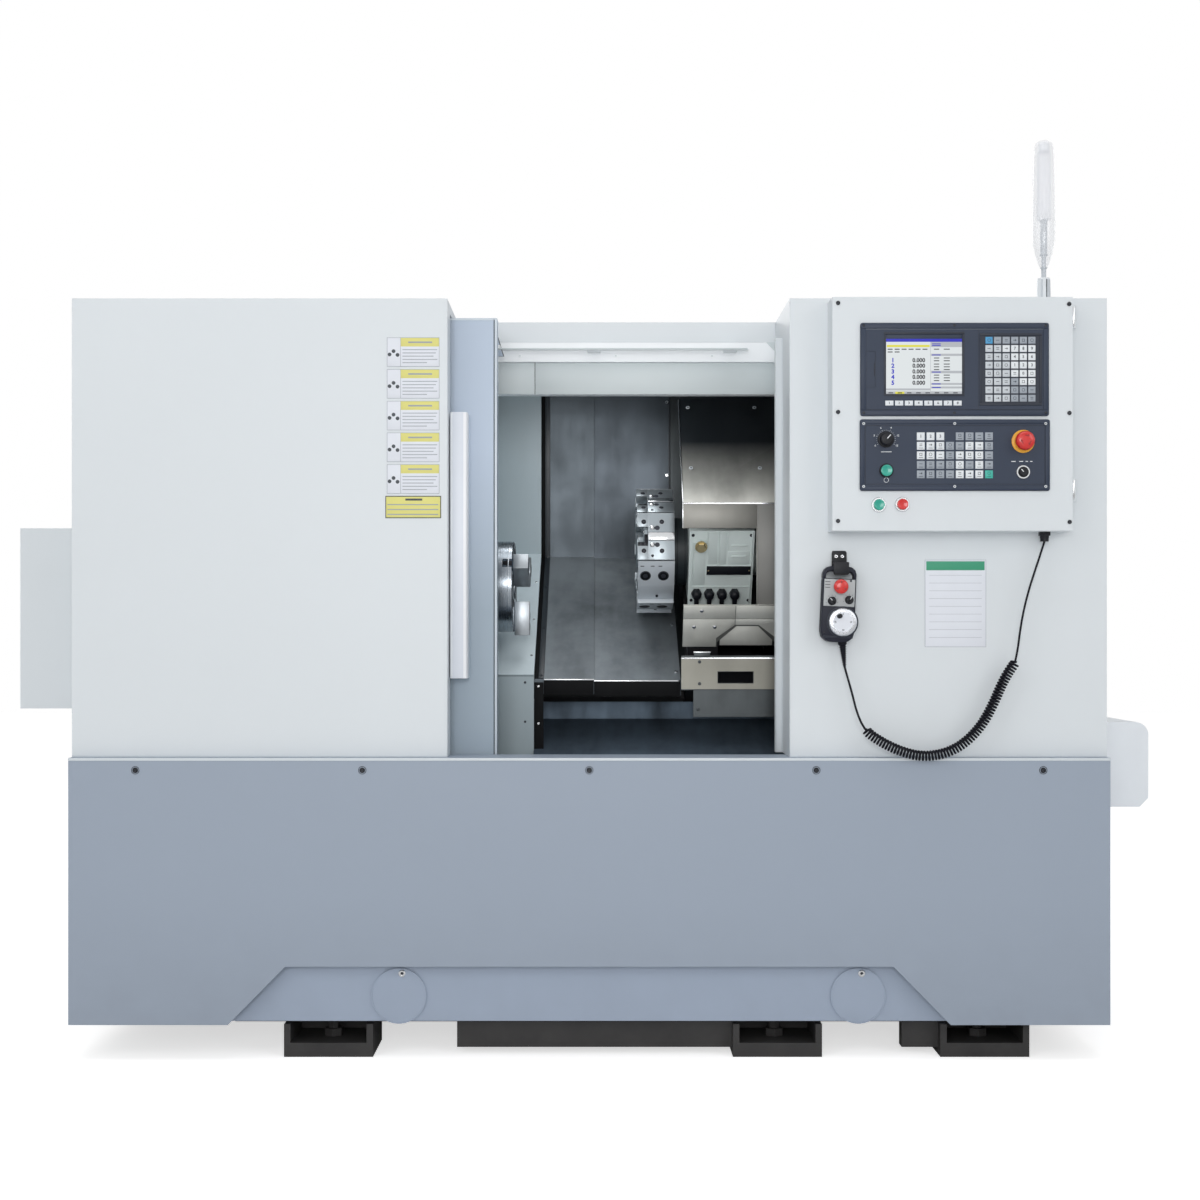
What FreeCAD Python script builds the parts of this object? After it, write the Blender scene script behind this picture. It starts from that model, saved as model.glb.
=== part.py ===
"""A slant-bed CNC turning lathe in a full sheet-metal enclosure.

Millimetres throughout. X runs along the spindle to the operator's right, Y from the operator to the
back and Z up. The geometry is worked out from the middle of the enclosure, the front face of the grey
apron and the floor. When a sub-part is written, it is moved so that the origin is the middle of the
footprint, on the floor.

The slide bed leans back at BED_ANGLE. Things on it are placed in slope sizes: u runs up the slope and
v stands square off it, both measured from the spindle axis.
"""
import FreeCAD, Part
import math
import os
from FreeCAD import Vector

# ---- Enclosure -------------------------------------------------------------------------------------
BODY_WIDTH = 2200.0
BODY_DEPTH = 1450.0
BODY_HEIGHT = 1615.0
APRON_TOP = 640.0
APRON_BOTTOM = 76.0
COVER_SETBACK = 25.0          # the white covers stand this far behind the apron
SHEET = 2.0                   # white covers and guards
APRON_SHEET = 3.0
APRON_LIP = 100.0             # folded top edge that the covers stand on
TOE_TOP = 199.0               # toe cut-out along the bottom of the apron
TOE_HALF_WIDTH = 763.0
TOE_SLOPE_RUN = 121.0
APRON_SCREW_PITCH = 479.0
APRON_SCREW_COUNT = 5
APRON_SCREW_DROP = 26.0
APRON_SCREW_HOLE = 11.0
PLINTH_SETBACK = 33.0
LIFT_HOLE_X = (-405.0, 572.0)
LIFT_HOLE_Z = 132.0
LIFT_HOLE_RADIUS = 46.0
LIFT_COVER_RADIUS = 59.0
LIFT_COVER_THICK = 3.0

# ---- Door opening and door ---------------------------------------------------------------------------
OPENING_LEFT = -302.0
OPENING_RIGHT = 426.0
JAMB_EDGE = 411.0             # free edge of the closing post
JAMB_Y = 165.0
JAMB_TOP = 1555.0
BEAM_Y = 300.0
HEADER_BOTTOM = 1451.0
HEADER_TOP = 1524.0
ROOF_FRONT_DROP = 46.0
DOOR_Y = 110.0
DOOR_THICK = 40.0
DOOR_WIDTH = 765.0
DOOR_OPEN_EDGE = -201.0       # right-hand edge of the door when it stands open
DOOR_TRAVEL = 620.0
DOOR_BOTTOM = 606.0
DOOR_TOP = 1589.0
WINDOW_WIDTH = 440.0
WINDOW_HEIGHT = 460.0
WINDOW_SILL = 960.0
WINDOW_FROM_EDGE = 190.0      # from the door's leading edge to the window
GLASS_THICK = 10.0
HANDLE_WIDTH = 38.0
HANDLE_HEIGHT = 572.0
HANDLE_BOTTOM = 806.0
HANDLE_REACH = 50.0
HANDLE_FROM_EDGE = 61.0
RAIL_Z = 1551.0
RAIL_HEIGHT = 12.0
RAIL_RIGHT = 360.0
ROLLER_RADIUS = 16.0
RUNNING_GAP = 0.3

# ---- Spindle, chuck and headstock --------------------------------------------------------------------
SPINDLE_Y = 350.0
SPINDLE_Z = 1010.0
SPINDLE_BORE = 52.0
CHUCK_DIAMETER = 210.0
CHUCK_FACE = -174.0
CHUCK_THICK = 88.0
JAW_COUNT = 3
JAW_INNER = 34.0
JAW_OUTER = 112.0
JAW_WIDTH = 38.0
JAW_HEIGHT = 35.0
JAW_STROKE = 3.0
JAW_KEY_WIDTH = 22.0
JAW_KEY_DEPTH = 24.0
JAW_FIRST_ANGLE = 30.0        # above the line from the axis towards the operator
NOSE_RADIUS = 84.0
NOSE_THICK = 28.0
SHAFT_RADIUS = 60.0
TAIL_RADIUS = 45.0
HEADSTOCK_LEFT = -760.0
HEADSTOCK_RIGHT = -300.0
HEADSTOCK_RADIUS = 128.0
PULLEY_RADIUS = 92.0
PULLEY_WIDTH = 60.0
CYLINDER_RADIUS = 88.0
CYLINDER_LENGTH = 170.0
MOTOR_Y = 215.0
MOTOR_Z = 400.0
MOTOR_SIDE = 220.0
MOTOR_LENGTH = 300.0
MOTOR_PULLEY_RADIUS = 58.0
BELT_THICK = 6.0
MOTOR_SHAFT_RADIUS = 19.0

# ---- Slant bed and slides ----------------------------------------------------------------------------
BED_ANGLE = 30.0
BED_V = -291.0                # bed face, square off the slope from the spindle axis
BED_LOW_U = -70.0
BED_HIGH_U = 420.0
BED_LEFT = -760.0
BED_RIGHT = 900.0
BASE_RIGHT = 960.0
BASE_FRONT = 60.0
BASE_BACK = 1100.0
BASE_BOTTOM = 70.0
BASE_TOP = 260.0
FOOT_X = (-556.0, 401.0, 843.0)
FOOT_WIDTH = 190.0
FOOT_DEPTH = 150.0
FOOT_WALL = 14.0
FOOT_SLAB = 30.0
FOOT_FRONT = 35.0
SKIRT_SPANS = ((-284.0, 306.0), (670.0, 748.0))
SKIRT_BOTTOM = 15.0
BED_BAYS = 7                  # cored pockets between the ribs of the bed
RIB = 30.0
TANK_TOP = 480.0
RAIL_PROFILE_WIDTH = 34.0
RAIL_PROFILE_HEIGHT = 29.0
Z_RAIL_U = (0.0, 350.0)
Z_RAIL_LEFT = -200.0
CARRIAGE_TOP = 48.0           # rail foot to the top of a carriage
SADDLE_LEFT = 225.0
SADDLE_WIDTH = 390.0
SADDLE_THICK = 80.0
SADDLE_HIGH_U = 470.0
X_RAIL_X = (262.0, 578.0)
X_RAIL_LOW_U = -62.0
X_RAIL_HIGH_U = 440.0
SLIDE_THICK = 35.0
SLIDE_LOW_U = -75.0
SLIDE_HIGH_U = 330.0
SCREW_Z_RADIUS = 16.0
SCREW_X_RADIUS = 12.5
SERVO_Z_SIDE = 130.0
SERVO_X_SIDE = 96.0
Z_TRAVEL = (-170.0, 115.0)
X_TRAVEL = (-30.0, 130.0)

# ---- Turret ------------------------------------------------------------------------------------------
TURRET_U = 179.0
TURRET_STATIONS = 8
TURRET_LEFT = 111.0
TURRET_RIGHT = 198.0
DISC_APOTHEM = 118.0
HOLDER_WIDTH = 88.0
HOLDER_HEIGHT = 35.0
TOOL_SLOT = 26.0
BORING_RADIUS = 12.5
TURRET_TILT = 12.0            # the facet nearest the operator, turned off level
HOUSING_LEFT = 232.0
HOUSING_RIGHT = 383.0
HOUSING_FRONT_U = 60.0
HOUSING_TOP_V = 115.0
SHAFT_STUB = 30.0

# ---- Guards and covers inside ------------------------------------------------------------------------
WAY_COVER_V = -165.0
WAY_COVER_FRONT = 311.0
WAY_COVER_LIP = 32.0
WAY_COVER_BACK = 842.0
WAY_COVER_TOP = 1540.0
WAY_COVER_STEP = 5.0
GUARD_EDGE = -128.0
GUARD_FRONT_X = -262.0
GUARD_FRONT_Y = 165.0
GUARD_FOOT = 560.0              # bottom of the plates in front of the bed
GUARD_RISE = 15.0               # the headstock guard stands this far proud of the fixed cover
CHUCK_CLEARANCE = 7.0
FIXED_COVER_RIGHT = 10.0
MOVING_COVER_LEFT = -112.0
CHAMBER_RIGHT = 800.0
SADDLE_GUARD_LEFT = 209.0
SADDLE_GUARD_RIGHT = 900.0
SADDLE_GUARD_TOP = 846.0
SADDLE_GUARD_LID = 17.0         # clear of the cross slide's carriages at the bottom of their stroke
SADDLE_GUARD_MID = 772.0
SADDLE_GUARD_BOTTOM = 711.0
HOOD_LEFT = 214.0
HOOD_RIGHT = 640.0
HOOD_Y = 330.0
HOOD_LIP_BOTTOM = 1145.0
HOOD_LIP_TOP = 1203.0
HOOD_BACK = 560.0
HOOD_RISE = 1475.0

# ---- Side boxes and lamp -----------------------------------------------------------------------------
SIDE_BOX_REACH = 170.0
SPINDLE_BOX = (200.0, 620.0, 735.0, 1137.0)      # front, back, bottom, top
SPINDLE_HOLE_RADIUS = 108.0
LUBE_BOX = (270.0, 560.0, 508.0, 701.0)
LAMP_X = 1013.0
LAMP_Y = 200.0
LAMP_HEIGHT = 386.0

# ---- Control box -------------------------------------------------------------------------------------
CONTROL_LEFT = 507.0
CONTROL_RIGHT = 1009.0
CONTROL_BOTTOM = 1117.0
CONTROL_TOP = 1605.0
CONTROL_FRAME_DEPTH = 45.0
CONTROL_DOOR_DEPTH = 20.0
CONTROL_RIM = 14.0
BEZEL_THICK = 4.0
CNC_UNIT = (565.0, 958.0, 1356.0, 1550.0)        # left, right, bottom, top
OPERATOR_UNIT = (564.0, 960.0, 1200.0, 1349.0)
UNIT_EDGE = 11.0              # the bezel overlaps its cut-out by this much
CNC_UNIT_DEPTH = 80.0
OPERATOR_UNIT_DEPTH = 45.0
ESTOP_AT = (904.0, 1303.0)
ESTOP_RADIUS = 20.0
ESTOP_REACH = 28.0
KNOB_AT = (618.0, 1307.0)
KEY_AT = (904.0, 1239.0)
CYCLE_AT = (619.0, 1242.0)
POWER_ON_AT = (604.0, 1171.0)
POWER_OFF_AT = (653.0, 1172.0)
STEM_SIDE = 12.0
STEM_DEPTH = 12.0
PRESS = 4.0                   # stroke of a push button
HINGE_Z = (1180.0, 1542.0)
HINGE_HEIGHT = 48.0
HINGE_RADIUS = 6.0
HINGE_PIN = 3.0
HINGE_OFFSET = 6.5            # from the side of the control box to the pin

# ---- Hand-held pendant -------------------------------------------------------------------------------
PENDANT_X = 527.0
PENDANT_TOP = 1044.0
PENDANT_WIDTH = 77.0
PENDANT_HEIGHT = 160.0
PENDANT_THICK = 32.0
PENDANT_BAR = 14.0              # above the loop opening
PENDANT_TILT = 2.5
PENDANT_GAP = 8.0             # between the cover and the back of the pendant
HOOK_WIDTH = 28.0
HOOK_X = 530.0
HOOK_TOP = 1078.0
HOOK_SHEET = 3.0
BOOT_LENGTH = 52.0
BOOT_LEAN = 5.5
PENDANT_ESTOP_AT = (527.0, 1001.0)
PENDANT_WHEEL_AT = (532.0, 926.5)
AXIS_KNOB_AT = (510.0, 971.0)
RATE_KNOB_AT = (546.0, 973.0)
WHEEL_RADIUS = 29.3

# ---- Pendant cord ------------------------------------------------------------------------------------
CORD_DIAMETER = 5.0
CURL_COUNT = 44
CURL_STEPS = 7                # straight pieces that make one curl
CORD_SIDES = 6
CURL_RADIUS = 8.8             # middle of the cord to the middle of a curl
CORD_Y = -14.0
CORD_EXIT = (961.0, 2.0)
GLAND_LENGTH = 20.0
UPPER_ROUTE = ((957.0, 1086.0), (944.0, 1048.0), (928.0, 1002.0), (914.0, 952.0), (905.0, 902.0))
CURL_ROUTE = ((898.0, 845.0), (881.0, 822.0), (866.0, 794.0), (849.0, 754.0), (826.0, 711.0),
              (792.0, 674.0), (752.0, 651.0), (701.0, 643.0), (654.0, 655.0), (614.0, 674.0),
              (577.0, 700.0))
LOWER_ROUTE = ((561.0, 742.0), (555.0, 772.0), (547.0, 801.0))

# ---- Worked out --------------------------------------------------------------------------------------
HALF_WIDTH = BODY_WIDTH / 2
CONTROL_FRONT = COVER_SETBACK - CONTROL_FRAME_DEPTH - CONTROL_DOOR_DEPTH
UNIT_FRONT = CONTROL_FRONT - BEZEL_THICK
FRONT_REACH = -(UNIT_FRONT - ESTOP_REACH)
MOVE_TO_ORIGIN = Vector(0, -(BODY_DEPTH - FRONT_REACH) / 2, 0)
COS_BED = math.cos(math.radians(BED_ANGLE))
SIN_BED = math.sin(math.radians(BED_ANGLE))
SADDLE_TOP_V = BED_V + CARRIAGE_TOP + SADDLE_THICK
SLIDE_BOTTOM_V = SADDLE_TOP_V + CARRIAGE_TOP
SLIDE_TOP_V = SLIDE_BOTTOM_V + SLIDE_THICK
CHUCK_BACK = CHUCK_FACE - CHUCK_THICK
PULLEY_RIGHT = HEADSTOCK_LEFT - 30.0
PULLEY_LEFT = PULLEY_RIGHT - PULLEY_WIDTH
CYLINDER_RIGHT = PULLEY_LEFT - 90.0
CYLINDER_LEFT = CYLINDER_RIGHT - CYLINDER_LENGTH
Z_SCREW_U = sum(Z_RAIL_U) / 2
Z_SCREW_V = BED_V - 9.0
X_SCREW_X = sum(X_RAIL_X) / 2
X_SCREW_V = SADDLE_TOP_V - 27.0
COVER_TOP = BODY_HEIGHT
PENDANT_BACK = COVER_SETBACK - PENDANT_GAP
PENDANT_FRONT = PENDANT_BACK - PENDANT_THICK
PENDANT_Y = (PENDANT_BACK + PENDANT_FRONT) / 2


# ---- Small tools -------------------------------------------------------------------------------------
def box(x0, x1, y0, y1, z0, z1):
    """A block between two corners."""
    return Part.makeBox(x1 - x0, y1 - y0, z1 - z0, Vector(x0, y0, z0))


def face_of(points):
    """A flat face with straight sides through the points."""
    return Part.Face(Part.makePolygon(list(points) + [points[0]]))


def prism_x(outline, x0, x1):
    """A block whose outline is given as (y, z) points."""
    return face_of([Vector(x0, y, z) for y, z in outline]).extrude(Vector(x1 - x0, 0, 0))


def prism_y(outline, y0, y1):
    """A block whose outline is given as (x, z) points."""
    return face_of([Vector(x, y0, z) for x, z in outline]).extrude(Vector(0, y1 - y0, 0))


def prism_z(outline, z0, z1):
    """A block whose outline is given as (x, y) points."""
    return face_of([Vector(x, y, z0) for x, y in outline]).extrude(Vector(0, 0, z1 - z0))


def rod_x(radius, x0, x1, y, z):
    """A round bar along X."""
    return Part.makeCylinder(radius, x1 - x0, Vector(x0, y, z), Vector(1, 0, 0))


def rod_y(radius, y0, y1, x, z):
    """A round bar along Y."""
    return Part.makeCylinder(radius, y1 - y0, Vector(x, y0, z), Vector(0, 1, 0))


def rod_z(radius, z0, z1, x, y):
    """A round bar along Z."""
    return Part.makeCylinder(radius, z1 - z0, Vector(x, y, z0), Vector(0, 0, 1))


def turned_x(profile, y, z):
    """A turned part on an axis along X. The profile is closed and given as (x, radius) points."""
    outline = face_of([Vector(x, y, z + r) for x, r in profile])
    return outline.revolve(Vector(0, y, z), Vector(1, 0, 0), 360)


def ring_of_corners(sides, radius, middle, axis):
    """Corners of a regular outline round an axis."""
    side = Vector(1, 0, 0).cross(axis) if abs(axis.x) < 0.9 else Vector(0, 0, 1)
    side = side.normalize() * radius
    return [FreeCAD.Rotation(axis, n * 360 / sides).multVec(side) + middle for n in range(sides)]


def sided_bar(sides, radius, start, end):
    """A bar with flat sides between two points, with its corners on the radius."""
    axis = (end - start).normalize()
    return face_of(ring_of_corners(sides, radius, start, axis)).extrude(end - start)


def hexagon(across, start, end):
    """A six-sided bar between two points, measured across its flats."""
    return sided_bar(6, across / math.sqrt(3), start, end)


def sided_turning(sides, profile, start, axis):
    """A turned part in flat strips. The profile is closed and given as (distance, radius) points."""
    rings = [ring_of_corners(sides, radius, start + axis * distance, axis) if radius else
             [start + axis * distance] * sides for distance, radius in profile]
    faces = []
    for first, second in zip(rings, rings[1:] + rings[:1]):
        faces += flat_strip(first, second)
    return solid_inside(faces).removeSplitter()


def flat_strip(first, second):
    """Flat faces between two rings of corners. Corners that fall together make no face."""
    faces = []
    for n in range(len(first)):
        corners = [first[n - 1], first[n], second[n], second[n - 1]]
        corners = [corner for k, corner in enumerate(corners)
                   if (corner - corners[k - 1]).Length > 0.001]
        if len(corners) > 2:
            faces.append(face_of(corners))
    return faces


def solid_inside(faces):
    """The solid that a closed set of faces bounds."""
    shell = Part.makeShell(faces)
    shell.sewShape()
    solid = Part.makeSolid(shell)
    if solid.Volume < 0:
        solid.reverse()
    return solid


def fuse(first, *others):
    """One solid from touching ones."""
    return first.fuse(list(others)).removeSplitter()


def on_slope(u, v):
    """The (y, z) point that lies u up the slope and v square off it from the spindle axis."""
    return (SPINDLE_Y + u * COS_BED - v * SIN_BED, SPINDLE_Z + u * SIN_BED + v * COS_BED)


def slope_point(x, u, v):
    """The same point in space, at x."""
    y, z = on_slope(u, v)
    return Vector(x, y, z)


def slope_box(x0, x1, u0, u1, v0, v1):
    """A block that lies square to the slope."""
    return prism_x([on_slope(u0, v0), on_slope(u1, v0), on_slope(u1, v1), on_slope(u0, v1)], x0, x1)


def slope_rod(radius, x, v, u0, u1):
    """A round bar that runs up the slope."""
    return Part.makeCylinder(radius, u1 - u0, slope_point(x, u0, v), Vector(0, COS_BED, SIN_BED))


def rounded_plate(x0, x1, z0, z1, y0, y1, radius):
    """A plate facing the operator, with its four corners rounded."""
    plate = box(x0, x1, y0, y1, z0, z1)
    upright = [edge for edge in plate.Edges if abs(edge.tangentAt(edge.FirstParameter).y) > 0.99]
    return plate.makeFillet(radius, upright)


def write(name, shape):
    """One sub-part, moved to the origin, as a STEP file."""
    moved = shape.copy()
    moved.translate(MOVE_TO_ORIGIN)
    moved.exportStep(os.path.join("parts", name + ".step"))
    PARTS[name] = moved


PARTS = {}


# ---- Enclosure ---------------------------------------------------------------------------------------
def front_apron():
    """Grey lower front with both lower sides, folded as one wrap, with its toe cut-out and sill."""
    toe_top = TOE_HALF_WIDTH - TOE_SLOPE_RUN
    front = prism_y([(-HALF_WIDTH, APRON_BOTTOM), (-TOE_HALF_WIDTH, APRON_BOTTOM), (-toe_top, TOE_TOP),
                     (toe_top, TOE_TOP), (TOE_HALF_WIDTH, APRON_BOTTOM), (HALF_WIDTH, APRON_BOTTOM),
                     (HALF_WIDTH, APRON_TOP), (-HALF_WIDTH, APRON_TOP)], 0, APRON_SHEET)
    inside = HALF_WIDTH - APRON_SHEET
    sides = [box(sign * HALF_WIDTH if sign < 0 else inside, -inside if sign < 0 else HALF_WIDTH,
                 0, BODY_DEPTH - SHEET, APRON_BOTTOM, APRON_TOP) for sign in (-1, 1)]
    sill = box(-inside, inside, 0, APRON_LIP, APRON_TOP - APRON_SHEET, APRON_TOP)
    sill_drop = box(-inside, inside, APRON_LIP - APRON_SHEET, APRON_LIP, APRON_TOP - 30, APRON_TOP)
    apron = fuse(front, *sides, sill, sill_drop)
    first = -APRON_SCREW_PITCH * (APRON_SCREW_COUNT - 1) / 2
    for n in range(APRON_SCREW_COUNT):
        x = first + n * APRON_SCREW_PITCH
        z = APRON_TOP - APRON_SCREW_DROP
        apron = apron.cut(sided_bar(12, APRON_SCREW_HOLE / 2, Vector(x, -1, z),
                                    Vector(x, APRON_SHEET + 1, z)))
    return apron


def plinth_panel():
    """Set-back panel in the toe space, with the holes for the lifting bars."""
    half = TOE_HALF_WIDTH + 60
    low, high = APRON_BOTTOM + 2, TOE_TOP + 40
    front = PLINTH_SETBACK - APRON_SHEET
    panel = box(-half, half, front, PLINTH_SETBACK, low, high)
    top = box(-half, half, APRON_SHEET, front, high - APRON_SHEET, high)
    foot = box(-half, half, PLINTH_SETBACK, BASE_FRONT, low, low + APRON_SHEET)
    panel = fuse(panel, top, foot)
    for x in LIFT_HOLE_X:
        panel = panel.cut(rod_y(LIFT_HOLE_RADIUS, 0, BASE_FRONT + 1, x, LIFT_HOLE_Z))
    return panel


def lift_hole_covers():
    """Two round plates over the lifting holes."""
    back = PLINTH_SETBACK - APRON_SHEET
    covers = [rod_y(LIFT_COVER_RADIUS, back - LIFT_COVER_THICK, back, x, LIFT_HOLE_Z)
              for x in LIFT_HOLE_X]
    return Part.makeCompound(covers)


def left_cover():
    """White cover over the headstock end: front, outer side, top and the return beside the door."""
    back = BODY_DEPTH - SHEET
    front = box(-HALF_WIDTH, OPENING_LEFT, COVER_SETBACK, COVER_SETBACK + SHEET, APRON_TOP, COVER_TOP)
    side = box(-HALF_WIDTH, -HALF_WIDTH + SHEET, COVER_SETBACK, back, APRON_TOP, COVER_TOP)
    top = box(-HALF_WIDTH, OPENING_LEFT, COVER_SETBACK, back, COVER_TOP - SHEET, COVER_TOP)
    fold = box(OPENING_LEFT - SHEET, OPENING_LEFT, COVER_SETBACK, DOOR_Y - 12, APRON_TOP, COVER_TOP)
    upper = box(OPENING_LEFT - SHEET, OPENING_LEFT, COVER_SETBACK, BEAM_Y, DOOR_TOP + 6, COVER_TOP)
    cover = fuse(front, side, top, fold, upper)
    return cover.cut(rod_x(SPINDLE_HOLE_RADIUS, -HALF_WIDTH - 1, -HALF_WIDTH + SHEET + 1,
                           SPINDLE_Y, SPINDLE_Z))


def right_cover():
    """White cover over the slide end, with the closing post and the frame that carries the controls."""
    back = BODY_DEPTH - SHEET
    left = OPENING_RIGHT
    front = box(left, HALF_WIDTH, COVER_SETBACK, COVER_SETBACK + SHEET, APRON_TOP, COVER_TOP)
    side = box(HALF_WIDTH - SHEET, HALF_WIDTH, COVER_SETBACK, back, APRON_TOP, COVER_TOP)
    top = box(left, HALF_WIDTH, COVER_SETBACK, back, COVER_TOP - SHEET, COVER_TOP)
    wall = box(left, left + SHEET, COVER_SETBACK, JAMB_Y + SHEET, APRON_TOP, COVER_TOP)
    upper = box(left, left + SHEET, COVER_SETBACK, BEAM_Y + 40, HEADER_BOTTOM, COVER_TOP)
    post = box(JAMB_EDGE, left, JAMB_Y, JAMB_Y + SHEET, APRON_TOP, JAMB_TOP)
    post_fold = box(JAMB_EDGE, JAMB_EDGE + SHEET, JAMB_Y, JAMB_Y + 22, APRON_TOP, JAMB_TOP)
    cut_out = box(CONTROL_LEFT + CONTROL_RIM, CONTROL_RIGHT - CONTROL_RIM, COVER_SETBACK - 1,
                  COVER_SETBACK + SHEET + 1, CONTROL_BOTTOM + CONTROL_RIM, CONTROL_TOP - CONTROL_RIM)
    frame_y = COVER_SETBACK - CONTROL_FRAME_DEPTH
    frame = box(CONTROL_LEFT, CONTROL_RIGHT, frame_y, COVER_SETBACK, CONTROL_BOTTOM, CONTROL_TOP)
    frame = frame.cut(box(CONTROL_LEFT + SHEET, CONTROL_RIGHT - SHEET, frame_y - 1, COVER_SETBACK + 1,
                          CONTROL_BOTTOM + SHEET, CONTROL_TOP - SHEET))
    cover = fuse(front.cut(cut_out), side, top, wall, upper, post, post_fold, frame)
    x = CONTROL_RIGHT + HINGE_OFFSET
    third = HINGE_HEIGHT / 3
    for z in HINGE_Z:
        leaf = box(CONTROL_RIGHT - SHEET, x, frame_y + HINGE_RADIUS - SHEET, frame_y + HINGE_RADIUS + 1,
                   z, z + HINGE_HEIGHT)
        knuckles = [sided_bar(12, HINGE_RADIUS, Vector(x, frame_y, z + low),
                              Vector(x, frame_y, z + low + third)) for low in (0, 2 * third)]
        pin = rod_z(HINGE_PIN, z, z + HINGE_HEIGHT, x, frame_y)
        middle = rod_z(HINGE_RADIUS + 1.5, z + third - RUNNING_GAP, z + 2 * third + RUNNING_GAP,
                       x, frame_y)
        leaf = leaf.cut(middle)
        cover = fuse(cover, leaf, *knuckles, pin)
    return cover


def rear_shell():
    """Back panel and the roof over the chamber, folded as one, with two louvred vents."""
    back = box(-HALF_WIDTH, HALF_WIDTH, BODY_DEPTH - SHEET, BODY_DEPTH, APRON_BOTTOM, COVER_TOP)
    roof = box(OPENING_LEFT, OPENING_RIGHT, BEAM_Y, BODY_DEPTH, COVER_TOP - SHEET, COVER_TOP)
    drop = box(OPENING_LEFT, OPENING_RIGHT, BEAM_Y, BEAM_Y + SHEET, COVER_TOP - ROOF_FRONT_DROP,
               COVER_TOP)
    shell = fuse(back, roof, drop)
    for x in (-640.0, 640.0):
        for n in range(8):
            slot = box(x - 120, x + 120, BODY_DEPTH - SHEET - 1, BODY_DEPTH + 1,
                       1180 + n * 28, 1190 + n * 28)
            shell = shell.cut(slot)
    return shell


def door_beam():
    """Beam over the opening with the header under it and the rail that the door hangs on."""
    left = -HALF_WIDTH + SHEET
    top = COVER_TOP - ROOF_FRONT_DROP
    face = box(left, OPENING_RIGHT, BEAM_Y, BEAM_Y + SHEET, HEADER_TOP, top)
    ledge = box(left, OPENING_RIGHT, BEAM_Y, BEAM_Y + 40, HEADER_TOP, HEADER_TOP + SHEET)
    header = box(GUARD_FRONT_X - 60, OPENING_RIGHT, BEAM_Y + 8, BEAM_Y + 8 + SHEET,
                 HEADER_BOTTOM, HEADER_TOP)
    return_fold = box(GUARD_FRONT_X - 60, OPENING_RIGHT, BEAM_Y + 8, BEAM_Y + 40,
                      HEADER_BOTTOM, HEADER_BOTTOM + SHEET)
    beam = fuse(face, ledge, header, return_fold)
    rail_y = BEAM_Y - 38
    rail_left = DOOR_OPEN_EDGE - DOOR_WIDTH + 6
    rail = box(rail_left, RAIL_RIGHT, rail_y, rail_y + 8, RAIL_Z - RAIL_HEIGHT / 2,
               RAIL_Z + RAIL_HEIGHT / 2)
    count = 5
    pitch = (RAIL_RIGHT - rail_left - 80) / (count - 1)
    blocks = [box(rail_left + 25 + n * pitch, rail_left + 55 + n * pitch, rail_y + 8, BEAM_Y,
                  RAIL_Z - RAIL_HEIGHT / 2, RAIL_Z + RAIL_HEIGHT / 2 - 2) for n in range(count)]
    return fuse(beam, rail, *blocks)


# ---- Sliding door --------------------------------------------------------------------------------------
def door_panel():
    """Folded door with its window opening, and the two arms whose wheels run on the rail."""
    right = DOOR_OPEN_EDGE
    left = right - DOOR_WIDTH
    back = DOOR_Y + DOOR_THICK
    tray = box(left, right, DOOR_Y, back, DOOR_BOTTOM, DOOR_TOP)
    tray = tray.cut(box(left + SHEET, right - SHEET, DOOR_Y + SHEET, back + 1,
                        DOOR_BOTTOM + SHEET, DOOR_TOP - SHEET))
    window_right = right - WINDOW_FROM_EDGE
    window_left = window_right - WINDOW_WIDTH
    window_top = WINDOW_SILL + WINDOW_HEIGHT
    tray = tray.cut(rounded_plate(window_left, window_right, WINDOW_SILL, window_top,
                                  DOOR_Y - 1, DOOR_Y + SHEET + 1, 18))
    rim = 24
    clamp = box(window_left - rim, window_right + rim, DOOR_Y + SHEET, back - 8,
                WINDOW_SILL - rim, window_top + rim)
    clamp = clamp.cut(box(window_left - rim + 3, window_right + rim - 3, DOOR_Y, back,
                          WINDOW_SILL - rim + 3, window_top + rim - 3))
    panel = fuse(tray, clamp)
    rail_y = BEAM_Y - 38
    wheel_z = RAIL_Z + RAIL_HEIGHT / 2 + RUNNING_GAP + ROLLER_RADIUS
    for x in (left + 62, right - 62):
        arm = box(x - 20, x + 20, DOOR_Y + SHEET, rail_y - 4, wheel_z - 7, wheel_z + 7)
        wheel = sided_bar(20, ROLLER_RADIUS, Vector(x, rail_y - 4, wheel_z),
                          Vector(x, rail_y + 12, wheel_z))
        panel = fuse(panel, arm, wheel)
    return panel


def door_window():
    """Laminated glass, seated against the back of the door skin."""
    right = DOOR_OPEN_EDGE - WINDOW_FROM_EDGE + 18
    left = right - WINDOW_WIDTH - 36
    return box(left, right, DOOR_Y + SHEET, DOOR_Y + SHEET + GLASS_THICK,
               WINDOW_SILL - 18, WINDOW_SILL + WINDOW_HEIGHT + 18)


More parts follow.
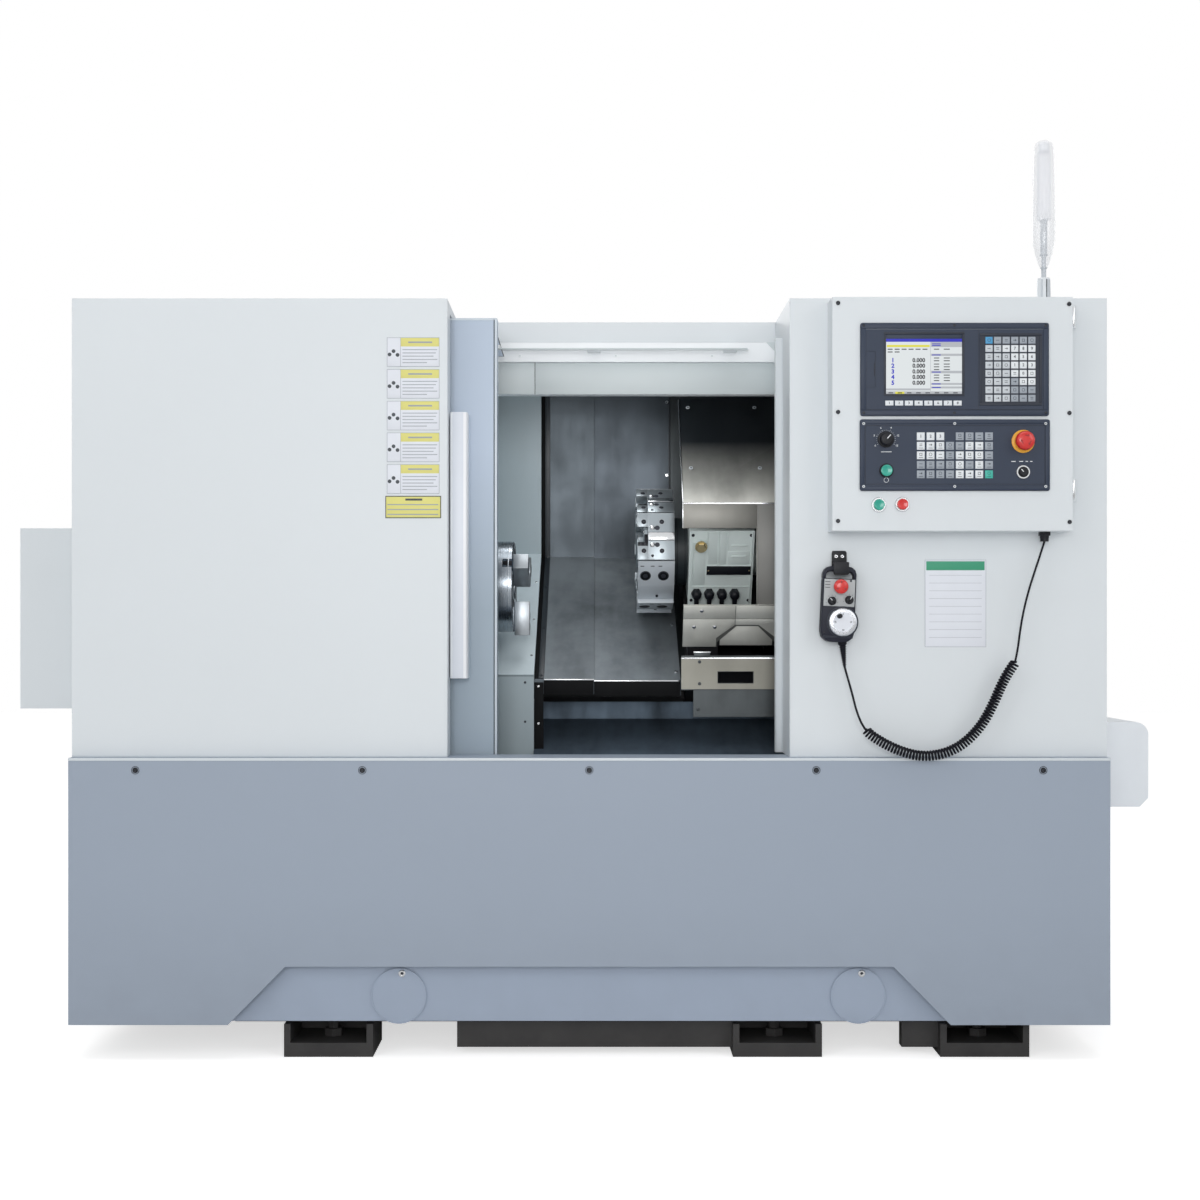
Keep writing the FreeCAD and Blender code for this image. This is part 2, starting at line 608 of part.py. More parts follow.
def door_handle():
    """Full-length pull: a front plate, a web along its left edge and an end cap at each end."""
    right = DOOR_OPEN_EDGE - HANDLE_FROM_EDGE
    left = right - HANDLE_WIDTH
    top = HANDLE_BOTTOM + HANDLE_HEIGHT
    front = DOOR_Y - HANDLE_REACH
    plan = [(left, DOOR_Y), (left, front + 6), (left + 6, front), (right - 6, front),
            (right, front + 6), (right, front + 14), (right - 4, front + 14), (right - 4, front + 8),
            (right - 8, front + 4), (left + 8, front + 4), (left + 4, front + 8), (left + 4, DOOR_Y)]
    grip = prism_z(plan, HANDLE_BOTTOM, top)
    cap = [(left, DOOR_Y), (left, front + 6), (left + 6, front), (right - 6, front), (right, front + 6),
           (right, DOOR_Y)]
    return fuse(grip, prism_z(cap, HANDLE_BOTTOM, HANDLE_BOTTOM + 4), prism_z(cap, top - 4, top))


# ---- Chamber guards and trays --------------------------------------------------------------------------
def slope_height(y, v):
    """Height of the slope line that lies v off the spindle axis, at a distance y from the apron."""
    u = (y - SPINDLE_Y + v * SIN_BED) / COS_BED
    return SPINDLE_Z + u * SIN_BED + v * COS_BED


def slope_sheet(x0, x1, front, back, v):
    """A thin sheet up the slope between two distances from the apron, ending square to the floor."""
    low, high = slope_height(front, v), slope_height(back, v)
    thick = SHEET / COS_BED
    return prism_x([(front, low), (back, high), (back, high + thick), (front, low + thick)], x0, x1)


def way_cover(x0, x1, v, front, back):
    """One sheet of the telescopic cover: front lip, slope and upright back."""
    slope = slope_sheet(x0, x1, front, back, v - SHEET)
    low = slope_height(front, v - SHEET)
    lip = box(x0, x1, front, front + SHEET, low - WAY_COVER_LIP, low + 1)
    upright = box(x0, x1, back - SHEET, back, slope_height(back, v) - 1, WAY_COVER_TOP)
    return fuse(slope, lip, upright)


def headstock_guard():
    """Grey guard round the chuck: slope, upright back, wall with the chuck's hole, and lower front."""
    v = WAY_COVER_V + GUARD_RISE
    cover_back = WAY_COVER_BACK - WAY_COVER_STEP
    back = cover_back - GUARD_RISE
    inner = back - SHEET
    front_top = slope_height(BEAM_Y, v)
    slope = slope_sheet(GUARD_FRONT_X, GUARD_EDGE, BEAM_Y, back, v - SHEET)
    upright = box(GUARD_FRONT_X, GUARD_EDGE, inner, back, slope_height(back, v) - 1, WAY_COVER_TOP)
    edge = prism_x([(BEAM_Y, slope_height(BEAM_Y, WAY_COVER_V)),
                    (cover_back, slope_height(cover_back, WAY_COVER_V)), (cover_back, WAY_COVER_TOP),
                    (inner, WAY_COVER_TOP), (inner, slope_height(inner, v)), (BEAM_Y, front_top)],
                   GUARD_EDGE - SHEET, GUARD_EDGE)
    wall_foot = slope_height(BEAM_Y, v - SHEET)
    wall = prism_x([(GUARD_FRONT_Y, wall_foot), (BEAM_Y, wall_foot), (back, slope_height(back, v - SHEET)),
                    (back, HEADER_BOTTOM), (GUARD_FRONT_Y, HEADER_BOTTOM)],
                   GUARD_FRONT_X - SHEET, GUARD_FRONT_X)
    wall = wall.cut(rod_x(CHUCK_DIAMETER / 2 + CHUCK_CLEARANCE, GUARD_FRONT_X - 40, GUARD_EDGE,
                          SPINDLE_Y, SPINDLE_Z))
    bed_front = on_slope(BED_LOW_U, BED_V)[0]
    plate = box(OPENING_LEFT, GUARD_EDGE, BEAM_Y, BEAM_Y + SHEET, GUARD_FOOT, front_top)
    lip_bottom = slope_height(WAY_COVER_FRONT, WAY_COVER_V) - WAY_COVER_LIP
    side = box(GUARD_EDGE - SHEET, GUARD_EDGE, BEAM_Y, bed_front, GUARD_FOOT, lip_bottom - 15)
    return fuse(slope, upright, edge, wall, plate, side)


def chip_chute():
    """Sloping plate that drops chips and coolant from the bed into the tank."""
    bed_front = on_slope(BED_LOW_U, BED_V)[0]
    outline = [(BASE_FRONT, 520.0), (bed_front - 3, 700.0), (bed_front - 3, 740.0), (bed_front, 740.0),
               (bed_front, 696.0), (BASE_FRONT, 516.5)]
    return prism_x(outline, GUARD_EDGE, CHAMBER_RIGHT - 10)


def coolant_tank():
    """Open sheet tank that stands on the base under the chute."""
    left, right, front, back = -380.0, CHAMBER_RIGHT - 20, BASE_FRONT + 4, 430.0
    tank = box(left, right, front, back, BASE_TOP, TANK_TOP)
    return tank.cut(box(left + 3, right - 3, front + 3, back - 3, BASE_TOP + 3, TANK_TOP + 1))


def chamber_end_wall():
    """Wall that closes the right-hand end of the chamber above the slide covers."""
    back = WAY_COVER_BACK - WAY_COVER_STEP - SHEET
    low = WAY_COVER_V + 65
    outline = [(BEAM_Y - 100, slope_height(BEAM_Y, low)), (BEAM_Y, slope_height(BEAM_Y, low)),
               (back, slope_height(back, low)), (back, COVER_TOP - SHEET),
               (BEAM_Y - 100, COVER_TOP - SHEET)]
    return prism_x(outline, CHAMBER_RIGHT, CHAMBER_RIGHT + SHEET)


def spindle_end_cover():
    """Louvred box on the left side, round the end of the hydraulic cylinder."""
    front, back, low, high = SPINDLE_BOX
    outer = -HALF_WIDTH - SIDE_BOX_REACH
    shell = box(outer, -HALF_WIDTH, front, back, low, high)
    shell = shell.cut(box(outer + SHEET, -HALF_WIDTH + 1, front + SHEET, back - SHEET,
                          low + SHEET, high - SHEET))
    for n in range(7):
        z = low + 90 + n * 30
        shell = shell.cut(box(outer - 1, outer + SHEET + 1, front + 90, back - 90, z, z + 10))
    return shell


def lubricator_cover():
    """Box on the right side over the oil pump, with a rounded top corner and a cut bottom corner."""
    front, back, low, high = LUBE_BOX
    outer = HALF_WIDTH + SIDE_BOX_REACH
    block = prism_y([(HALF_WIDTH, low), (outer - 20, low), (outer, low + 20), (outer, high),
                     (HALF_WIDTH, high)], front, back)
    corner = [edge for edge in block.Edges
              if abs(edge.CenterOfMass.x - outer) < 1 and abs(edge.CenterOfMass.z - high) < 1]
    block = block.makeFillet(30, corner)
    hollow = prism_y([(HALF_WIDTH - 1, low + 2), (outer - 21, low + 2), (outer - 2, low + 21),
                      (outer - 2, high - 32), (outer - 32, high - 2), (HALF_WIDTH - 1, high - 2)],
                     front + SHEET, back - SHEET)
    return block.cut(hollow)


def signal_lamp():
    """Pole, collar and tapered light on the roof, turned as one."""
    profile = [(0, 0), (0, 16), (80, 14), (80, 8), (102, 8), (102, 10.6), (180, 25.6), (360, 17),
               (LAMP_HEIGHT, 9), (LAMP_HEIGHT, 0)]
    return sided_turning(24, profile, Vector(LAMP_X, LAMP_Y, COVER_TOP), Vector(0, 0, 1))


# ---- Bed and headstock ---------------------------------------------------------------------------------
def foot(x, front, open_to_front):
    """One C-shaped foot with its levelling screw. The pocket opens to the front or to the back."""
    half = FOOT_WIDTH / 2
    block = box(x - half, x + half, front, front + FOOT_DEPTH, 0, BASE_BOTTOM)
    shift = -1 if open_to_front else FOOT_WALL
    block = block.cut(box(x - half + FOOT_WALL, x + half - FOOT_WALL, front + shift,
                          front + shift + FOOT_DEPTH - FOOT_WALL + 1, FOOT_SLAB, BASE_BOTTOM + 1))
    y = front + FOOT_DEPTH / 2
    screw = hexagon(20, Vector(x, y, FOOT_SLAB), Vector(x, y, BASE_BOTTOM + 5))
    return fuse(block, screw, hexagon(36, Vector(x, y, FOOT_SLAB), Vector(x, y, FOOT_SLAB + 16)))


def bed_casting():
    """Cast base with its feet, and the slant bed on it with the blocks that hold the long screw."""
    low_y, low_z = on_slope(BED_LOW_U, BED_V)
    high_y, high_z = on_slope(BED_HIGH_U, BED_V)
    base = box(BED_LEFT, BASE_RIGHT, BASE_FRONT, BASE_BACK, BASE_BOTTOM, BASE_TOP)
    slant = prism_x([(low_y, BASE_TOP), (low_y, low_z), (high_y, high_z), (high_y + 101, high_z),
                     (high_y + 141, high_z - 68), (high_y + 141, BASE_TOP)], BED_LEFT, BED_RIGHT)
    blocks = [slope_box(x, x + 30, Z_SCREW_U - 45, Z_SCREW_U + 45, BED_V - 1, BED_V + 31)
              for x in (Z_RAIL_LEFT, BED_RIGHT - 30)]
    skirts = [box(x0, x1, BASE_FRONT, BASE_FRONT + 30, SKIRT_BOTTOM, BASE_BOTTOM)
              for x0, x1 in SKIRT_SPANS]
    feet = [foot(x, front, front < 500) for x in FOOT_X
            for front in (FOOT_FRONT, BASE_BACK + 25 - FOOT_DEPTH)]
    bed = fuse(base, slant, *skirts, *feet)
    bed = bed.cut(slope_box(Z_RAIL_LEFT + 30, BED_RIGHT - 30, Z_SCREW_U - 115, Z_SCREW_U + 115,
                            BED_V - 60, BED_V + 1))
    bed = fuse(bed, *blocks)
    bed = bed.cut(screw_hole(SCREW_Z_RADIUS, slope_point(Z_RAIL_LEFT - 1, Z_SCREW_U, Z_SCREW_V),
                             slope_point(BED_RIGHT + 1, Z_SCREW_U, Z_SCREW_V)))
    for x in LIFT_HOLE_X:
        bed = bed.cut(sided_bar(12, LIFT_HOLE_RADIUS, Vector(x, BASE_FRONT - 1, LIFT_HOLE_Z),
                                Vector(x, BASE_BACK + 1, LIFT_HOLE_Z)))
    return bed.cut(Part.makeCompound(bed_bays(low_y, high_y) + base_cells()))


def screw_hole(radius, start, end):
    """Twelve-sided hole that clears a round screw."""
    return sided_bar(12, (radius + RUNNING_GAP) / math.cos(math.pi / 12), start, end)


def bed_bays(low_y, high_y):
    """Cored pockets between the ribs of the slant bed, open to the back."""
    front, back = low_y + 40, high_y + 142
    roof_v = BED_V - 75
    low = BASE_TOP + 30
    outline = [(front, low), (front, slope_height(front, roof_v)), (high_y, slope_height(high_y, roof_v)),
               (back, slope_height(high_y, roof_v)), (back, low)]
    pitch = (BED_RIGHT - BED_LEFT) / BED_BAYS
    return [prism_x(outline, BED_LEFT + n * pitch + RIB / 2, BED_LEFT + (n + 1) * pitch - RIB / 2)
            for n in range(BED_BAYS)]


def base_cells():
    """Cored cells under the base, open to the floor."""
    pitch = (BASE_RIGHT - BED_LEFT) / BED_BAYS
    return [box(BED_LEFT + n * pitch + RIB / 2, BED_LEFT + (n + 1) * pitch - RIB / 2, BASE_FRONT + 40,
                BASE_BACK - 40, BASE_BOTTOM - 1, BASE_TOP - 35) for n in range(BED_BAYS)]


def headstock():
    """Headstock casting on the bed, with the bored barrel for the spindle."""
    body = prism_x([on_slope(-60, BED_V), on_slope(330, BED_V), on_slope(200, 100),
                    on_slope(-100, 100)], HEADSTOCK_LEFT, HEADSTOCK_RIGHT)
    barrel = rod_x(HEADSTOCK_RADIUS, HEADSTOCK_LEFT, HEADSTOCK_RIGHT, SPINDLE_Y, SPINDLE_Z)
    body = fuse(body, barrel)
    return body.cut(rod_x(SHAFT_RADIUS + RUNNING_GAP, HEADSTOCK_LEFT - 1, HEADSTOCK_RIGHT + 1,
                          SPINDLE_Y, SPINDLE_Z))


def spindle():
    """Hollow spindle with its nose flange and the flanged pulley on its tail."""
    nose_back = CHUCK_BACK - NOSE_THICK
    outline = [(CHUCK_BACK, 0), (CHUCK_BACK, NOSE_RADIUS), (nose_back, NOSE_RADIUS),
               (nose_back, SHAFT_RADIUS), (HEADSTOCK_LEFT - 8, SHAFT_RADIUS),
               (HEADSTOCK_LEFT - 8, TAIL_RADIUS), (PULLEY_RIGHT, TAIL_RADIUS)]
    outline += pulley_rim(PULLEY_RADIUS)
    outline += [(PULLEY_LEFT, TAIL_RADIUS), (CYLINDER_RIGHT, TAIL_RADIUS), (CYLINDER_RIGHT, 0)]
    body = sided_turning(24, outline, Vector(0, SPINDLE_Y, SPINDLE_Z), Vector(1, 0, 0))
    return body.cut(bar_bore(CYLINDER_RIGHT, CHUCK_BACK))


def bar_bore(x0, x1):
    """The bore for bar stock, to be cut from the pieces of the spindle line."""
    return rod_x(SPINDLE_BORE / 2, x0 - 1, x1 + 1, SPINDLE_Y, SPINDLE_Z)


def pulley_rim(radius):
    """Outline points of a pulley rim between its two flanges, from its right side to its left."""
    flange = radius - RUNNING_GAP + BELT_THICK
    return [(PULLEY_RIGHT, flange), (PULLEY_RIGHT - 4, flange), (PULLEY_RIGHT - 4, radius),
            (PULLEY_LEFT + 4, radius), (PULLEY_LEFT + 4, flange), (PULLEY_LEFT, flange)]


def motor_pulley():
    """Small flanged pulley with its shaft in the motor."""
    shaft = MOTOR_SHAFT_RADIUS
    face = PULLEY_RIGHT + 15
    outline = [(face + 60, 0), (face + 60, shaft), (PULLEY_RIGHT, shaft)]
    outline += pulley_rim(MOTOR_PULLEY_RADIUS)
    outline += [(PULLEY_LEFT, 0)]
    return sided_turning(24, outline, Vector(0, MOTOR_Y, MOTOR_Z), Vector(1, 0, 0))


def spindle_motor():
    """Square spindle motor on the base, with cooling ribs, a shaft bore and a terminal box."""
    half = MOTOR_SIDE / 2
    left = PULLEY_RIGHT + 15
    right = left + MOTOR_LENGTH
    body = box(left, right, MOTOR_Y - half, MOTOR_Y + half, MOTOR_Z - half, MOTOR_Z + half)
    for n in range(5):
        z = MOTOR_Z - half + 26 + n * 36
        for y0, y1 in ((MOTOR_Y - half - 1, MOTOR_Y - half + 8), (MOTOR_Y + half - 8, MOTOR_Y + half + 1)):
            body = body.cut(box(left + 30, right - 40, y0, y1, z, z + 20))
    feet = [box(max(left, BED_LEFT) + 20, right - 20, y, y + 40, BASE_TOP, MOTOR_Z - half)
            for y in (MOTOR_Y - half, MOTOR_Y + half - 40)]
    terminal = box(right - 130, right - 30, MOTOR_Y - 45, MOTOR_Y + 45, MOTOR_Z + half,
                   MOTOR_Z + half + 45)
    body = fuse(body, *feet, terminal)
    return body.cut(rod_x(MOTOR_SHAFT_RADIUS + RUNNING_GAP, left - 1, left + 62, MOTOR_Y, MOTOR_Z))


def belt_outline(extra, x):
    """Face of the loop round both pulleys, grown by extra, at x."""
    lean = math.atan2(SPINDLE_Z - MOTOR_Z, SPINDLE_Y - MOTOR_Y)
    reach = math.hypot(SPINDLE_Z - MOTOR_Z, SPINDLE_Y - MOTOR_Y)
    spread = math.acos((PULLEY_RADIUS - MOTOR_PULLEY_RADIUS) / reach)
    wheels = ((SPINDLE_Y, SPINDLE_Z, PULLEY_RADIUS + extra),
              (MOTOR_Y, MOTOR_Z, MOTOR_PULLEY_RADIUS + extra))

    def rim(wheel, angle):
        y, z, radius = wheel
        return Vector(x, y + radius * math.cos(angle), z + radius * math.sin(angle))

    big, small = wheels
    up, down = lean + math.pi - spread, lean - math.pi + spread
    over = Part.Arc(rim(big, up), rim(big, lean), rim(big, down)).toShape()
    under = Part.Arc(rim(small, down), rim(small, lean + math.pi), rim(small, up)).toShape()
    sides = [Part.makeLine(over.Vertexes[-1].Point, under.Vertexes[0].Point),
             Part.makeLine(under.Vertexes[-1].Point, over.Vertexes[0].Point)]
    return Part.Face(Part.Wire([over, sides[0], under, sides[1]]))


def drive_belt():
    """Flat belt round both pulleys, a smooth band that stands just clear of the rims."""
    width = PULLEY_WIDTH - 10
    x = PULLEY_LEFT + 5
    outer = belt_outline(RUNNING_GAP + BELT_THICK, x).extrude(Vector(width, 0, 0))
    inner = belt_outline(RUNNING_GAP, x - 1).extrude(Vector(width + 2, 0, 0))
    return outer.cut(inner)


def hydraulic_cylinder():
    """Rotary cylinder that works the chuck, with its stepped body."""
    right, left = CYLINDER_RIGHT, CYLINDER_LEFT
    outline = [(right, 0), (right, 70.0), (right - 22, 70.0), (right - 22, CYLINDER_RADIUS),
               (right - 100, CYLINDER_RADIUS), (right - 104, 62.0), (left + 30, 62.0), (left + 30, 45.0),
               (left, 45.0), (left, 0)]
    body = sided_turning(24, outline, Vector(0, SPINDLE_Y, SPINDLE_Z), Vector(1, 0, 0))
    return body.cut(bar_bore(left, right))


# ---- Chuck ----------------------------------------------------------------------------------------------
def turned_to(shape, degrees):
    """The shape turned round the spindle axis."""
    copy = shape.copy()
    copy.rotate(Vector(0, SPINDLE_Y, SPINDLE_Z), Vector(1, 0, 0), degrees)
    return copy


def jaw_angle(n):
    """Turn of one jaw, from straight towards the operator."""
    return -(JAW_FIRST_ANGLE + n * 360 / JAW_COUNT)


def chuck_body():
    """Power chuck body with a slot for the key of every jaw."""
    radius = CHUCK_DIAMETER / 2
    body = turned_x([(CHUCK_BACK, SPINDLE_BORE / 2), (CHUCK_BACK, radius),
                     (CHUCK_FACE - 3, radius), (CHUCK_FACE, radius - 3),
                     (CHUCK_FACE, SPINDLE_BORE / 2)], SPINDLE_Y, SPINDLE_Z)
    half = JAW_KEY_WIDTH / 2 + RUNNING_GAP
    slot = box(CHUCK_FACE - JAW_KEY_DEPTH - RUNNING_GAP, CHUCK_FACE + 1, SPINDLE_Y - radius - 1,
               SPINDLE_Y - JAW_INNER + JAW_STROKE + 3, SPINDLE_Z - half, SPINDLE_Z + half)
    for n in range(JAW_COUNT):
        body = body.cut(turned_to(slot, jaw_angle(n)))
    return body


def chuck_jaw(n):
    """One hard jaw with its key, two stepped gripping faces and two counterbored screw holes."""
    half = JAW_WIDTH / 2
    inner, outer = SPINDLE_Y - JAW_INNER, SPINDLE_Y - JAW_OUTER
    steps = [(CHUCK_FACE, inner), (CHUCK_FACE + JAW_HEIGHT, inner),
             (CHUCK_FACE + JAW_HEIGHT, inner - 22), (CHUCK_FACE + JAW_HEIGHT - 12, inner - 22),
             (CHUCK_FACE + JAW_HEIGHT - 12, outer + 8), (CHUCK_FACE + JAW_HEIGHT - 20, outer),
             (CHUCK_FACE, outer)]
    body = prism_z([(x, y) for x, y in steps], SPINDLE_Z - half, SPINDLE_Z + half)
    key = box(CHUCK_FACE - JAW_KEY_DEPTH, CHUCK_FACE, outer + 12, inner,
              SPINDLE_Z - JAW_KEY_WIDTH / 2, SPINDLE_Z + JAW_KEY_WIDTH / 2)
    jaw = fuse(body, key)
    for y in (outer + 20, outer + 44):
        jaw = jaw.cut(sided_bar(12, 9, Vector(CHUCK_FACE + 12, y, SPINDLE_Z),
                                Vector(CHUCK_FACE + JAW_HEIGHT + 1, y, SPINDLE_Z)))
    return turned_to(jaw, jaw_angle(n))


# ---- Slides ---------------------------------------------------------------------------------------------
def z_rails():
    """Two long profile rails on the bed."""
    half = RAIL_PROFILE_WIDTH / 2
    rails = [slope_box(Z_RAIL_LEFT, BED_RIGHT, u - half, u + half, BED_V, BED_V + RAIL_PROFILE_HEIGHT)
             for u in Z_RAIL_U]
    return Part.makeCompound(rails)


def x_rails():
    """Two short profile rails on the saddle."""
    half = RAIL_PROFILE_WIDTH / 2
    rails = [slope_box(x - half, x + half, X_RAIL_LOW_U, X_RAIL_HIGH_U, SADDLE_TOP_V,
                       SADDLE_TOP_V + RAIL_PROFILE_HEIGHT) for x in X_RAIL_X]
    return Part.makeCompound(rails)


def servo(x0, x1, u0, u1, v0, v1, along_u):
    """Square servo motor with a smaller rear cap, along X or up the slope."""
    cap = 0.28
    inset = 8.0
    if along_u:
        split = u1 - cap * (u1 - u0)
        front = slope_box(x0, x1, u0, split, v0, v1)
        rear = slope_box(x0 + inset, x1 - inset, split, u1, v0 + inset, v1 - inset)
    else:
        split = x1 - cap * (x1 - x0)
        front = slope_box(x0, split, u0, u1, v0, v1)
        rear = slope_box(split, x1, u0 + inset, u1 - inset, v0 + inset, v1 - inset)
    return fuse(front, rear)


def z_motor():
    """Servo of the long screw, on the right-hand end of the bed."""
    half = SERVO_Z_SIDE / 2
    return servo(BED_RIGHT, BED_RIGHT + 160, Z_SCREW_U - half, Z_SCREW_U + half,
                 Z_SCREW_V - half, Z_SCREW_V + half, False)


def x_motor():
    """Servo of the cross screw, at the top of the saddle."""
    half = SERVO_X_SIDE / 2
    return servo(X_SCREW_X - half, X_SCREW_X + half, SADDLE_HIGH_U + 25, SADDLE_HIGH_U + 170,
                 X_SCREW_V - half, X_SCREW_V + half, True)


def saddle():
    """Saddle with its four carriages, the nut of the long screw and the trough for the cross screw."""
    left, right = SADDLE_LEFT, SADDLE_LEFT + SADDLE_WIDTH
    bottom = SADDLE_TOP_V - SADDLE_THICK
    body = slope_box(left, right, BED_LOW_U, SADDLE_HIGH_U, bottom, SADDLE_TOP_V)
    nut = slope_box(X_SCREW_X - 40, X_SCREW_X + 20, Z_SCREW_U - 35, Z_SCREW_U + 35,
                    Z_SCREW_V - 30, bottom)
    bracket = slope_box(X_SCREW_X - 60, X_SCREW_X + 60, SADDLE_HIGH_U, SADDLE_HIGH_U + 25,
                        X_SCREW_V - 50, SADDLE_TOP_V - 3)
    carriages = [slope_box(x, x + 100, u - 50, u + 50, BED_V + 6, bottom)
                 for x in (left, right - 100) for u in Z_RAIL_U]
    body = fuse(body, nut, bracket, *carriages)
    half = RAIL_PROFILE_WIDTH / 2 + RUNNING_GAP
    for u in Z_RAIL_U:
        body = body.cut(slope_box(left - 1, right + 1, u - half, u + half, BED_V,
                                  BED_V + RAIL_PROFILE_HEIGHT + RUNNING_GAP))
    body = body.cut(slope_box(X_SCREW_X - 40, X_SCREW_X + 40, BED_LOW_U + 40, SADDLE_HIGH_U - 20,
                              X_SCREW_V - 35, SADDLE_TOP_V + 1))
    body = body.cut(screw_hole(SCREW_Z_RADIUS, slope_point(left - 1, Z_SCREW_U, Z_SCREW_V),
                               slope_point(right + 1, Z_SCREW_U, Z_SCREW_V)))
    return body.cut(screw_hole(SCREW_X_RADIUS, slope_point(X_SCREW_X, BED_LOW_U - 1, X_SCREW_V),
                               slope_point(X_SCREW_X, SADDLE_HIGH_U + 26, X_SCREW_V)))


def saddle_guard():
    """Stainless guards that travel with the saddle: front box, slope strips and upright back."""
    left, right = SADDLE_GUARD_LEFT, SADDLE_GUARD_RIGHT
    saddle_right = SADDLE_LEFT + SADDLE_WIDTH
    front = prism_y([(left + 28, SADDLE_GUARD_BOTTOM), (right, SADDLE_GUARD_BOTTOM),
                     (right, SADDLE_GUARD_TOP), (left, SADDLE_GUARD_TOP), (left, SADDLE_GUARD_MID),
                     (left + 28, SADDLE_GUARD_MID)], BEAM_Y, BEAM_Y + SHEET)
    slot_left = left + 85
    front = front.cut(box(slot_left, slot_left + 80, BEAM_Y - 1, BEAM_Y + SHEET + 1,
                          SADDLE_GUARD_MID + 17, SADDLE_GUARD_MID + 42))
    lid = box(left, right, BEAM_Y, BEAM_Y + SADDLE_GUARD_LID, SADDLE_GUARD_TOP - SHEET,
              SADDLE_GUARD_TOP)
    v = WAY_COVER_V - WAY_COVER_STEP - SHEET
    strips = [slope_sheet(x0, x1, BEAM_Y, WAY_COVER_BACK + SHEET, v)
              for x0, x1 in ((left, SADDLE_LEFT), (saddle_right, right))]
    back_top = slope_height(WAY_COVER_BACK, WAY_COVER_V)
    back = box(left, right, WAY_COVER_BACK, WAY_COVER_BACK + SHEET, back_top - 8, WAY_COVER_TOP)
    back = back.cut(box(SADDLE_LEFT, saddle_right, WAY_COVER_BACK - 1, WAY_COVER_BACK + SHEET + 1,
                        back_top - 9, back_top + 12))
    return fuse(front, lid, *strips, back)


def cross_slide():
    """Cross slide with its four carriages and the nut of the cross screw."""
    left, right = SADDLE_LEFT, SADDLE_LEFT + SADDLE_WIDTH
    body = slope_box(left, right, SLIDE_LOW_U, SLIDE_HIGH_U, SLIDE_BOTTOM_V, SLIDE_TOP_V)
    carriages = [slope_box(x - 35, x + 35, u, u + 95, SADDLE_TOP_V + 3, SLIDE_BOTTOM_V)
                 for x in X_RAIL_X for u in (SLIDE_LOW_U, SLIDE_HIGH_U - 95)]
    nut = slope_box(X_SCREW_X - 30, X_SCREW_X + 30, TURRET_U - 69, TURRET_U - 9,
                    X_SCREW_V - 15, SLIDE_BOTTOM_V)
    body = fuse(body, nut, *carriages)
    half = RAIL_PROFILE_WIDTH / 2 + RUNNING_GAP
    for x in X_RAIL_X:
        body = body.cut(slope_box(x - half, x + half, SLIDE_LOW_U - 1, SLIDE_HIGH_U + 1, SADDLE_TOP_V,
                                  SADDLE_TOP_V + RAIL_PROFILE_HEIGHT + RUNNING_GAP))
    return body.cut(screw_hole(SCREW_X_RADIUS, slope_point(X_SCREW_X, SLIDE_LOW_U, X_SCREW_V),
                               slope_point(X_SCREW_X, SLIDE_HIGH_U, X_SCREW_V)))


def z_screw():
    """Ball screw that moves the saddle."""
    return Part.makeCylinder(SCREW_Z_RADIUS, BED_RIGHT - 1 - Z_RAIL_LEFT,
                             slope_point(Z_RAIL_LEFT, Z_SCREW_U, Z_SCREW_V), Vector(1, 0, 0))


def x_screw():
    """Ball screw that moves the cross slide."""
    return slope_rod(SCREW_X_RADIUS, X_SCREW_X, X_SCREW_V, BED_LOW_U + 20, SADDLE_HIGH_U + 8)


# ---- Turret ---------------------------------------------------------------------------------------------
def turret_rod(radius, x0, x1):
    """A round bar on the turret axis."""
    y, z = on_slope(TURRET_U, 0)
    return rod_x(radius, x0, x1, y, z)


def turret_housing():
    """Turret housing on the cross slide, with its shroud, indexing motor, plug and cable ports."""
    body = slope_box(HOUSING_LEFT, HOUSING_RIGHT, HOUSING_FRONT_U, HOUSING_FRONT_U + 240,
                     SLIDE_TOP_V, HOUSING_TOP_V)
    shroud = sided_bar(32, 79, slope_point(TURRET_RIGHT + 2, TURRET_U, 0),
                       slope_point(HOUSING_LEFT, TURRET_U, 0))
    motor = sided_bar(24, 68, slope_point(HOUSING_RIGHT, TURRET_U + 6, 10),
                      slope_point(HOUSING_RIGHT + 177, TURRET_U + 6, 10))
    middle = (HOUSING_LEFT + HOUSING_RIGHT) / 2
    plate = slope_box(middle - 33, HOUSING_RIGHT - 6, HOUSING_FRONT_U - 3, HOUSING_FRONT_U, 2, 24)
    plug = sided_bar(16, 13, slope_point(HOUSING_LEFT + 27, HOUSING_FRONT_U - 8, 78),
                     slope_point(HOUSING_LEFT + 27, HOUSING_FRONT_U, 78))
    body = fuse(body, shroud, motor, plate, plug)
    for n in range(4):
        x = HOUSING_LEFT + 20 + n * 30
        port = hexagon(18, slope_point(x, HOUSING_FRONT_U - 14, SLIDE_TOP_V + 32),
                       slope_point(x, HOUSING_FRONT_U, SLIDE_TOP_V + 32))
        body = fuse(body, port)
    return body.cut(turret_rod(SHAFT_STUB + RUNNING_GAP, TURRET_RIGHT, HOUSING_LEFT + 72))


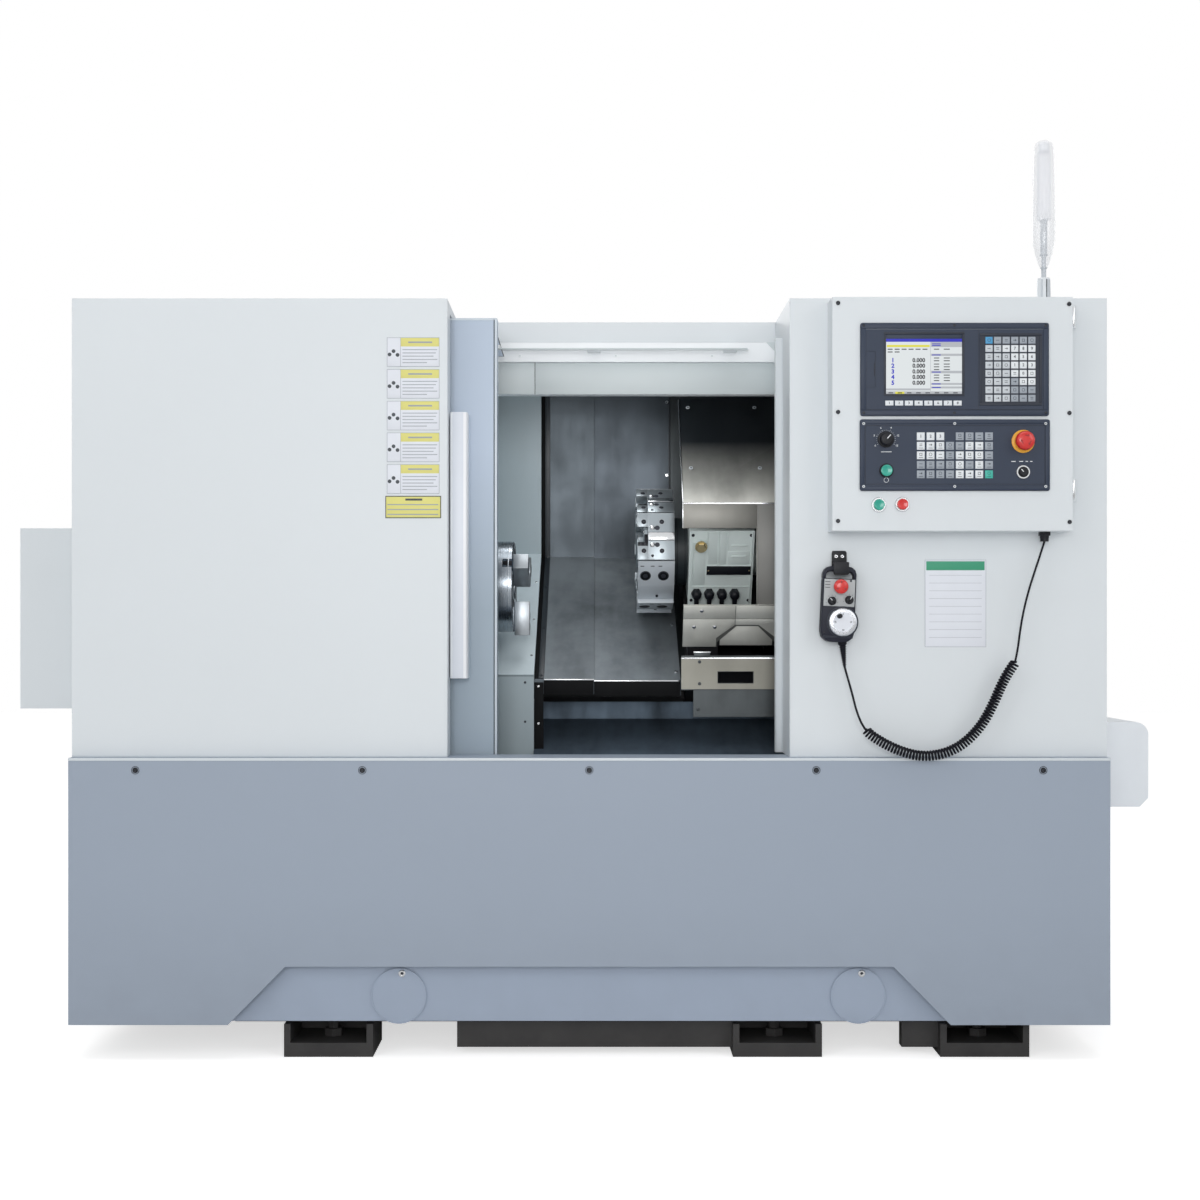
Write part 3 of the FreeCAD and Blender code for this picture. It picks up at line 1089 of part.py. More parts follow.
def turret_hood():
    """Stainless hood over the housing, with the plate under it that rides on the cross slide."""
    left, right = HOOD_LEFT, HOOD_RIGHT
    middle = (left + right) / 2
    hood = prism_x([(HOOD_Y, HOOD_LIP_BOTTOM), (HOOD_Y + SHEET, HOOD_LIP_BOTTOM),
                    (HOOD_Y + SHEET, HOOD_LIP_TOP), (HOOD_BACK, HOOD_RISE - SHEET),
                    (HOOD_BACK, HOOD_RISE), (HOOD_Y, HOOD_LIP_TOP + SHEET)], left, right)
    foot_v = SLIDE_BOTTOM_V
    foot_top = on_slope(SLIDE_LOW_U, foot_v + 110)
    side = box(HOUSING_RIGHT + 3, right, HOOD_Y, HOOD_Y + SHEET, foot_top[1] - SHEET, HOOD_LIP_BOTTOM)
    ledge = box(HOUSING_RIGHT + 3, right, foot_top[0] - 4, HOOD_Y + SHEET, foot_top[1] - SHEET,
                foot_top[1])
    foot_plate = slope_box(left, right, SLIDE_LOW_U - 4, SLIDE_LOW_U, foot_v, foot_v + 110)
    notch_left = left + 80
    notch = prism_y([(notch_left, 800), (notch_left, 882), (notch_left + 43, 919),
                     (notch_left + 93, 919), (notch_left + 133, 882), (notch_left + 133, 800)],
                    200, 400)
    gusset = box(middle + 60, middle + 64, HOOD_Y, HOOD_Y + 90, HOOD_LIP_BOTTOM - 100,
                 HOOD_LIP_BOTTOM)
    return fuse(hood, side, ledge, foot_plate.cut(notch), gusset)


def turret_disc():
    """Eight-sided tool disc with its shaft."""
    points = []
    corner = DISC_APOTHEM / math.cos(math.pi / TURRET_STATIONS)
    y, z = on_slope(TURRET_U, 0)
    for n in range(TURRET_STATIONS):
        angle = math.radians(station_angle(n + 0.5))
        points.append((y - corner * math.cos(angle), z + corner * math.sin(angle)))
    disc = prism_x(points, TURRET_LEFT + 17, TURRET_RIGHT)
    nose = sided_bar(32, 46, slope_point(TURRET_LEFT + 5, TURRET_U, 0),
                     slope_point(TURRET_LEFT + 17, TURRET_U, 0))
    shaft = turret_rod(SHAFT_STUB, TURRET_RIGHT, HOUSING_LEFT + 70)
    return fuse(disc, nose, shaft)


def station_angle(n):
    """Turn of one tool station, from straight towards the operator, upwards."""
    return TURRET_TILT + n * 360 / TURRET_STATIONS


def tool_holder(n):
    """One bolted holder: a slotted one for turning tools or a bored one for boring bars."""
    y, z = on_slope(TURRET_U, 0)
    half = HOLDER_WIDTH / 2
    inner, outer = y - DISC_APOTHEM, y - DISC_APOTHEM - HOLDER_HEIGHT
    block = box(TURRET_LEFT, TURRET_RIGHT, outer, inner, z - half, z + half)
    if n % 2 == 0:
        block = block.cut(box(TURRET_LEFT + 14, TURRET_LEFT + 14 + TOOL_SLOT, outer - 1,
                              inner - 6, z - half - 1, z + half + 1))
    else:
        block = block.cut(sided_bar(20, BORING_RADIUS, Vector(TURRET_LEFT - 1, outer + 18, z - 18),
                                    Vector(TURRET_RIGHT + 1, outer + 18, z - 18)))
        block = block.cut(sided_bar(12, 7, Vector(TURRET_LEFT + 20, outer - 1, z + 22),
                                    Vector(TURRET_LEFT + 20, outer + 6, z + 22)))
    block.rotate(Vector(0, y, z), Vector(1, 0, 0), -station_angle(n))
    return block


def tool_holders():
    """All the holders on the disc, turning and boring by turns."""
    return Part.makeCompound([tool_holder(n) for n in range(TURRET_STATIONS)])


# ---- Control box ----------------------------------------------------------------------------------------
def unit_hole(unit):
    """The cut-out in the control door behind one unit."""
    left, right, low, high = unit
    return box(left + UNIT_EDGE, right - UNIT_EDGE, CONTROL_FRONT - 1, CONTROL_FRONT + SHEET + 1,
               low + UNIT_EDGE, high - UNIT_EDGE)


def control_door():
    """Hinged front of the control box, a shallow tray with the cut-outs for both units."""
    back = CONTROL_FRONT + CONTROL_DOOR_DEPTH - RUNNING_GAP
    tray = box(CONTROL_LEFT, CONTROL_RIGHT, CONTROL_FRONT, back, CONTROL_BOTTOM, CONTROL_TOP)
    tray = tray.cut(box(CONTROL_LEFT + SHEET, CONTROL_RIGHT - SHEET, CONTROL_FRONT + SHEET, back + 1,
                        CONTROL_BOTTOM + SHEET, CONTROL_TOP - SHEET))
    tray = tray.cut(unit_hole(CNC_UNIT)).cut(unit_hole(OPERATOR_UNIT))
    for x, z in (POWER_ON_AT, POWER_OFF_AT):
        tray = tray.cut(stem_hole((x, z), CONTROL_FRONT, STEM_SIDE))
    x = CONTROL_RIGHT + HINGE_OFFSET
    y = COVER_SETBACK - CONTROL_FRAME_DEPTH
    third = HINGE_HEIGHT / 3
    for z in HINGE_Z:
        leaf = box(CONTROL_RIGHT, x, y - HINGE_RADIUS - 1, y - HINGE_RADIUS + SHEET,
                   z + third + RUNNING_GAP, z + 2 * third - RUNNING_GAP)
        barrel = sided_bar(12, HINGE_RADIUS, Vector(x, y, z + third + RUNNING_GAP),
                           Vector(x, y, z + 2 * third - RUNNING_GAP))
        leaf = fuse(leaf, barrel).cut(rod_z(HINGE_PIN + RUNNING_GAP, z, z + HINGE_HEIGHT, x, y))
        tray = fuse(tray, leaf)
    return tray


def stem_hole(at, face, side):
    """Square hole behind a push button, to be cut from what carries it."""
    x, z = at
    half = side / 2 + RUNNING_GAP
    return box(x - half, x + half, face - 1, face + STEM_DEPTH + PRESS + 1, z - half, z + half)


def unit_body(unit, depth):
    """A unit that fills its cut-out: a bezel on the door and the body behind it."""
    left, right, low, high = unit
    bezel = rounded_plate(left, right, low, high, UNIT_FRONT, CONTROL_FRONT, 5)
    inset = UNIT_EDGE + RUNNING_GAP
    body = box(left + inset, right - inset, CONTROL_FRONT, UNIT_FRONT + depth, low + inset, high - inset)
    return fuse(bezel, body)


def cnc_unit():
    """Screen and keypad in one unit, with the screen set back."""
    left, right, low, high = CNC_UNIT
    unit = unit_body(CNC_UNIT, CNC_UNIT_DEPTH)
    screen = box(left + 52, left + 214, UNIT_FRONT - 1, UNIT_FRONT + 2.5, low + 45, high - 22)
    return unit.cut(screen)


def operator_panel():
    """Operator's panel, with the holes for the stems of its emergency stop and its cycle button."""
    panel = unit_body(OPERATOR_UNIT, OPERATOR_UNIT_DEPTH)
    return panel.cut(stem_hole(ESTOP_AT, UNIT_FRONT, STEM_SIDE)).cut(stem_hole(CYCLE_AT, UNIT_FRONT, STEM_SIDE))


def round_cap(at, radius, y0, y1):
    """A round piece that faces the operator."""
    x, z = at
    return sided_bar(20, radius, Vector(x, y0, z), Vector(x, y1, z))


def push_button(at, face, radius, reach):
    """A round button on a square stem, standing off its face by a little more than its stroke."""
    x, z = at
    cap = round_cap(at, radius, face - reach, face - PRESS - 1)
    half = STEM_SIDE / 2
    return fuse(cap, box(x - half, x + half, face - PRESS - 2, face + STEM_DEPTH, z - half, z + half))


def estop(at, face, radius, reach):
    """A mushroom head with a bevelled edge on a square stem."""
    x, z = at
    head = sided_turning(20, [(0, 0), (0, radius - 3), (3, radius), (12, radius), (12, 0)],
                         Vector(x, face - reach, z), Vector(0, 1, 0))
    half = STEM_SIDE / 2
    return fuse(head, box(x - half, x + half, face - reach + 11, face + STEM_DEPTH, z - half, z + half))


def grip_knob(at, face, radius, reach):
    """A round knob just off its face, with a grip bar that shows where it points."""
    x, z = at
    skirt = rod_y(radius, face - 7, face - RUNNING_GAP, x, z)
    bar = box(x - radius * 0.22, x + radius * 0.22, face - reach, face - 7, z - radius * 0.8,
              z + radius * 0.8)
    return fuse(skirt, bar)


def mode_key():
    """Key switch with its round plug and the bow of the key."""
    x, z = KEY_AT
    plug = rod_y(9, UNIT_FRONT - 6, UNIT_FRONT - RUNNING_GAP, x, z)
    bow = prism_x([(UNIT_FRONT - 6, z - 4), (UNIT_FRONT - 12, z - 4), (UNIT_FRONT - 14, z - 10),
                   (UNIT_FRONT - 24, z - 8), (UNIT_FRONT - 24, z + 8), (UNIT_FRONT - 14, z + 10),
                   (UNIT_FRONT - 12, z + 4), (UNIT_FRONT - 6, z + 4)], x - 1.2, x + 1.2)
    return fuse(plug, bow)


# ---- Pendant and its cord -------------------------------------------------------------------------------
def pendant_hook():
    """Sheet hook on the cover: back plate, shelf over the pendant, and a tip that goes under its bar."""
    left, right = HOOK_X - HOOK_WIDTH / 2, HOOK_X + HOOK_WIDTH / 2
    shelf = PENDANT_TOP + 6
    front = PENDANT_FRONT - 1
    tip = PENDANT_TOP - PENDANT_BAR - 0.8
    back_plate = box(left, right, COVER_SETBACK - HOOK_SHEET, COVER_SETBACK, shelf, HOOK_TOP)
    top = box(left, right, front - HOOK_SHEET, COVER_SETBACK, shelf, shelf + HOOK_SHEET)
    front_plate = box(left, right, front - HOOK_SHEET, front, tip - HOOK_SHEET, shelf + HOOK_SHEET)
    lip = box(left, right, front - HOOK_SHEET, front + 14, tip - HOOK_SHEET, tip)
    return fuse(back_plate, top, front_plate, lip)


def tilted(shape, degrees, x, z):
    """The shape leaned sideways about a point, seen by the operator, foot to the right."""
    copy = shape.copy()
    copy.rotate(Vector(x, 0, z), Vector(0, 1, 0), -degrees)
    return copy


def boot_base():
    """Middle of the pendant's foot, where its boot starts."""
    lean = math.radians(PENDANT_TILT)
    return (PENDANT_X + PENDANT_HEIGHT * math.sin(lean), PENDANT_TOP - PENDANT_HEIGHT * math.cos(lean))


def boot_end():
    """Point where the cord enters the boot."""
    x, z = boot_base()
    lean = math.radians(BOOT_LEAN)
    return Vector(x + BOOT_LENGTH * math.sin(lean), PENDANT_Y, z - BOOT_LENGTH * math.cos(lean))


def pendant_body():
    """Moulded pendant with its carrying loop, ribbed boot and the holes of its controls."""
    left, right = PENDANT_X - PENDANT_WIDTH / 2, PENDANT_X + PENDANT_WIDTH / 2
    body = rounded_plate(left, right, PENDANT_TOP - PENDANT_HEIGHT, PENDANT_TOP,
                         PENDANT_FRONT, PENDANT_BACK, 12)
    loop = box(left + 13, right - 13, PENDANT_FRONT - 1, PENDANT_BACK + 1,
               PENDANT_TOP - PENDANT_BAR - 12, PENDANT_TOP - PENDANT_BAR)
    body = tilted(body.cut(loop), PENDANT_TILT, PENDANT_X, PENDANT_TOP)
    x, z = boot_base()
    profile = [(2, 0), (2, 9), (-6, 9), (-6, 7)]
    for n in range(3):
        low = -14 - n * 12
        profile += [(low, 6.6 - 0.4 * n), (low, 8.5 - 0.9 * n), (low - 5, 8.5 - 0.9 * n),
                    (low - 5, 6.4 - 0.4 * n)]
    profile += [(-BOOT_LENGTH, 4.5), (-BOOT_LENGTH, 0)]
    boot = sided_turning(12, profile, Vector(x, PENDANT_Y, z), Vector(0, 0, 1))
    body = fuse(body, tilted(boot, BOOT_LEAN, x, z))
    return body.cut(stem_hole(PENDANT_ESTOP_AT, PENDANT_FRONT, STEM_SIDE))


def pendant_wheel():
    """Pulse handwheel with its small crank knob."""
    x, z = PENDANT_WHEEL_AT
    face = PENDANT_FRONT
    dial = rod_y(WHEEL_RADIUS, face - 12, face - RUNNING_GAP, x, z)
    crank_at = (x - WHEEL_RADIUS * 0.5, z + WHEEL_RADIUS * 0.5)
    crank = round_cap(crank_at, 5, face - 26, face - 12)
    return fuse(dial, crank)


def cord_gland():
    """Gland under the control box that holds the cord."""
    x, y = CORD_EXIT
    body = sided_bar(16, 9, Vector(x, y, CONTROL_BOTTOM - GLAND_LENGTH), Vector(x, y, CONTROL_BOTTOM - 8))
    return fuse(body, hexagon(22, Vector(x, y, CONTROL_BOTTOM - 8), Vector(x, y, CONTROL_BOTTOM)))


def cord_middle_line():
    """Smooth line through the whole route of the cord, from the gland to the boot."""
    exit_x, exit_y = CORD_EXIT
    points = [Vector(exit_x, exit_y, CONTROL_BOTTOM - GLAND_LENGTH)]
    for n, (x, z) in enumerate(UPPER_ROUTE, start=1):
        points.append(Vector(x, exit_y + (CORD_Y - exit_y) * n / (len(UPPER_ROUTE) + 1), z))
    points += [Vector(x, CORD_Y, z) for x, z in CURL_ROUTE]
    for n, (x, z) in enumerate(LOWER_ROUTE, start=1):
        points.append(Vector(x, CORD_Y + (PENDANT_Y - CORD_Y) * n / (len(LOWER_ROUTE) + 1), z))
    points.append(boot_end())
    line = Part.BSplineCurve()
    line.interpolate(points)
    return line


def cord_point(line, distance, curl_start, curl_end):
    """Middle of the cord at a distance along its route, on a curl between the two marks."""
    at = line.parameterAtDistance(distance, line.FirstParameter)
    middle = line.value(at)
    if not curl_start < distance < curl_end:
        return middle
    along = line.tangent(at)[0]
    across = (Vector(0, 1, 0) - along * along.y).normalize()
    pitch = (curl_end - curl_start) / CURL_COUNT
    fade = min(1, (distance - curl_start) / pitch, (curl_end - distance) / pitch)
    radius = CURL_RADIUS * fade * fade * (3 - 2 * fade)
    turn = 2 * math.pi * (distance - curl_start) / pitch
    return middle + across * (radius * math.cos(turn)) + along.cross(across) * (radius * math.sin(turn))


def pendant_cord():
    """The whole cord in one piece: plain from the gland, curled, and plain again into the boot."""
    line = cord_middle_line()
    first = line.FirstParameter
    length = line.length()
    marks = [line.parameter(Vector(x, CORD_Y, z)) for x, z in (CURL_ROUTE[0], CURL_ROUTE[-1])]
    curl_start, curl_end = [line.length(first, mark) for mark in marks]
    step = (curl_end - curl_start) / CURL_COUNT / CURL_STEPS
    stops = [curl_start * n / 9 for n in range(9)]
    stops += [curl_start + n * step for n in range(CURL_STEPS * CURL_COUNT)]
    stops += [curl_end + (length - curl_end) * n / 6 for n in range(7)]
    points = [cord_point(line, stop, curl_start, curl_end) for stop in stops]
    return mitred_tube(points, CORD_DIAMETER / 2, CORD_SIDES)


def mitred_tube(points, radius, sides):
    """A tube with flat sides through the points, mitred at each of them."""
    runs = [(end - start).normalize() for start, end in zip(points, points[1:])]
    corners = ring_of_corners(sides, radius, points[0], runs[0])
    rings = [corners]
    for point, run, following in zip(points[1:], runs, runs[1:] + runs[-1:]):
        normal = run + following
        corners = [corner + run * ((point - corner).dot(normal) / run.dot(normal)) for corner in corners]
        rings.append(corners)
    faces = [face_of(rings[0]), face_of(rings[-1])]
    for first, second in zip(rings, rings[1:]):
        faces += flat_strip(first, second)
    return solid_inside(faces)


# ---- All sub-parts --------------------------------------------------------------------------------------
def push_buttons():
    """Every button, knob and key as its own sub-part."""
    write("estop_button", estop(ESTOP_AT, UNIT_FRONT, ESTOP_RADIUS, ESTOP_REACH))
    write("feed_knob", grip_knob(KNOB_AT, UNIT_FRONT, 17, 17))
    write("mode_key", mode_key())
    write("cycle_button", push_button(CYCLE_AT, UNIT_FRONT, 12, 9))
    write("power_on_button", push_button(POWER_ON_AT, CONTROL_FRONT, 14, 11))
    write("power_off_button", push_button(POWER_OFF_AT, CONTROL_FRONT, 14, 11))
    write("pendant_estop", estop(PENDANT_ESTOP_AT, PENDANT_FRONT, 15.5, 22))
    write("pendant_wheel", pendant_wheel())
    write("pendant_axis_knob", grip_knob(AXIS_KNOB_AT, PENDANT_FRONT, 9, 13))
    write("pendant_rate_knob", grip_knob(RATE_KNOB_AT, PENDANT_FRONT, 9, 13))


def build_all():
    """Write every sub-part."""
    os.makedirs("parts", exist_ok=True)
    for maker in (bed_casting, front_apron, plinth_panel, lift_hole_covers, rear_shell, left_cover,
                  right_cover, door_beam, chamber_end_wall, headstock_guard, chip_chute, coolant_tank,
                  headstock, spindle_motor, drive_belt, z_rails, z_motor, signal_lamp,
                  spindle_end_cover, lubricator_cover, door_panel, door_window, door_handle, spindle,
                  chuck_body, hydraulic_cylinder, motor_pulley, saddle, x_rails, saddle_guard, x_motor,
                  z_screw, x_screw, cross_slide, turret_housing, turret_hood, turret_disc,
                  tool_holders, control_door, cnc_unit, operator_panel, pendant_hook, pendant_body,
                  cord_gland, pendant_cord):
        write(maker.__name__, maker())
    write("way_cover_fixed", way_cover(GUARD_FRONT_X, FIXED_COVER_RIGHT, WAY_COVER_V,
                                       WAY_COVER_FRONT, WAY_COVER_BACK - WAY_COVER_STEP + SHEET))
    write("way_cover_moving", way_cover(MOVING_COVER_LEFT, SADDLE_GUARD_LEFT,
                                        WAY_COVER_V - WAY_COVER_STEP, WAY_COVER_FRONT + 5,
                                        WAY_COVER_BACK + SHEET))
    for n in range(JAW_COUNT):
        write("jaw_" + str(n + 1), chuck_jaw(n))
    push_buttons()


build_all()
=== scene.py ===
"""Slant-bed turning lathe in a full sheet-metal enclosure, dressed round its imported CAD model.

Lengths in the code are millimetres from the middle of the machine's front, on the floor: X to the
operator's right, Y from the front face backwards and Z up. Piece.close() turns them into metres in
the frame's own coordinates.
"""
import math

import bmesh
import bpy
from mathutils import Matrix, Vector


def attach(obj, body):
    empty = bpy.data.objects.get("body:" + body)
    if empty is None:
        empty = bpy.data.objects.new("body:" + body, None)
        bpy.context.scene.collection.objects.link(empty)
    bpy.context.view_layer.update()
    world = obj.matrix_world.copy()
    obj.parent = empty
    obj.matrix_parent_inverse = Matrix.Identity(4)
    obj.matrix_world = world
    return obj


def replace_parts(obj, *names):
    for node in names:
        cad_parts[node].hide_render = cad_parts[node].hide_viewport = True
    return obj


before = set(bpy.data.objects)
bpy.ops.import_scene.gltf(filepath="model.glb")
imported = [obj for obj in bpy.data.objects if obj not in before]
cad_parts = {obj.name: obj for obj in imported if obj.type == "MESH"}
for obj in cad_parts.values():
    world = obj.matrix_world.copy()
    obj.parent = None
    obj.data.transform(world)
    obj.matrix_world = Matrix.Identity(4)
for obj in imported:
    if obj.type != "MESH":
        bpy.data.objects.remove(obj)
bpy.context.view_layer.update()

FRONT_TO_MIDDLE = 689.0          # from the front face to the frame's origin
TO_FRAME = Matrix.Translation((0, -FRONT_TO_MIDDLE / 1000, 0)) @ Matrix.Scale(0.001, 4)
SPINDLE_AT = (350.0, 1010.0)     # Y and Z of the spindle's axis
TURRET_AT = (505.0, 1099.5)      # Y and Z of the turret's axis
BED_LEAN = math.radians(30)
CONTROL_FACE = -40.0             # front of the control box
UNIT_FACE = -44.0                # front of the screen unit and the operator's panel in it
COVER_FACE = 25.0                # front of the white covers
SHARP_ANGLE = 32.0               # edges sharper than this many degrees aren't smoothed over
QUARTER = math.pi / 2
FONT_SCALE = 1.35                # size of the built-in font over the height of its figures
FIGURE_RISE = 0.12
AXIS_TURNS = {                   # turns that lay the Z axis along each axis
    "x": Matrix.Rotation(QUARTER, 4, "Y"), "-x": Matrix.Rotation(-QUARTER, 4, "Y"),
    "y": Matrix.Rotation(-QUARTER, 4, "X"), "-y": Matrix.Rotation(QUARTER, 4, "X"),
    "z": Matrix.Identity(4), "-z": Matrix.Rotation(math.pi, 4, "X"),
}


# ---- Building pieces -------------------------------------------------------------------------------------
def to_frame(x, y, z):
    """A point of the machine, in the frame's metres."""
    return TO_FRAME @ Vector((x, y, z))


def rounded(part, bevel, steps):
    """A small mesh with its edges rounded off, if there is a bevel."""
    if bevel:
        bmesh.ops.bevel(part, geom=part.edges[:], offset=bevel, segments=steps, profile=0.5,
                        affect="EDGES")
    return part


class Piece:
    """One mesh that is put together from blocks, turnings and plates, then rides on a body."""

    def __init__(self, name, *finishes):
        self.name = name
        self.mesh = bmesh.new()
        self.materials = [finish.material for finish in finishes]

    def take(self, part, material=0, place=None):
        """Adds a small mesh to the piece, moved by place, in one of its materials."""
        for face in part.faces:
            face.material_index = material
        if place is not None:
            part.transform(place)
        scratch = bpy.data.meshes.new("scratch")
        part.to_mesh(scratch)
        part.free()
        self.mesh.from_mesh(scratch)
        bpy.data.meshes.remove(scratch)

    def block(self, x, y, z, bevel=0.0, material=0, place=None, steps=2):
        """A block between two corners, given as (low, high) on each axis, with rounded edges."""
        part = bmesh.new()
        bmesh.ops.create_cube(part, size=1)
        size = Vector((x[1] - x[0], y[1] - y[0], z[1] - z[0]))
        middle = Vector((x[0] + x[1], y[0] + y[1], z[0] + z[1])) / 2
        part.transform(Matrix.Translation(middle) @ Matrix.Diagonal(size).to_4x4())
        self.take(rounded(part, bevel, steps), material, place)

    def strip(self, face, x, rise, z, bevel=0.0, material=0, sink=0.4):
        """A block on a face that looks to the front. It stands out by rise and is let in by sink."""
        self.block(x, (face - rise, face + sink), z, bevel, material)

    def turning(self, profile, at, axis="y", sides=32, material=0, place=None):
        """A turned form round an axis. The profile is (distance along the axis, radius) points.

        A profile that ends at the distance where it starts is a ring, and stays open in the middle.
        """
        part = bmesh.new()
        turns = [2 * math.pi * k / sides for k in range(sides)]
        rings = [[part.verts.new((radius * math.cos(a), radius * math.sin(a), distance))
                  for a in (turns if radius > 0 else turns[:1])] for distance, radius in profile]
        hollow = len(rings[0]) > 1 and len(rings[-1]) > 1 and profile[0][0] == profile[-1][0]
        for low, high in zip(rings, rings[1:] + rings[:1] * hollow):
            for k in range(sides):
                corners = [low[k % len(low)], low[(k + 1) % len(low)],
                           high[(k + 1) % len(high)], high[k % len(high)]]
                corners = [c for n, c in enumerate(corners) if c not in corners[:n]]
                part.faces.new(corners)
        for ring, flip in ((rings[0], True), (rings[-1], False)):
            if len(ring) > 1 and not hollow:
                part.faces.new(ring[::-1] if flip else ring)
        part.transform(Matrix.Translation(at) @ AXIS_TURNS[axis])
        self.take(part, material, place)

    def plate(self, outline, low, high, plane="xz", bevel=0.0, material=0, place=None, steps=2):
        """A plate with a free outline. The plane names the outline's two axes."""
        part = bmesh.new()
        order = {"xz": (0, 2, 1), "xy": (0, 1, 2), "yz": (1, 2, 0)}[plane]

        def corner(point, depth):
            spot = [0.0, 0.0, 0.0]
            spot[order[0]], spot[order[1]], spot[order[2]] = point[0], point[1], depth
            return part.verts.new(spot)

        near = [corner(point, low) for point in outline]
        far = [corner(point, high) for point in outline]
        count = len(outline)
        part.faces.new(near)
        part.faces.new(far[::-1])
        for k in range(count):
            after = (k + 1) % count
            part.faces.new([near[k], far[k], far[after], near[after]])
        bmesh.ops.recalc_face_normals(part, faces=part.faces[:])
        self.take(rounded(part, bevel, steps), material, place)

    def figures(self, text, at, height, material=0, place=None, weight=0.02):
        """Raised figures of one height that face the operator, centred on a point."""
        line = bpy.data.curves.new("figures", "FONT")
        line.body = text
        line.size = height * FONT_SCALE
        line.align_x, line.align_y = "CENTER", "CENTER"
        line.extrude = FIGURE_RISE
        line.offset = height * weight
        line.resolution_u = 2
        carrier = bpy.data.objects.new("figures", line)
        bpy.context.scene.collection.objects.link(carrier)
        shape = bpy.data.meshes.new_from_object(carrier)
        part = bmesh.new()
        part.from_mesh(shape)
        part.transform(Matrix.Translation(at) @ Matrix.Rotation(math.pi / 2, 4, "X"))
        self.take(part, material, place)
        bpy.data.meshes.remove(shape)
        bpy.data.objects.remove(carrier)
        bpy.data.curves.remove(line)

    def screw(self, at, radius, axis="-y", metal=0, socket=1, rise=None, place=None):
        """A socket-head screw: a chamfered head with a dark hexagon sunk in it."""
        rise = rise or radius * 0.7
        floor = rise * 0.45
        self.turning([(0, radius), (rise * 0.8, radius), (rise, radius * 0.86), (rise, radius * 0.52),
                      (floor, radius * 0.5), (floor, 0)], at, axis, 20, metal, place)
        self.turning([(floor, radius * 0.48), (floor + 0.1, radius * 0.48)], at, axis, 6, socket, place)

    def close(self, body, slot):
        """Turns the piece into an object in metres, shades it and lets it ride on its body."""
        self.mesh.transform(TO_FRAME)
        data = bpy.data.meshes.new(self.name)
        self.mesh.to_mesh(data)
        self.mesh.free()
        for material in self.materials:
            data.materials.append(material)
        data.shade_smooth()
        data.set_sharp_from_angle(angle=math.radians(SHARP_ANGLE))
        thing = bpy.data.objects.new(self.name, data)
        bpy.context.scene.collection.objects.link(thing)
        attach(thing, body)
        return thing


def on_slope(x, up, off):
    """A point on the slant bed: up the slope and square off it from the spindle axis."""
    y = SPINDLE_AT[0] + up * math.cos(BED_LEAN) - off * math.sin(BED_LEAN)
    z = SPINDLE_AT[1] + up * math.sin(BED_LEAN) + off * math.cos(BED_LEAN)
    return Vector((x, y, z))


def slope_place(x, up, off):
    """Place of a detail built round the origin: its X along X, Y up the slope, Z square off it."""
    return Matrix.Translation(on_slope(x, up, off)) @ Matrix.Rotation(BED_LEAN, 4, "X")


def around(point, axis, degrees):
    """A turn round an axis through a point."""
    spot = Matrix.Translation(point)
    return spot @ Matrix.Rotation(math.radians(degrees), 4, axis) @ spot.inverted()


# ---- Shader groups ---------------------------------------------------------------------------------------
def paint(red, green, blue):
    """Linear colour of a tone read as 0 to 255."""
    return tuple(tone ** 2.2 for tone in (red / 255, green / 255, blue / 255)) + (1.0,)


def add_node(tree, kind, settings=None, **inputs):
    """One shader node. Its inputs are given by name, with _ for a space, as values or sockets."""
    made = tree.nodes.new("ShaderNode" + kind)
    for key, value in (settings or {}).items():
        setattr(made, key, value)
    for key, value in inputs.items():
        if key[0] == "i" and key[1:].isdigit():
            socket = made.inputs[int(key[1:])]
        else:
            socket = made.inputs[key.replace("_", " ")]
        if isinstance(value, bpy.types.NodeSocket):
            tree.links.new(value, socket)
        else:
            socket.default_value = value
    return made


class Group:
    """A node group being made. Its Tone comes in as a colour and goes out changed."""

    KINDS = {"Tone": "Color", "Normal": "Vector"}

    def __init__(self, name, outputs, **inputs):
        """Inputs are named with their first values: a number, a direction or a grey in brackets."""
        self.tree = bpy.data.node_groups.new(name, "ShaderNodeTree")
        for label, value in inputs.items():
            kind = "Float"
            if isinstance(value, list):
                kind, value = "Color", (*value * 3, 1)
            elif isinstance(value, tuple):
                kind = "Vector"
            socket = self.tree.interface.new_socket(label, in_out="INPUT", socket_type="NodeSocket" + kind)
            socket.default_value = value
        for label in outputs:
            self.tree.interface.new_socket(label, in_out="OUTPUT",
                                           socket_type="NodeSocket" + self.KINDS.get(label, "Float"))
        self.given = self.tree.nodes.new("NodeGroupInput").outputs
        self.out = self.tree.nodes.new("NodeGroupOutput").inputs

    def node(self, kind, settings=None, **inputs):
        """The first output of a new node in the group."""
        return add_node(self.tree, kind, settings, **inputs).outputs[0]

    def here(self):
        """Object coordinates."""
        return add_node(self.tree, "TexCoord").outputs["Object"]

    def height(self, here):
        """Height above the floor."""
        return add_node(self.tree, "SeparateXYZ", Vector=here).outputs[2]

    def times(self, first, second):
        """One value multiplied by another."""
        return self.node("Math", {"operation": "MULTIPLY"}, i0=first, i1=second)

    def stretched(self, here, factors):
        """Coordinates stretched by a factor on each axis."""
        return self.node("VectorMath", {"operation": "MULTIPLY"}, i0=here, i1=factors)

    def tone(self, share, target):
        """Gives the Tone out, mixed by a share with one of the colours that came in."""
        mixed = add_node(self.tree, "Mix", {"data_type": "RGBA"}, i0=share, i6=self.given["Tone"],
                         i7=self.given[target]).outputs[2]
        self.give(Tone=mixed)

    def give(self, **outputs):
        """Joins values to the group's outputs."""
        for label, socket in outputs.items():
            self.tree.links.new(socket, self.out[label])


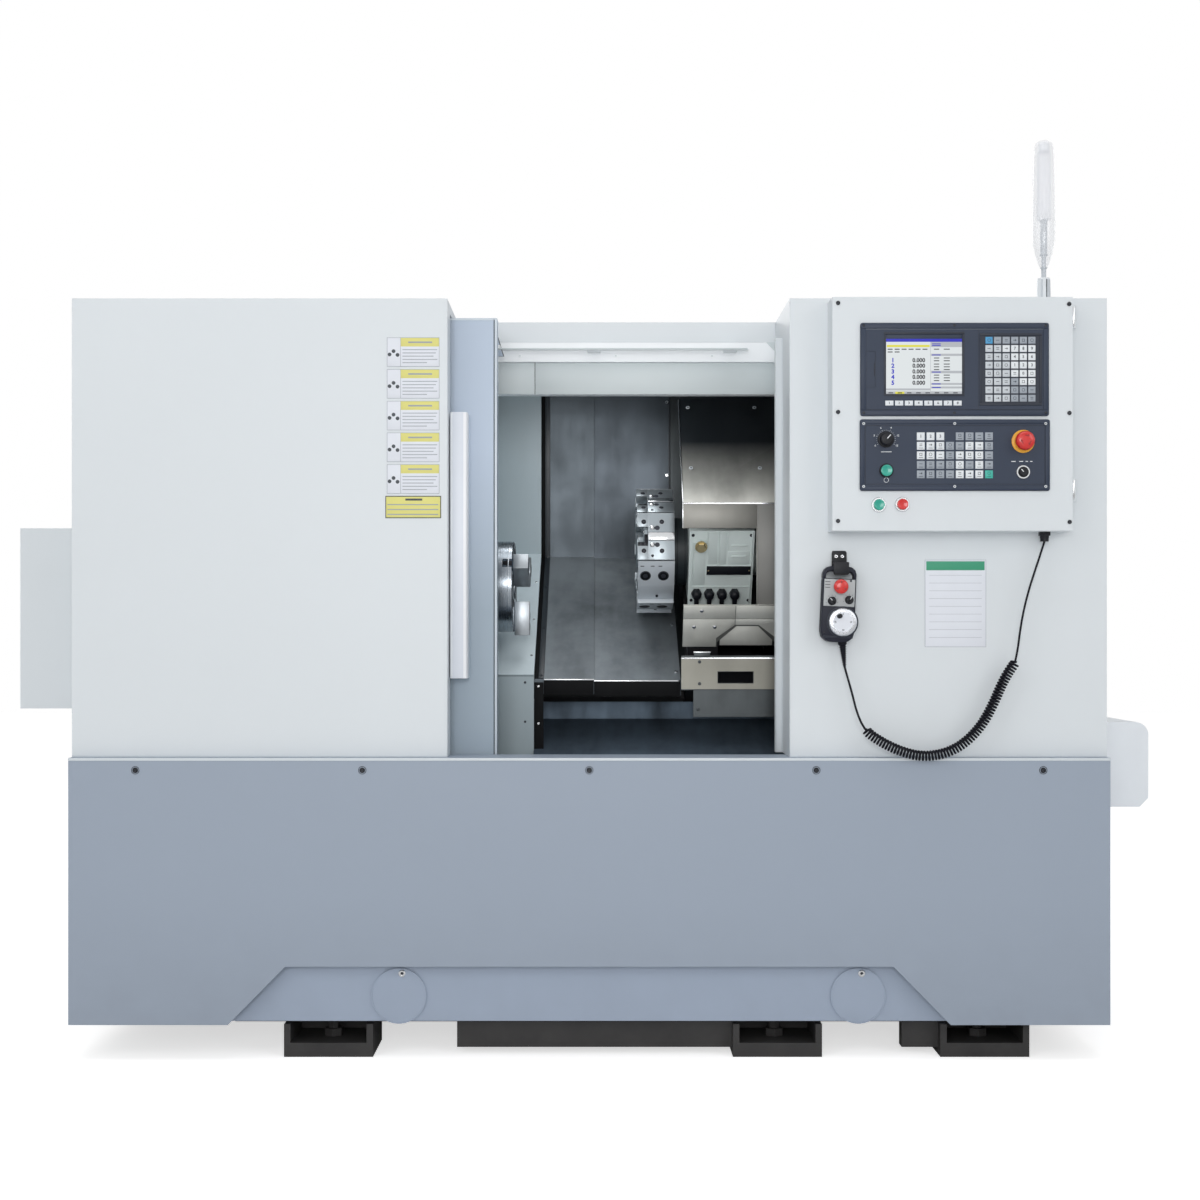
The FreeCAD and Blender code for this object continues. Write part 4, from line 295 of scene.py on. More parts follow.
def spread(tree, value, low, high, new_low, new_high):
    """Maps one span of a value onto another."""
    return add_node(tree, "MapRange", Value=value, From_Min=low, From_Max=high, To_Min=new_low,
                    To_Max=new_high).outputs[0]


def tone_drift_group():
    """Slow change of tone over a painted sheet, as light and handling leave it."""
    group = Group("tone_drift", ("Tone", "Mottle"), Tone=[0.8], Drift=0.03, Patches=1.6)
    wide = group.node("TexNoise", Vector=group.here(), Scale=group.given["Patches"], Detail=3.0)
    centred = group.node("Math", {"operation": "SUBTRACT"}, i0=wide, i1=0.5)
    swing = group.node("Math", {"operation": "MULTIPLY_ADD"}, i0=centred, i1=group.given["Drift"], i2=1.0)
    group.give(Tone=group.node("HueSaturation", Value=swing, Color=group.given["Tone"]), Mottle=wide)
    return group.tree


def orange_peel_group():
    """Fine dimples of powder coat or moulded plastic."""
    group = Group("orange_peel", ("Normal", "Grain"), Grain=700.0, Depth=0.12)
    fine = group.node("TexNoise", Vector=group.here(), Scale=group.given["Grain"], Detail=2.0)
    skin = group.node("Bump", Strength=group.given["Depth"], Distance=0.0005, Height=fine)
    group.give(Normal=skin, Grain=fine)
    return group.tree


def drawn_lines_group():
    """Lines that rolling or brushing leaves along one direction of a metal sheet."""
    group = Group("drawn_lines", ("Lines", "Normal"), Across=(3.0, 400.0, 400.0), Depth=0.08)
    place = group.stretched(group.here(), group.given["Across"])
    lines = group.node("TexNoise", Vector=place, Scale=1.0, Detail=4.0)
    skin = group.node("Bump", Strength=group.given["Depth"], Distance=0.0003, Height=lines)
    group.give(Lines=lines, Normal=skin)
    return group.tree


def facing_light_group():
    """Painted light: one tone where a sheet stands upright, another where it lies on the slope and faces the
    light from above.
    """
    group = Group("facing_painted_light", ("Tone", "Lying"), Tone=[0.3], Sloped=[0.5])
    facing = add_node(group.tree, "TexCoord").outputs["Normal"]
    lying = spread(group.tree, group.height(facing), 0.2, 0.7, 0.0, 1.0)
    group.tone(lying, "Sloped")
    group.give(Lying=lying)
    return group.tree


def rising_shade_group():
    """A sheet that grows darker from one height to another, as under a closed roof."""
    group = Group("rising_shade", ("Tone", "Height"), Tone=[0.3], Shade=[0.05], Low=0.0, High=1.0)
    share = spread(group.tree, group.height(group.here()), group.given["Low"], group.given["High"], 0.0,
                   1.0)
    group.tone(share, "Shade")
    group.give(Height=share)
    return group.tree


def coolant_film_group():
    """Dried coolant: cloudy stains with runs down the surface, duller than the clean metal."""
    group = Group("coolant_film", ("Tone", "Film"), Tone=[0.2], Film=[0.1], Amount=0.5)
    here = group.here()
    runs = group.stretched(here, (11.0, 3.2, 2.4))
    cloud = group.node("TexNoise", Vector=here, Scale=5.0, Detail=5.0, Roughness=0.6)
    run = group.node("TexNoise", Vector=runs, Scale=1.0, Detail=4.0)
    film = spread(group.tree, group.times(cloud, run), 0.16, 0.38, 0.0, 1.0)
    share = group.times(film, group.given["Amount"])
    group.tone(share, "Film")
    group.give(Film=share)
    return group.tree


def rubbed_edge_group():
    """Brighter edges, where handling or chips have rubbed the finish away."""
    group = Group("rubbed_edge", ("Tone", "Edge"), Tone=[0.2], Bare=[0.5], Width=0.0012)
    rounded = group.node("Bevel", {"samples": 4}, Radius=group.given["Width"])
    flat = add_node(group.tree, "NewGeometry").outputs["Normal"]
    turn = add_node(group.tree, "VectorMath", {"operation": "DOT_PRODUCT"}, i0=rounded,
                    i1=flat).outputs[1]
    edge = spread(group.tree, turn, 0.995, 0.9, 0.0, 1.0)
    patchy = group.node("TexNoise", Vector=group.here(), Scale=60.0, Detail=3.0)
    share = group.times(edge, spread(group.tree, patchy, 0.35, 0.65, 0.2, 1.0))
    group.tone(share, "Bare")
    group.give(Edge=share)
    return group.tree


def low_darkening_group():
    """Darkens the machine in ragged patches towards the floor."""
    group = Group("low_darkening", ("Tone", "Grime"), Tone=[0.5], Grime=[0.1], Height=0.3, Amount=0.3)
    here = group.here()
    height = group.height(here)
    ragged = group.node("TexNoise", Vector=here, Scale=14.0, Detail=6.0)
    fall = spread(group.tree, height, 0.0, group.given["Height"], 1.0, 0.0)
    share = group.times(group.times(fall, ragged), group.given["Amount"])
    group.tone(share, "Grime")
    group.give(Grime=share)
    return group.tree


TONE_DRIFT = tone_drift_group()
ORANGE_PEEL = orange_peel_group()
DRAWN_LINES = drawn_lines_group()
FACING_LIGHT = facing_light_group()
RISING_SHADE = rising_shade_group()
COOLANT_FILM = coolant_film_group()
RUBBED_EDGE = rubbed_edge_group()
LOW_DARKENING = low_darkening_group()


# ---- Finishes --------------------------------------------------------------------------------------------
class Finish:
    """A material being made: a Principled shader and the groups that feed it.

    Colours are given as three tones from 0 to 255.
    """

    def __init__(self, name, colour, roughness, **sockets):
        self.colour = paint(*colour)
        self.tone = None
        self.material = bpy.data.materials.new(name)
        self.material.use_nodes = True
        self.tree = self.material.node_tree
        self.shader = self.tree.nodes["Principled BSDF"]
        self.shader.inputs["Base Color"].default_value = self.colour
        self.shader.inputs["Roughness"].default_value = roughness
        for label, value in sockets.items():
            self.shader.inputs[label.replace("_", " ")].default_value = value

    def group(self, tree, **inputs):
        """Places a group. Its Tone comes from the last group that put one out."""
        placed = self.tree.nodes.new("ShaderNodeGroup")
        placed.node_tree = tree
        if "Tone" in placed.inputs:
            if self.tone is None:
                placed.inputs["Tone"].default_value = self.colour
            else:
                self.tree.links.new(self.tone, placed.inputs["Tone"])
            self.tone = placed.outputs["Tone"]
            self.feed("Base Color", self.tone)
        for label, value in inputs.items():
            socket = placed.inputs[label]
            socket.default_value = paint(*value) if socket.type == "RGBA" else value
        if "Normal" in placed.outputs:
            self.feed("Normal", placed.outputs["Normal"])
        return placed.outputs

    def feed(self, label, socket):
        """Joins a socket of the shader, in place of what fed it before."""
        target = self.shader.inputs[label]
        for link in list(target.links):
            self.tree.links.remove(link)
        self.tree.links.new(socket, target)

    def vary_roughness(self, socket, low, high):
        """Roughness that follows a mask, from low to high."""
        self.feed("Roughness", spread(self.tree, socket, 0.0, 1.0, low, high))


def painted_sheet(name, colour, roughness=0.42, drift=0.05):
    """Powder-coated sheet metal."""
    made = Finish(name, colour, roughness)
    mottle = made.group(TONE_DRIFT, Drift=drift)["Mottle"]
    made.group(ORANGE_PEEL, Depth=0.10, Grain=520.0)
    made.vary_roughness(mottle, roughness - 0.06, roughness + 0.06)
    return made


def low_sheet(name, colour, height, amount):
    """Powder-coated sheet near the floor, darker towards the floor."""
    made = painted_sheet(name, colour, 0.45)
    made.group(LOW_DARKENING, Grime=(88, 90, 94), Height=height, Amount=amount)
    return made


def bright_sheet(name, colour, roughness, across, film, amount, metallic=0.9, sloped_light=None):
    """Rolled stainless sheet with dried coolant on it. Given a tone for the slope, it is painted lighter and
    less metallic where it lies on the slope, as painted light.
    """
    made = Finish(name, colour, roughness, Metallic=metallic)
    if sloped_light is not None:
        lying = made.group(FACING_LIGHT, Sloped=sloped_light)["Lying"]
        made.feed("Metallic", spread(made.tree, lying, 0.0, 1.0, metallic, 0.35))
    stain = made.group(COOLANT_FILM, Film=film, Amount=amount)["Film"]
    made.group(DRAWN_LINES, Across=across, Depth=0.10)
    made.vary_roughness(stain, roughness, roughness + 0.25)
    return made


def machined(name, colour, roughness, bare, width=0.0012, metallic=1.0, lines=(240.0, 240.0, 240.0)):
    """Turned or ground steel with lighter edges."""
    made = Finish(name, colour, roughness, Metallic=metallic)
    made.group(RUBBED_EDGE, Bare=bare, Width=width)
    streaks = made.group(DRAWN_LINES, Across=lines, Depth=0.12)["Lines"]
    made.vary_roughness(streaks, roughness - 0.08, roughness + 0.12)
    return made


def cast_paint(name, colour, roughness=0.6):
    """Thick machine paint on a casting."""
    made = Finish(name, colour, roughness)
    made.group(TONE_DRIFT, Drift=0.25, Patches=9.0)
    made.group(LOW_DARKENING, Grime=(96, 94, 90), Height=0.35, Amount=0.35)
    made.group(ORANGE_PEEL, Depth=0.45, Grain=160.0)
    return made


def moulded(name, colour, roughness=0.4, peel=0.12, drift=0.06, grain=1500.0, **sockets):
    """Moulded plastic or rubber with a fine skin."""
    made = Finish(name, colour, roughness, **sockets)
    mottle = made.group(TONE_DRIFT, Drift=drift, Patches=25.0)["Mottle"]
    made.group(ORANGE_PEEL, Depth=peel, Grain=grain)
    made.vary_roughness(mottle, roughness - 0.05, roughness + 0.05)
    return made


def lit_field(name, colour, strength):
    """A field of the screen that gives its own light."""
    made = Finish(name, (12, 13, 15), 0.25, Emission_Strength=strength)
    made.shader.inputs["Emission Color"].default_value = paint(*colour)
    made.group(TONE_DRIFT, Drift=0.2, Patches=40.0)
    return made


COVER_WHITE = painted_sheet("cover_paint", (218, 224, 228))
APRON_GREY = low_sheet("apron_paint", (152, 163, 178), 0.35, 0.25)
PLINTH_GREY = low_sheet("plinth_grey", (160, 173, 192), 0.30, 0.25)
DOOR_GREY = painted_sheet("door_paint", (180, 194, 212))
DOOR_GREY.group(RISING_SHADE, Shade=(150, 165, 178), Low=1.30, High=0.95)
BEAM_WHITE = painted_sheet("beam_white", (243, 247, 250))
HEADER_GREY = painted_sheet("header_grey", (203, 212, 214))
GUARD_GREEN = painted_sheet("guard_green", (160, 176, 183), 0.38)
# Painted light: the guard is painted lighter where it lies on the slope.
GUARD_GREEN.group(FACING_LIGHT, Sloped=(226, 240, 246))
GUARD_GREEN.group(COOLANT_FILM, Film=(140, 155, 161), Amount=0.3)
# The last colour of each of these three sheets is painted light where the sheet lies on the slope.
STAINLESS = bright_sheet("stainless_sheet", (72, 78, 83), 0.34, (380.0, 6.0, 6.0),
                         (62, 67, 71), 0.6, 0.8, (150, 158, 164))
HOOD_STEEL = bright_sheet("hood_steel", (130, 130, 126), 0.34, (6.0, 380.0, 380.0),
                          (110, 110, 106), 0.5, 0.8, (238, 238, 230))
HOOD_STEEL.group(RISING_SHADE, Shade=(34, 38, 42), Low=1.200, High=1.36)
WAY_STEEL = bright_sheet("way_steel", (74, 80, 86), 0.36, (420.0, 5.0, 5.0),
                         (64, 69, 73), 0.7, 0.8, (150, 158, 164))
TRAVEL_STEEL = bright_sheet("travel_steel", (76, 80, 82), 0.32, (5.0, 360.0, 360.0), (56, 59, 60), 0.7)
CHIP_STEEL = bright_sheet("chip_steel", (90, 104, 118), 0.42, (60.0, 8.0, 8.0), (48, 56, 64), 0.8, 0.6)
CHUCK_STEEL = machined("chuck_steel", (158, 166, 174), 0.24, (235, 236, 238), lines=(900.0, 40.0, 40.0))
JAW_STEEL = machined("jaw_steel", (162, 168, 173), 0.32, (222, 224, 226), metallic=0.85)
TOOL_STEEL = machined("tool_steel", (150, 158, 163), 0.34, (220, 223, 226), metallic=0.8)
BRIGHT_STEEL = machined("bright_steel", (206, 208, 210), 0.18, (240, 240, 240))
BLACK_OXIDE = machined("black_oxide", (44, 45, 48), 0.42, (120, 122, 126), 0.0006)
BRASS = machined("brass", (184, 168, 128), 0.3, (220, 206, 170))
HOUSING_GREY = cast_paint("housing_grey", (216, 227, 225), 0.45)
CAST_BLACK = cast_paint("cast_black", (25, 24, 27))
MOTOR_BLACK = cast_paint("motor_paint", (34, 35, 37), 0.5)
BELT_RUBBER = moulded("belt_sides", (24, 24, 25), 0.75)
BLACK_PLASTIC = moulded("black_moulding", (24, 26, 32), 0.45, Specular_IOR_Level=0.3)
CORD_BLACK = moulded("cord_rubber", (17, 18, 28), 0.55, Specular_IOR_Level=0.2)
PANEL_GREY = moulded("panel_grey", (31, 44, 64), 0.5, 0.08)
PENDANT_GREY = moulded("pendant_grey", (26, 29, 42), 0.50, 0.2, Specular_IOR_Level=0.3)
KEY_WHITE = moulded("key_white", (224, 229, 233), 0.4, 0.05)
KEY_GREY = moulded("key_grey", (150, 158, 168), 0.4, 0.05)
KEY_LIGHT = moulded("key_light", (196, 202, 208), 0.4, 0.05)
KEY_GREEN = moulded("key_green", (62, 176, 160), 0.4, 0.05)
KEY_INK = moulded("key_ink", (36, 40, 50), 0.5, 0.02)
PANEL_DARK = moulded("panel_dark", (22, 31, 46), 0.5, 0.08)
PANEL_EDGE_HIGHLIGHT = moulded("panel_edge_highlight", (96, 104, 116), 0.4, 0.05)
SAFETY_YELLOW = moulded("safety_yellow", (232, 168, 50), 0.4, 0.05)
RED_DARK = moulded("red_dark", (150, 24, 26), 0.35, 0.04)
KEY_BLUE = moulded("key_blue", (70, 148, 196), 0.4, 0.05)
RED_PLASTIC = moulded("red_cap", (206, 38, 34), 0.28, 0.04, Coat_Weight=0.4)
GREEN_PLASTIC = moulded("green_cap", (30, 158, 138), 0.28, 0.04, Coat_Weight=0.4)
LABEL_WHITE = moulded("label_white", (226, 230, 238), 0.5, 0.02)
LABEL_LINE = moulded("label_line", (158, 163, 172), 0.5, 0.02)
LABEL_INK = moulded("label_ink", (62, 68, 74), 0.5, 0.02)
LABEL_GREY = moulded("label_grey", (176, 180, 182), 0.5, 0.02)
LABEL_YELLOW = moulded("label_yellow", (222, 217, 128), 0.5, 0.02)
LABEL_GREEN = moulded("label_green", (58, 150, 116), 0.5, 0.02)
MARK_WHITE = moulded("mark_white", (226, 230, 232), 0.5, 0.02)
TRIM_DARK = painted_sheet("trim_dark", (42, 48, 54), 0.45)
# Near-black: rubber and recessed seams, and also painted shadow beside the headstock guard and painted shade
# under the way covers' lips.
BLACK_TRIM_AND_SHADOW = moulded("black_trim_and_shadow", (10, 12, 15), 0.75, Specular_IOR_Level=0.2)
# A lighter, less metallic copy of the tool steel: painted light on the boring holders, whose faces look down
# at the dark chamber.
LIT_HOLDER_STEEL = machined("holder_steel_painted_light", (196, 203, 209), 0.36, (226, 229, 232), metallic=0.35)
NECK_STEEL = moulded("neck_steel", (40, 48, 52), 0.5)
HOUSING_SHADE = cast_paint("housing_shade", (206, 217, 215), 0.5)
# Copies of the stainless in other tones, as painted light and shade: lighter for the hood's lip, its foot
# plates and the saddle guard's panels, darker for the hood's side.
HOOD_LIP_LIGHT = bright_sheet("hood_lip_painted_light", (138, 137, 132), 0.42, (6.0, 300.0, 300.0),
                          (112, 110, 104), 0.4, 0.6)
SADDLE_PANEL_LIGHT = bright_sheet("saddle_panel_painted_light", (136, 135, 127), 0.40, (6.0, 300.0, 300.0),
                         (118, 116, 108), 0.4, 0.65)
SIDE_PLATE_SHADE = bright_sheet("side_plate_painted_shade", (100, 100, 98), 0.40, (6.0, 300.0, 300.0),
                           (88, 88, 86), 0.5, 0.65)
FOOT_PLATE_LIGHT = bright_sheet("foot_plate_painted_light", (228, 228, 220), 0.42, (6.0, 300.0, 300.0),
                          (150, 148, 140), 0.4, 0.55)
LUBE_WHITE = moulded("lube_white", (240, 245, 250), 0.45, 0.1, 0.05, 600.0)
LAMP_FROST = moulded("lamp_frost", (248, 249, 254), 0.35, 0.03, Alpha=0.45, Coat_Weight=0.3)
LAMP_ROD = moulded("lamp_rod", (198, 204, 210), 0.3, 0.03)
LAMP_SKIN = moulded("lamp_skin", (244, 246, 250), 0.12, 0.0, 0.02, Alpha=0.34, Coat_Weight=0.5)
WHEEL_SILVER = machined("wheel_silver", (206, 209, 214), 0.26, (240, 240, 240), 0.0004)
HANDLE_WHITE = painted_sheet("handle_white", (246, 248, 252), 0.3, 0.02)
HANDLE_GREY = painted_sheet("handle_grey", (226, 231, 240), 0.34, 0.02)
DOOR_EDGE = painted_sheet("door_edge", (206, 216, 224), 0.38, 0.03)
COVER_SHADE = painted_sheet("cover_shade", (212, 219, 224), 0.42, 0.03)
LAMP_POLE = machined("lamp_pole", (214, 216, 220), 0.25, (240, 240, 240))
SCREEN_PALE = lit_field("screen_pale", (232, 238, 240), 0.85)
SCREEN_BLUE = lit_field("screen_blue", (24, 28, 190), 0.9)
SCREEN_YELLOW = lit_field("screen_yellow", (232, 226, 70), 0.85)
SCREEN_INK = lit_field("screen_ink", (30, 32, 50), 0.4)
SCREEN_GREY = lit_field("screen_grey", (190, 194, 200), 0.8)
WINDOW_GLASS = Finish("window_glass", (214, 228, 232), 0.04, Transmission_Weight=1.0, IOR=1.46)


# ---- Camera, floor and light -----------------------------------------------------------------------------
CAMERA_AT = (0.012, -4.189, 0.910)
FLOOR_REACH = 14.0
FLOOR_GLOW = 0.62                # light that the floor adds where the camera sees it
WORLD_LIGHT = 0.41               # strength of the light from all round
LAMPS = (                        # name, place, what it is aimed at, width and height, watts
    ("lamp_front_left", (-3.2, -4.6, 3.4), (0, 0, 0.9), (2.6, 2.0), 34),
    ("lamp_front_right", (3.6, -4.2, 2.8), (0, 0, 0.9), (2.6, 2.0), 27),
    ("lamp_level", (-0.2, -6.4, 1.9), (0, 0, 1.0), (2.4, 1.6), 82),
    ("lamp_over", (0.0, -1.0, 5.2), (0, 0, 1.0), (4.0, 3.0), 56),
    ("lamp_rear", (-1.5, 5.0, 3.6), (0, 0, 1.0), (3.0, 2.0), 52),
    ("lamp_chamber", (-0.04, -0.28, 1.49), (-0.06, -0.05, 1.0), (0.34, 0.10), 0.9),
)


def place_camera():
    """Camera straight in front of the machine, a little left of its middle and below its centre."""
    data = bpy.data.cameras.new("camera")
    data.lens = 49.76
    data.sensor_width = 36.0
    data.shift_x = 0.0042
    data.shift_y = 0.025
    data.clip_end = 60.0
    camera = bpy.data.objects.new("camera", data)
    camera.location = CAMERA_AT
    camera.rotation_euler = (math.pi / 2, 0, 0)
    bpy.context.scene.collection.objects.link(camera)
    bpy.context.scene.camera = camera


def pale_backdrop():
    """A plain floor that shows white to the camera and keeps the machine's shadow."""
    data = bpy.data.meshes.new("floor")
    corners = [(-FLOOR_REACH, -FLOOR_REACH, 0), (FLOOR_REACH, -FLOOR_REACH, 0),
               (FLOOR_REACH, FLOOR_REACH, 0), (-FLOOR_REACH, FLOOR_REACH, 0)]
    data.from_pydata(corners, [], [(0, 1, 2, 3)])
    floor = bpy.data.objects.new("floor", data)
    bpy.context.scene.collection.objects.link(floor)
    material = bpy.data.materials.new("floor_white")
    material.use_nodes = True
    tree = material.node_tree
    shader = tree.nodes["Principled BSDF"]
    shader.inputs["Roughness"].default_value = 0.9
    shader.inputs["Base Color"].default_value = (0.86, 0.86, 0.86, 1)
    seen = add_node(tree, "LightPath").outputs["Is Camera Ray"]
    glow = add_node(tree, "Emission", Color=(1, 1, 1, 1), Strength=FLOOR_GLOW)
    both = add_node(tree, "AddShader", i0=shader.outputs[0], i1=glow.outputs[0])
    mixed = add_node(tree, "MixShader", i0=seen, i1=shader.outputs[0], i2=both.outputs[0])
    tree.links.new(mixed.outputs[0], tree.nodes["Material Output"].inputs["Surface"])
    data.materials.append(material)


def soft_world():
    """Even light from all round. Camera, gloss and glass see it as white."""
    world = bpy.data.worlds.new("studio")
    bpy.context.scene.world = world
    world.use_nodes = True
    tree = world.node_tree
    back = tree.nodes["Background"]
    back.inputs["Color"].default_value = (1, 1, 1, 1)
    path = add_node(tree, "LightPath").outputs
    seen = path["Is Camera Ray"]
    for kind in ("Is Glossy Ray", "Is Transmission Ray"):
        seen = add_node(tree, "Math", {"operation": "MAXIMUM"}, i0=seen, i1=path[kind]).outputs[0]
    tree.links.new(spread(tree, seen, 0.0, 1.0, WORLD_LIGHT, 1.0), back.inputs["Strength"])


def soft_lamp(name, place, aim, size, power):
    """One large oblong lamp that gives soft light."""
    data = bpy.data.lights.new(name, "AREA")
    data.shape = "RECTANGLE"
    data.size, data.size_y = size
    data.energy = power
    lamp = bpy.data.objects.new(name, data)
    lamp.location = place
    lamp.rotation_euler = (Vector(aim) - Vector(place)).to_track_quat("-Z", "Y").to_euler()
    bpy.context.scene.collection.objects.link(lamp)


place_camera()
pale_backdrop()
soft_world()
for lamp_row in LAMPS:
    soft_lamp(*lamp_row)
bpy.context.scene.view_settings.view_transform = "Standard"


# ---- The pendant's cord ----------------------------------------------------------------------------------
CORD_EXIT = (961.0, 2.0, 1097.0)
UPPER_ROUTE = ((957.0, 1086.0), (944.0, 1048.0), (928.0, 1002.0), (914.0, 952.0), (905.0, 902.0))
CURL_ROUTE = ((898.0, 845.0), (881.0, 822.0), (866.0, 794.0), (849.0, 754.0), (826.0, 711.0),
              (792.0, 674.0), (752.0, 651.0), (701.0, 643.0), (654.0, 655.0), (614.0, 674.0),
              (577.0, 700.0))
LOWER_ROUTE = ((561.0, 742.0), (555.0, 772.0), (547.0, 801.0))
CORD_END = (538.96, 1.0, 832.39)
CORD_Y = -14.0
CURLS = 66
CURL_POINTS = 12
CURL_RADIUS = 9.2
CORD_WIDTH = 4.6


def cord_route():
    """The route's control points, from the gland to the pendant's boot, in metres."""
    upper, lower = len(UPPER_ROUTE) + 1, len(LOWER_ROUTE) + 1
    points = [CORD_EXIT]
    for n, (x, z) in enumerate(UPPER_ROUTE, start=1):
        points.append((x, CORD_EXIT[1] + (CORD_Y - CORD_EXIT[1]) * n / upper, z))
    points += [(x, CORD_Y, z) for x, z in CURL_ROUTE]
    for n, (x, z) in enumerate(LOWER_ROUTE, start=1):
        points.append((x, CORD_Y + (CORD_END[1] - CORD_Y) * n / lower, z))
    points.append(CORD_END)
    return [to_frame(*point) for point in points]


def smooth_curve(name, points, width=0.0):
    """A curve of one open smooth spline through control points in metres."""
    data = bpy.data.curves.new(name, "CURVE")
    data.dimensions = "3D"
    data.bevel_depth = width / 2
    data.bevel_resolution = 3
    data.use_fill_caps = True
    line = data.splines.new("NURBS")
    line.points.add(len(points) - 1)
    for spot, point in zip(line.points, points):
        spot.co = (*point, 1.0)
    line.order_u = 3
    line.use_endpoint_u = True
    line.resolution_u = 6
    curve = bpy.data.objects.new(name, data)
    bpy.context.scene.collection.objects.link(curve)
    return curve


def points_along(curve):
    """The points that a curve with no width follows, read from its own mesh."""
    shape = bpy.data.meshes.new_from_object(curve)
    points = [vertex.co.copy() for vertex in shape.vertices]
    bpy.data.meshes.remove(shape)
    return points


def at_distance(points, marks, distance):
    """Place and direction at a distance along a line of points."""
    k = 1
    while k < len(marks) - 1 and marks[k] < distance:
        k += 1
    run = points[k] - points[k - 1]
    share = (distance - marks[k - 1]) / (marks[k] - marks[k - 1])
    return points[k - 1] + run * share, run.normalized()


def mark_beside(points, marks, spot):
    """Distance along the line of its point that is nearest to an (x, z) spot of the route."""
    wanted = to_frame(spot[0], CORD_Y, spot[1])
    return marks[min(range(len(points)), key=lambda k: (points[k] - wanted).length)]


def curls(points, marks, begin, finish):
    """Points of the coil, which opens and closes over its first and last turn."""
    pitch = (finish - begin) / CURLS
    line = []
    for n in range(CURLS * CURL_POINTS + 1):
        distance = begin + (finish - begin) * n / (CURLS * CURL_POINTS)
        middle, along = at_distance(points, marks, distance)
        across = Vector((0, 1, 0)) - along * along.y
        across.normalize()
        fade = min(1.0, (distance - begin) / pitch, (finish - distance) / pitch)
        radius = CURL_RADIUS / 1000 * fade * fade * (3 - 2 * fade)
        turn = 2 * math.pi * (distance - begin) / pitch
        line.append(middle + across * (radius * math.cos(turn))
                    + along.cross(across) * (radius * math.sin(turn)))
    return line


def curly_cord():
    """The whole cord: plain from the gland, tightly curled, and plain again into the boot."""
    guide = smooth_curve("cord_guide", cord_route())
    points = points_along(guide)
    bpy.data.objects.remove(guide)
    marks = [0.0]
    for near, far in zip(points, points[1:]):
        marks.append(marks[-1] + (far - near).length)
    begin, finish = [mark_beside(points, marks, CURL_ROUTE[end]) for end in (0, -1)]
    rest = marks[-1] - finish
    line = [at_distance(points, marks, begin * n / 10)[0] for n in range(10)]
    line += curls(points, marks, begin, finish)
    line += [at_distance(points, marks, finish + rest * n / 8)[0] for n in range(1, 9)]
    cord = smooth_curve("curly_cord", line, CORD_WIDTH / 1000)
    cord.data.materials.append(CORD_BLACK.material)
    cord.data.resolution_u = 3
    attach(cord, "machine")
    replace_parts(cord, "pendant_cord")


curly_cord()


# ---- Finishes of the CAD nodes ---------------------------------------------------------------------------
NODE_FINISHES = {
    COVER_WHITE: ("left_cover", "right_cover", "rear_shell", "spindle_end_cover", "control_door"),
    LUBE_WHITE: ("lubricator_cover",),
    APRON_GREY: ("front_apron",),
    PLINTH_GREY: ("plinth_panel", "lift_hole_covers"),
    DOOR_GREY: ("door_panel",),
    BEAM_WHITE: ("door_beam", "door_handle"),
    GUARD_GREEN: ("headstock_guard",),
    STAINLESS: ("way_cover_fixed", "chamber_end_wall"),
    HOOD_STEEL: ("turret_hood",),
    WAY_STEEL: ("way_cover_moving",),
    TRAVEL_STEEL: ("saddle_guard",),
    CHIP_STEEL: ("chip_chute", "coolant_tank"),
    CHUCK_STEEL: ("chuck_body", "spindle", "hydraulic_cylinder", "motor_pulley"),
    JAW_STEEL: ("jaw_1", "jaw_2", "jaw_3"),
    TOOL_STEEL: ("turret_disc", "tool_holders"),
    BRIGHT_STEEL: ("z_rails", "x_rails", "z_screw", "x_screw"),
    HOUSING_GREY: ("turret_housing", "headstock"),
    CAST_BLACK: ("bed_casting", "saddle", "cross_slide", "pendant_hook"),
    MOTOR_BLACK: ("spindle_motor", "z_motor", "x_motor"),
    BELT_RUBBER: ("drive_belt",),
    BLACK_PLASTIC: ("cord_gland",),
    PENDANT_GREY: ("pendant_body",),
    PANEL_GREY: ("cnc_unit", "operator_panel"),
    WINDOW_GLASS: ("door_window",),
    LAMP_FROST: ("signal_lamp",),
    RED_PLASTIC: ("estop_button", "power_off_button", "pendant_estop"),
    GREEN_PLASTIC: ("cycle_button", "power_on_button"),
    KEY_GREY: ("feed_knob", "pendant_axis_knob", "pendant_rate_knob"),
    LABEL_GREY: ("pendant_wheel",),
    MARK_WHITE: ("mode_key",),
}
WELD_DISTANCE = 0.00002          # in metres
FOLD_ANGLE = math.radians(35)    # an edge sharper than this is rounded
FOLD_SEGMENTS = 2
SOFT_EDGES = {                   # width of the rounded edges in millimetres
    1.2: ("bed_casting", "headstock", "saddle", "cross_slide", "spindle_motor", "z_motor", "x_motor",
          "turret_housing"),
    0.7: ("left_cover", "right_cover", "rear_shell", "spindle_end_cover", "lubricator_cover",
          "front_apron", "plinth_panel", "lift_hole_covers", "door_panel", "door_beam", "door_handle",
          "headstock_guard", "way_cover_fixed", "way_cover_moving", "saddle_guard", "turret_hood",
          "chamber_end_wall", "control_door"),
    0.5: ("jaw_1", "jaw_2", "jaw_3", "tool_holders", "turret_disc", "pendant_hook"),
}


def dress_nodes():
    """Gives every CAD node its finish, and folds and machined edges a small radius."""
    for finish, names in NODE_FINISHES.items():
        for name in names:
            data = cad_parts[name].data
            data.materials.clear()
            data.materials.append(finish.material)
    for width, names in SOFT_EDGES.items():
        for name in names:
            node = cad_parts[name]
            weld = node.modifiers.new("joined", "WELD")
            weld.merge_threshold = WELD_DISTANCE
            edge = node.modifiers.new("edges", "BEVEL")
            edge.width = width / 1000
            edge.segments = FOLD_SEGMENTS
            edge.limit_method = "ANGLE"
            edge.angle_limit = FOLD_ANGLE
            edge.harden_normals = True


dress_nodes()


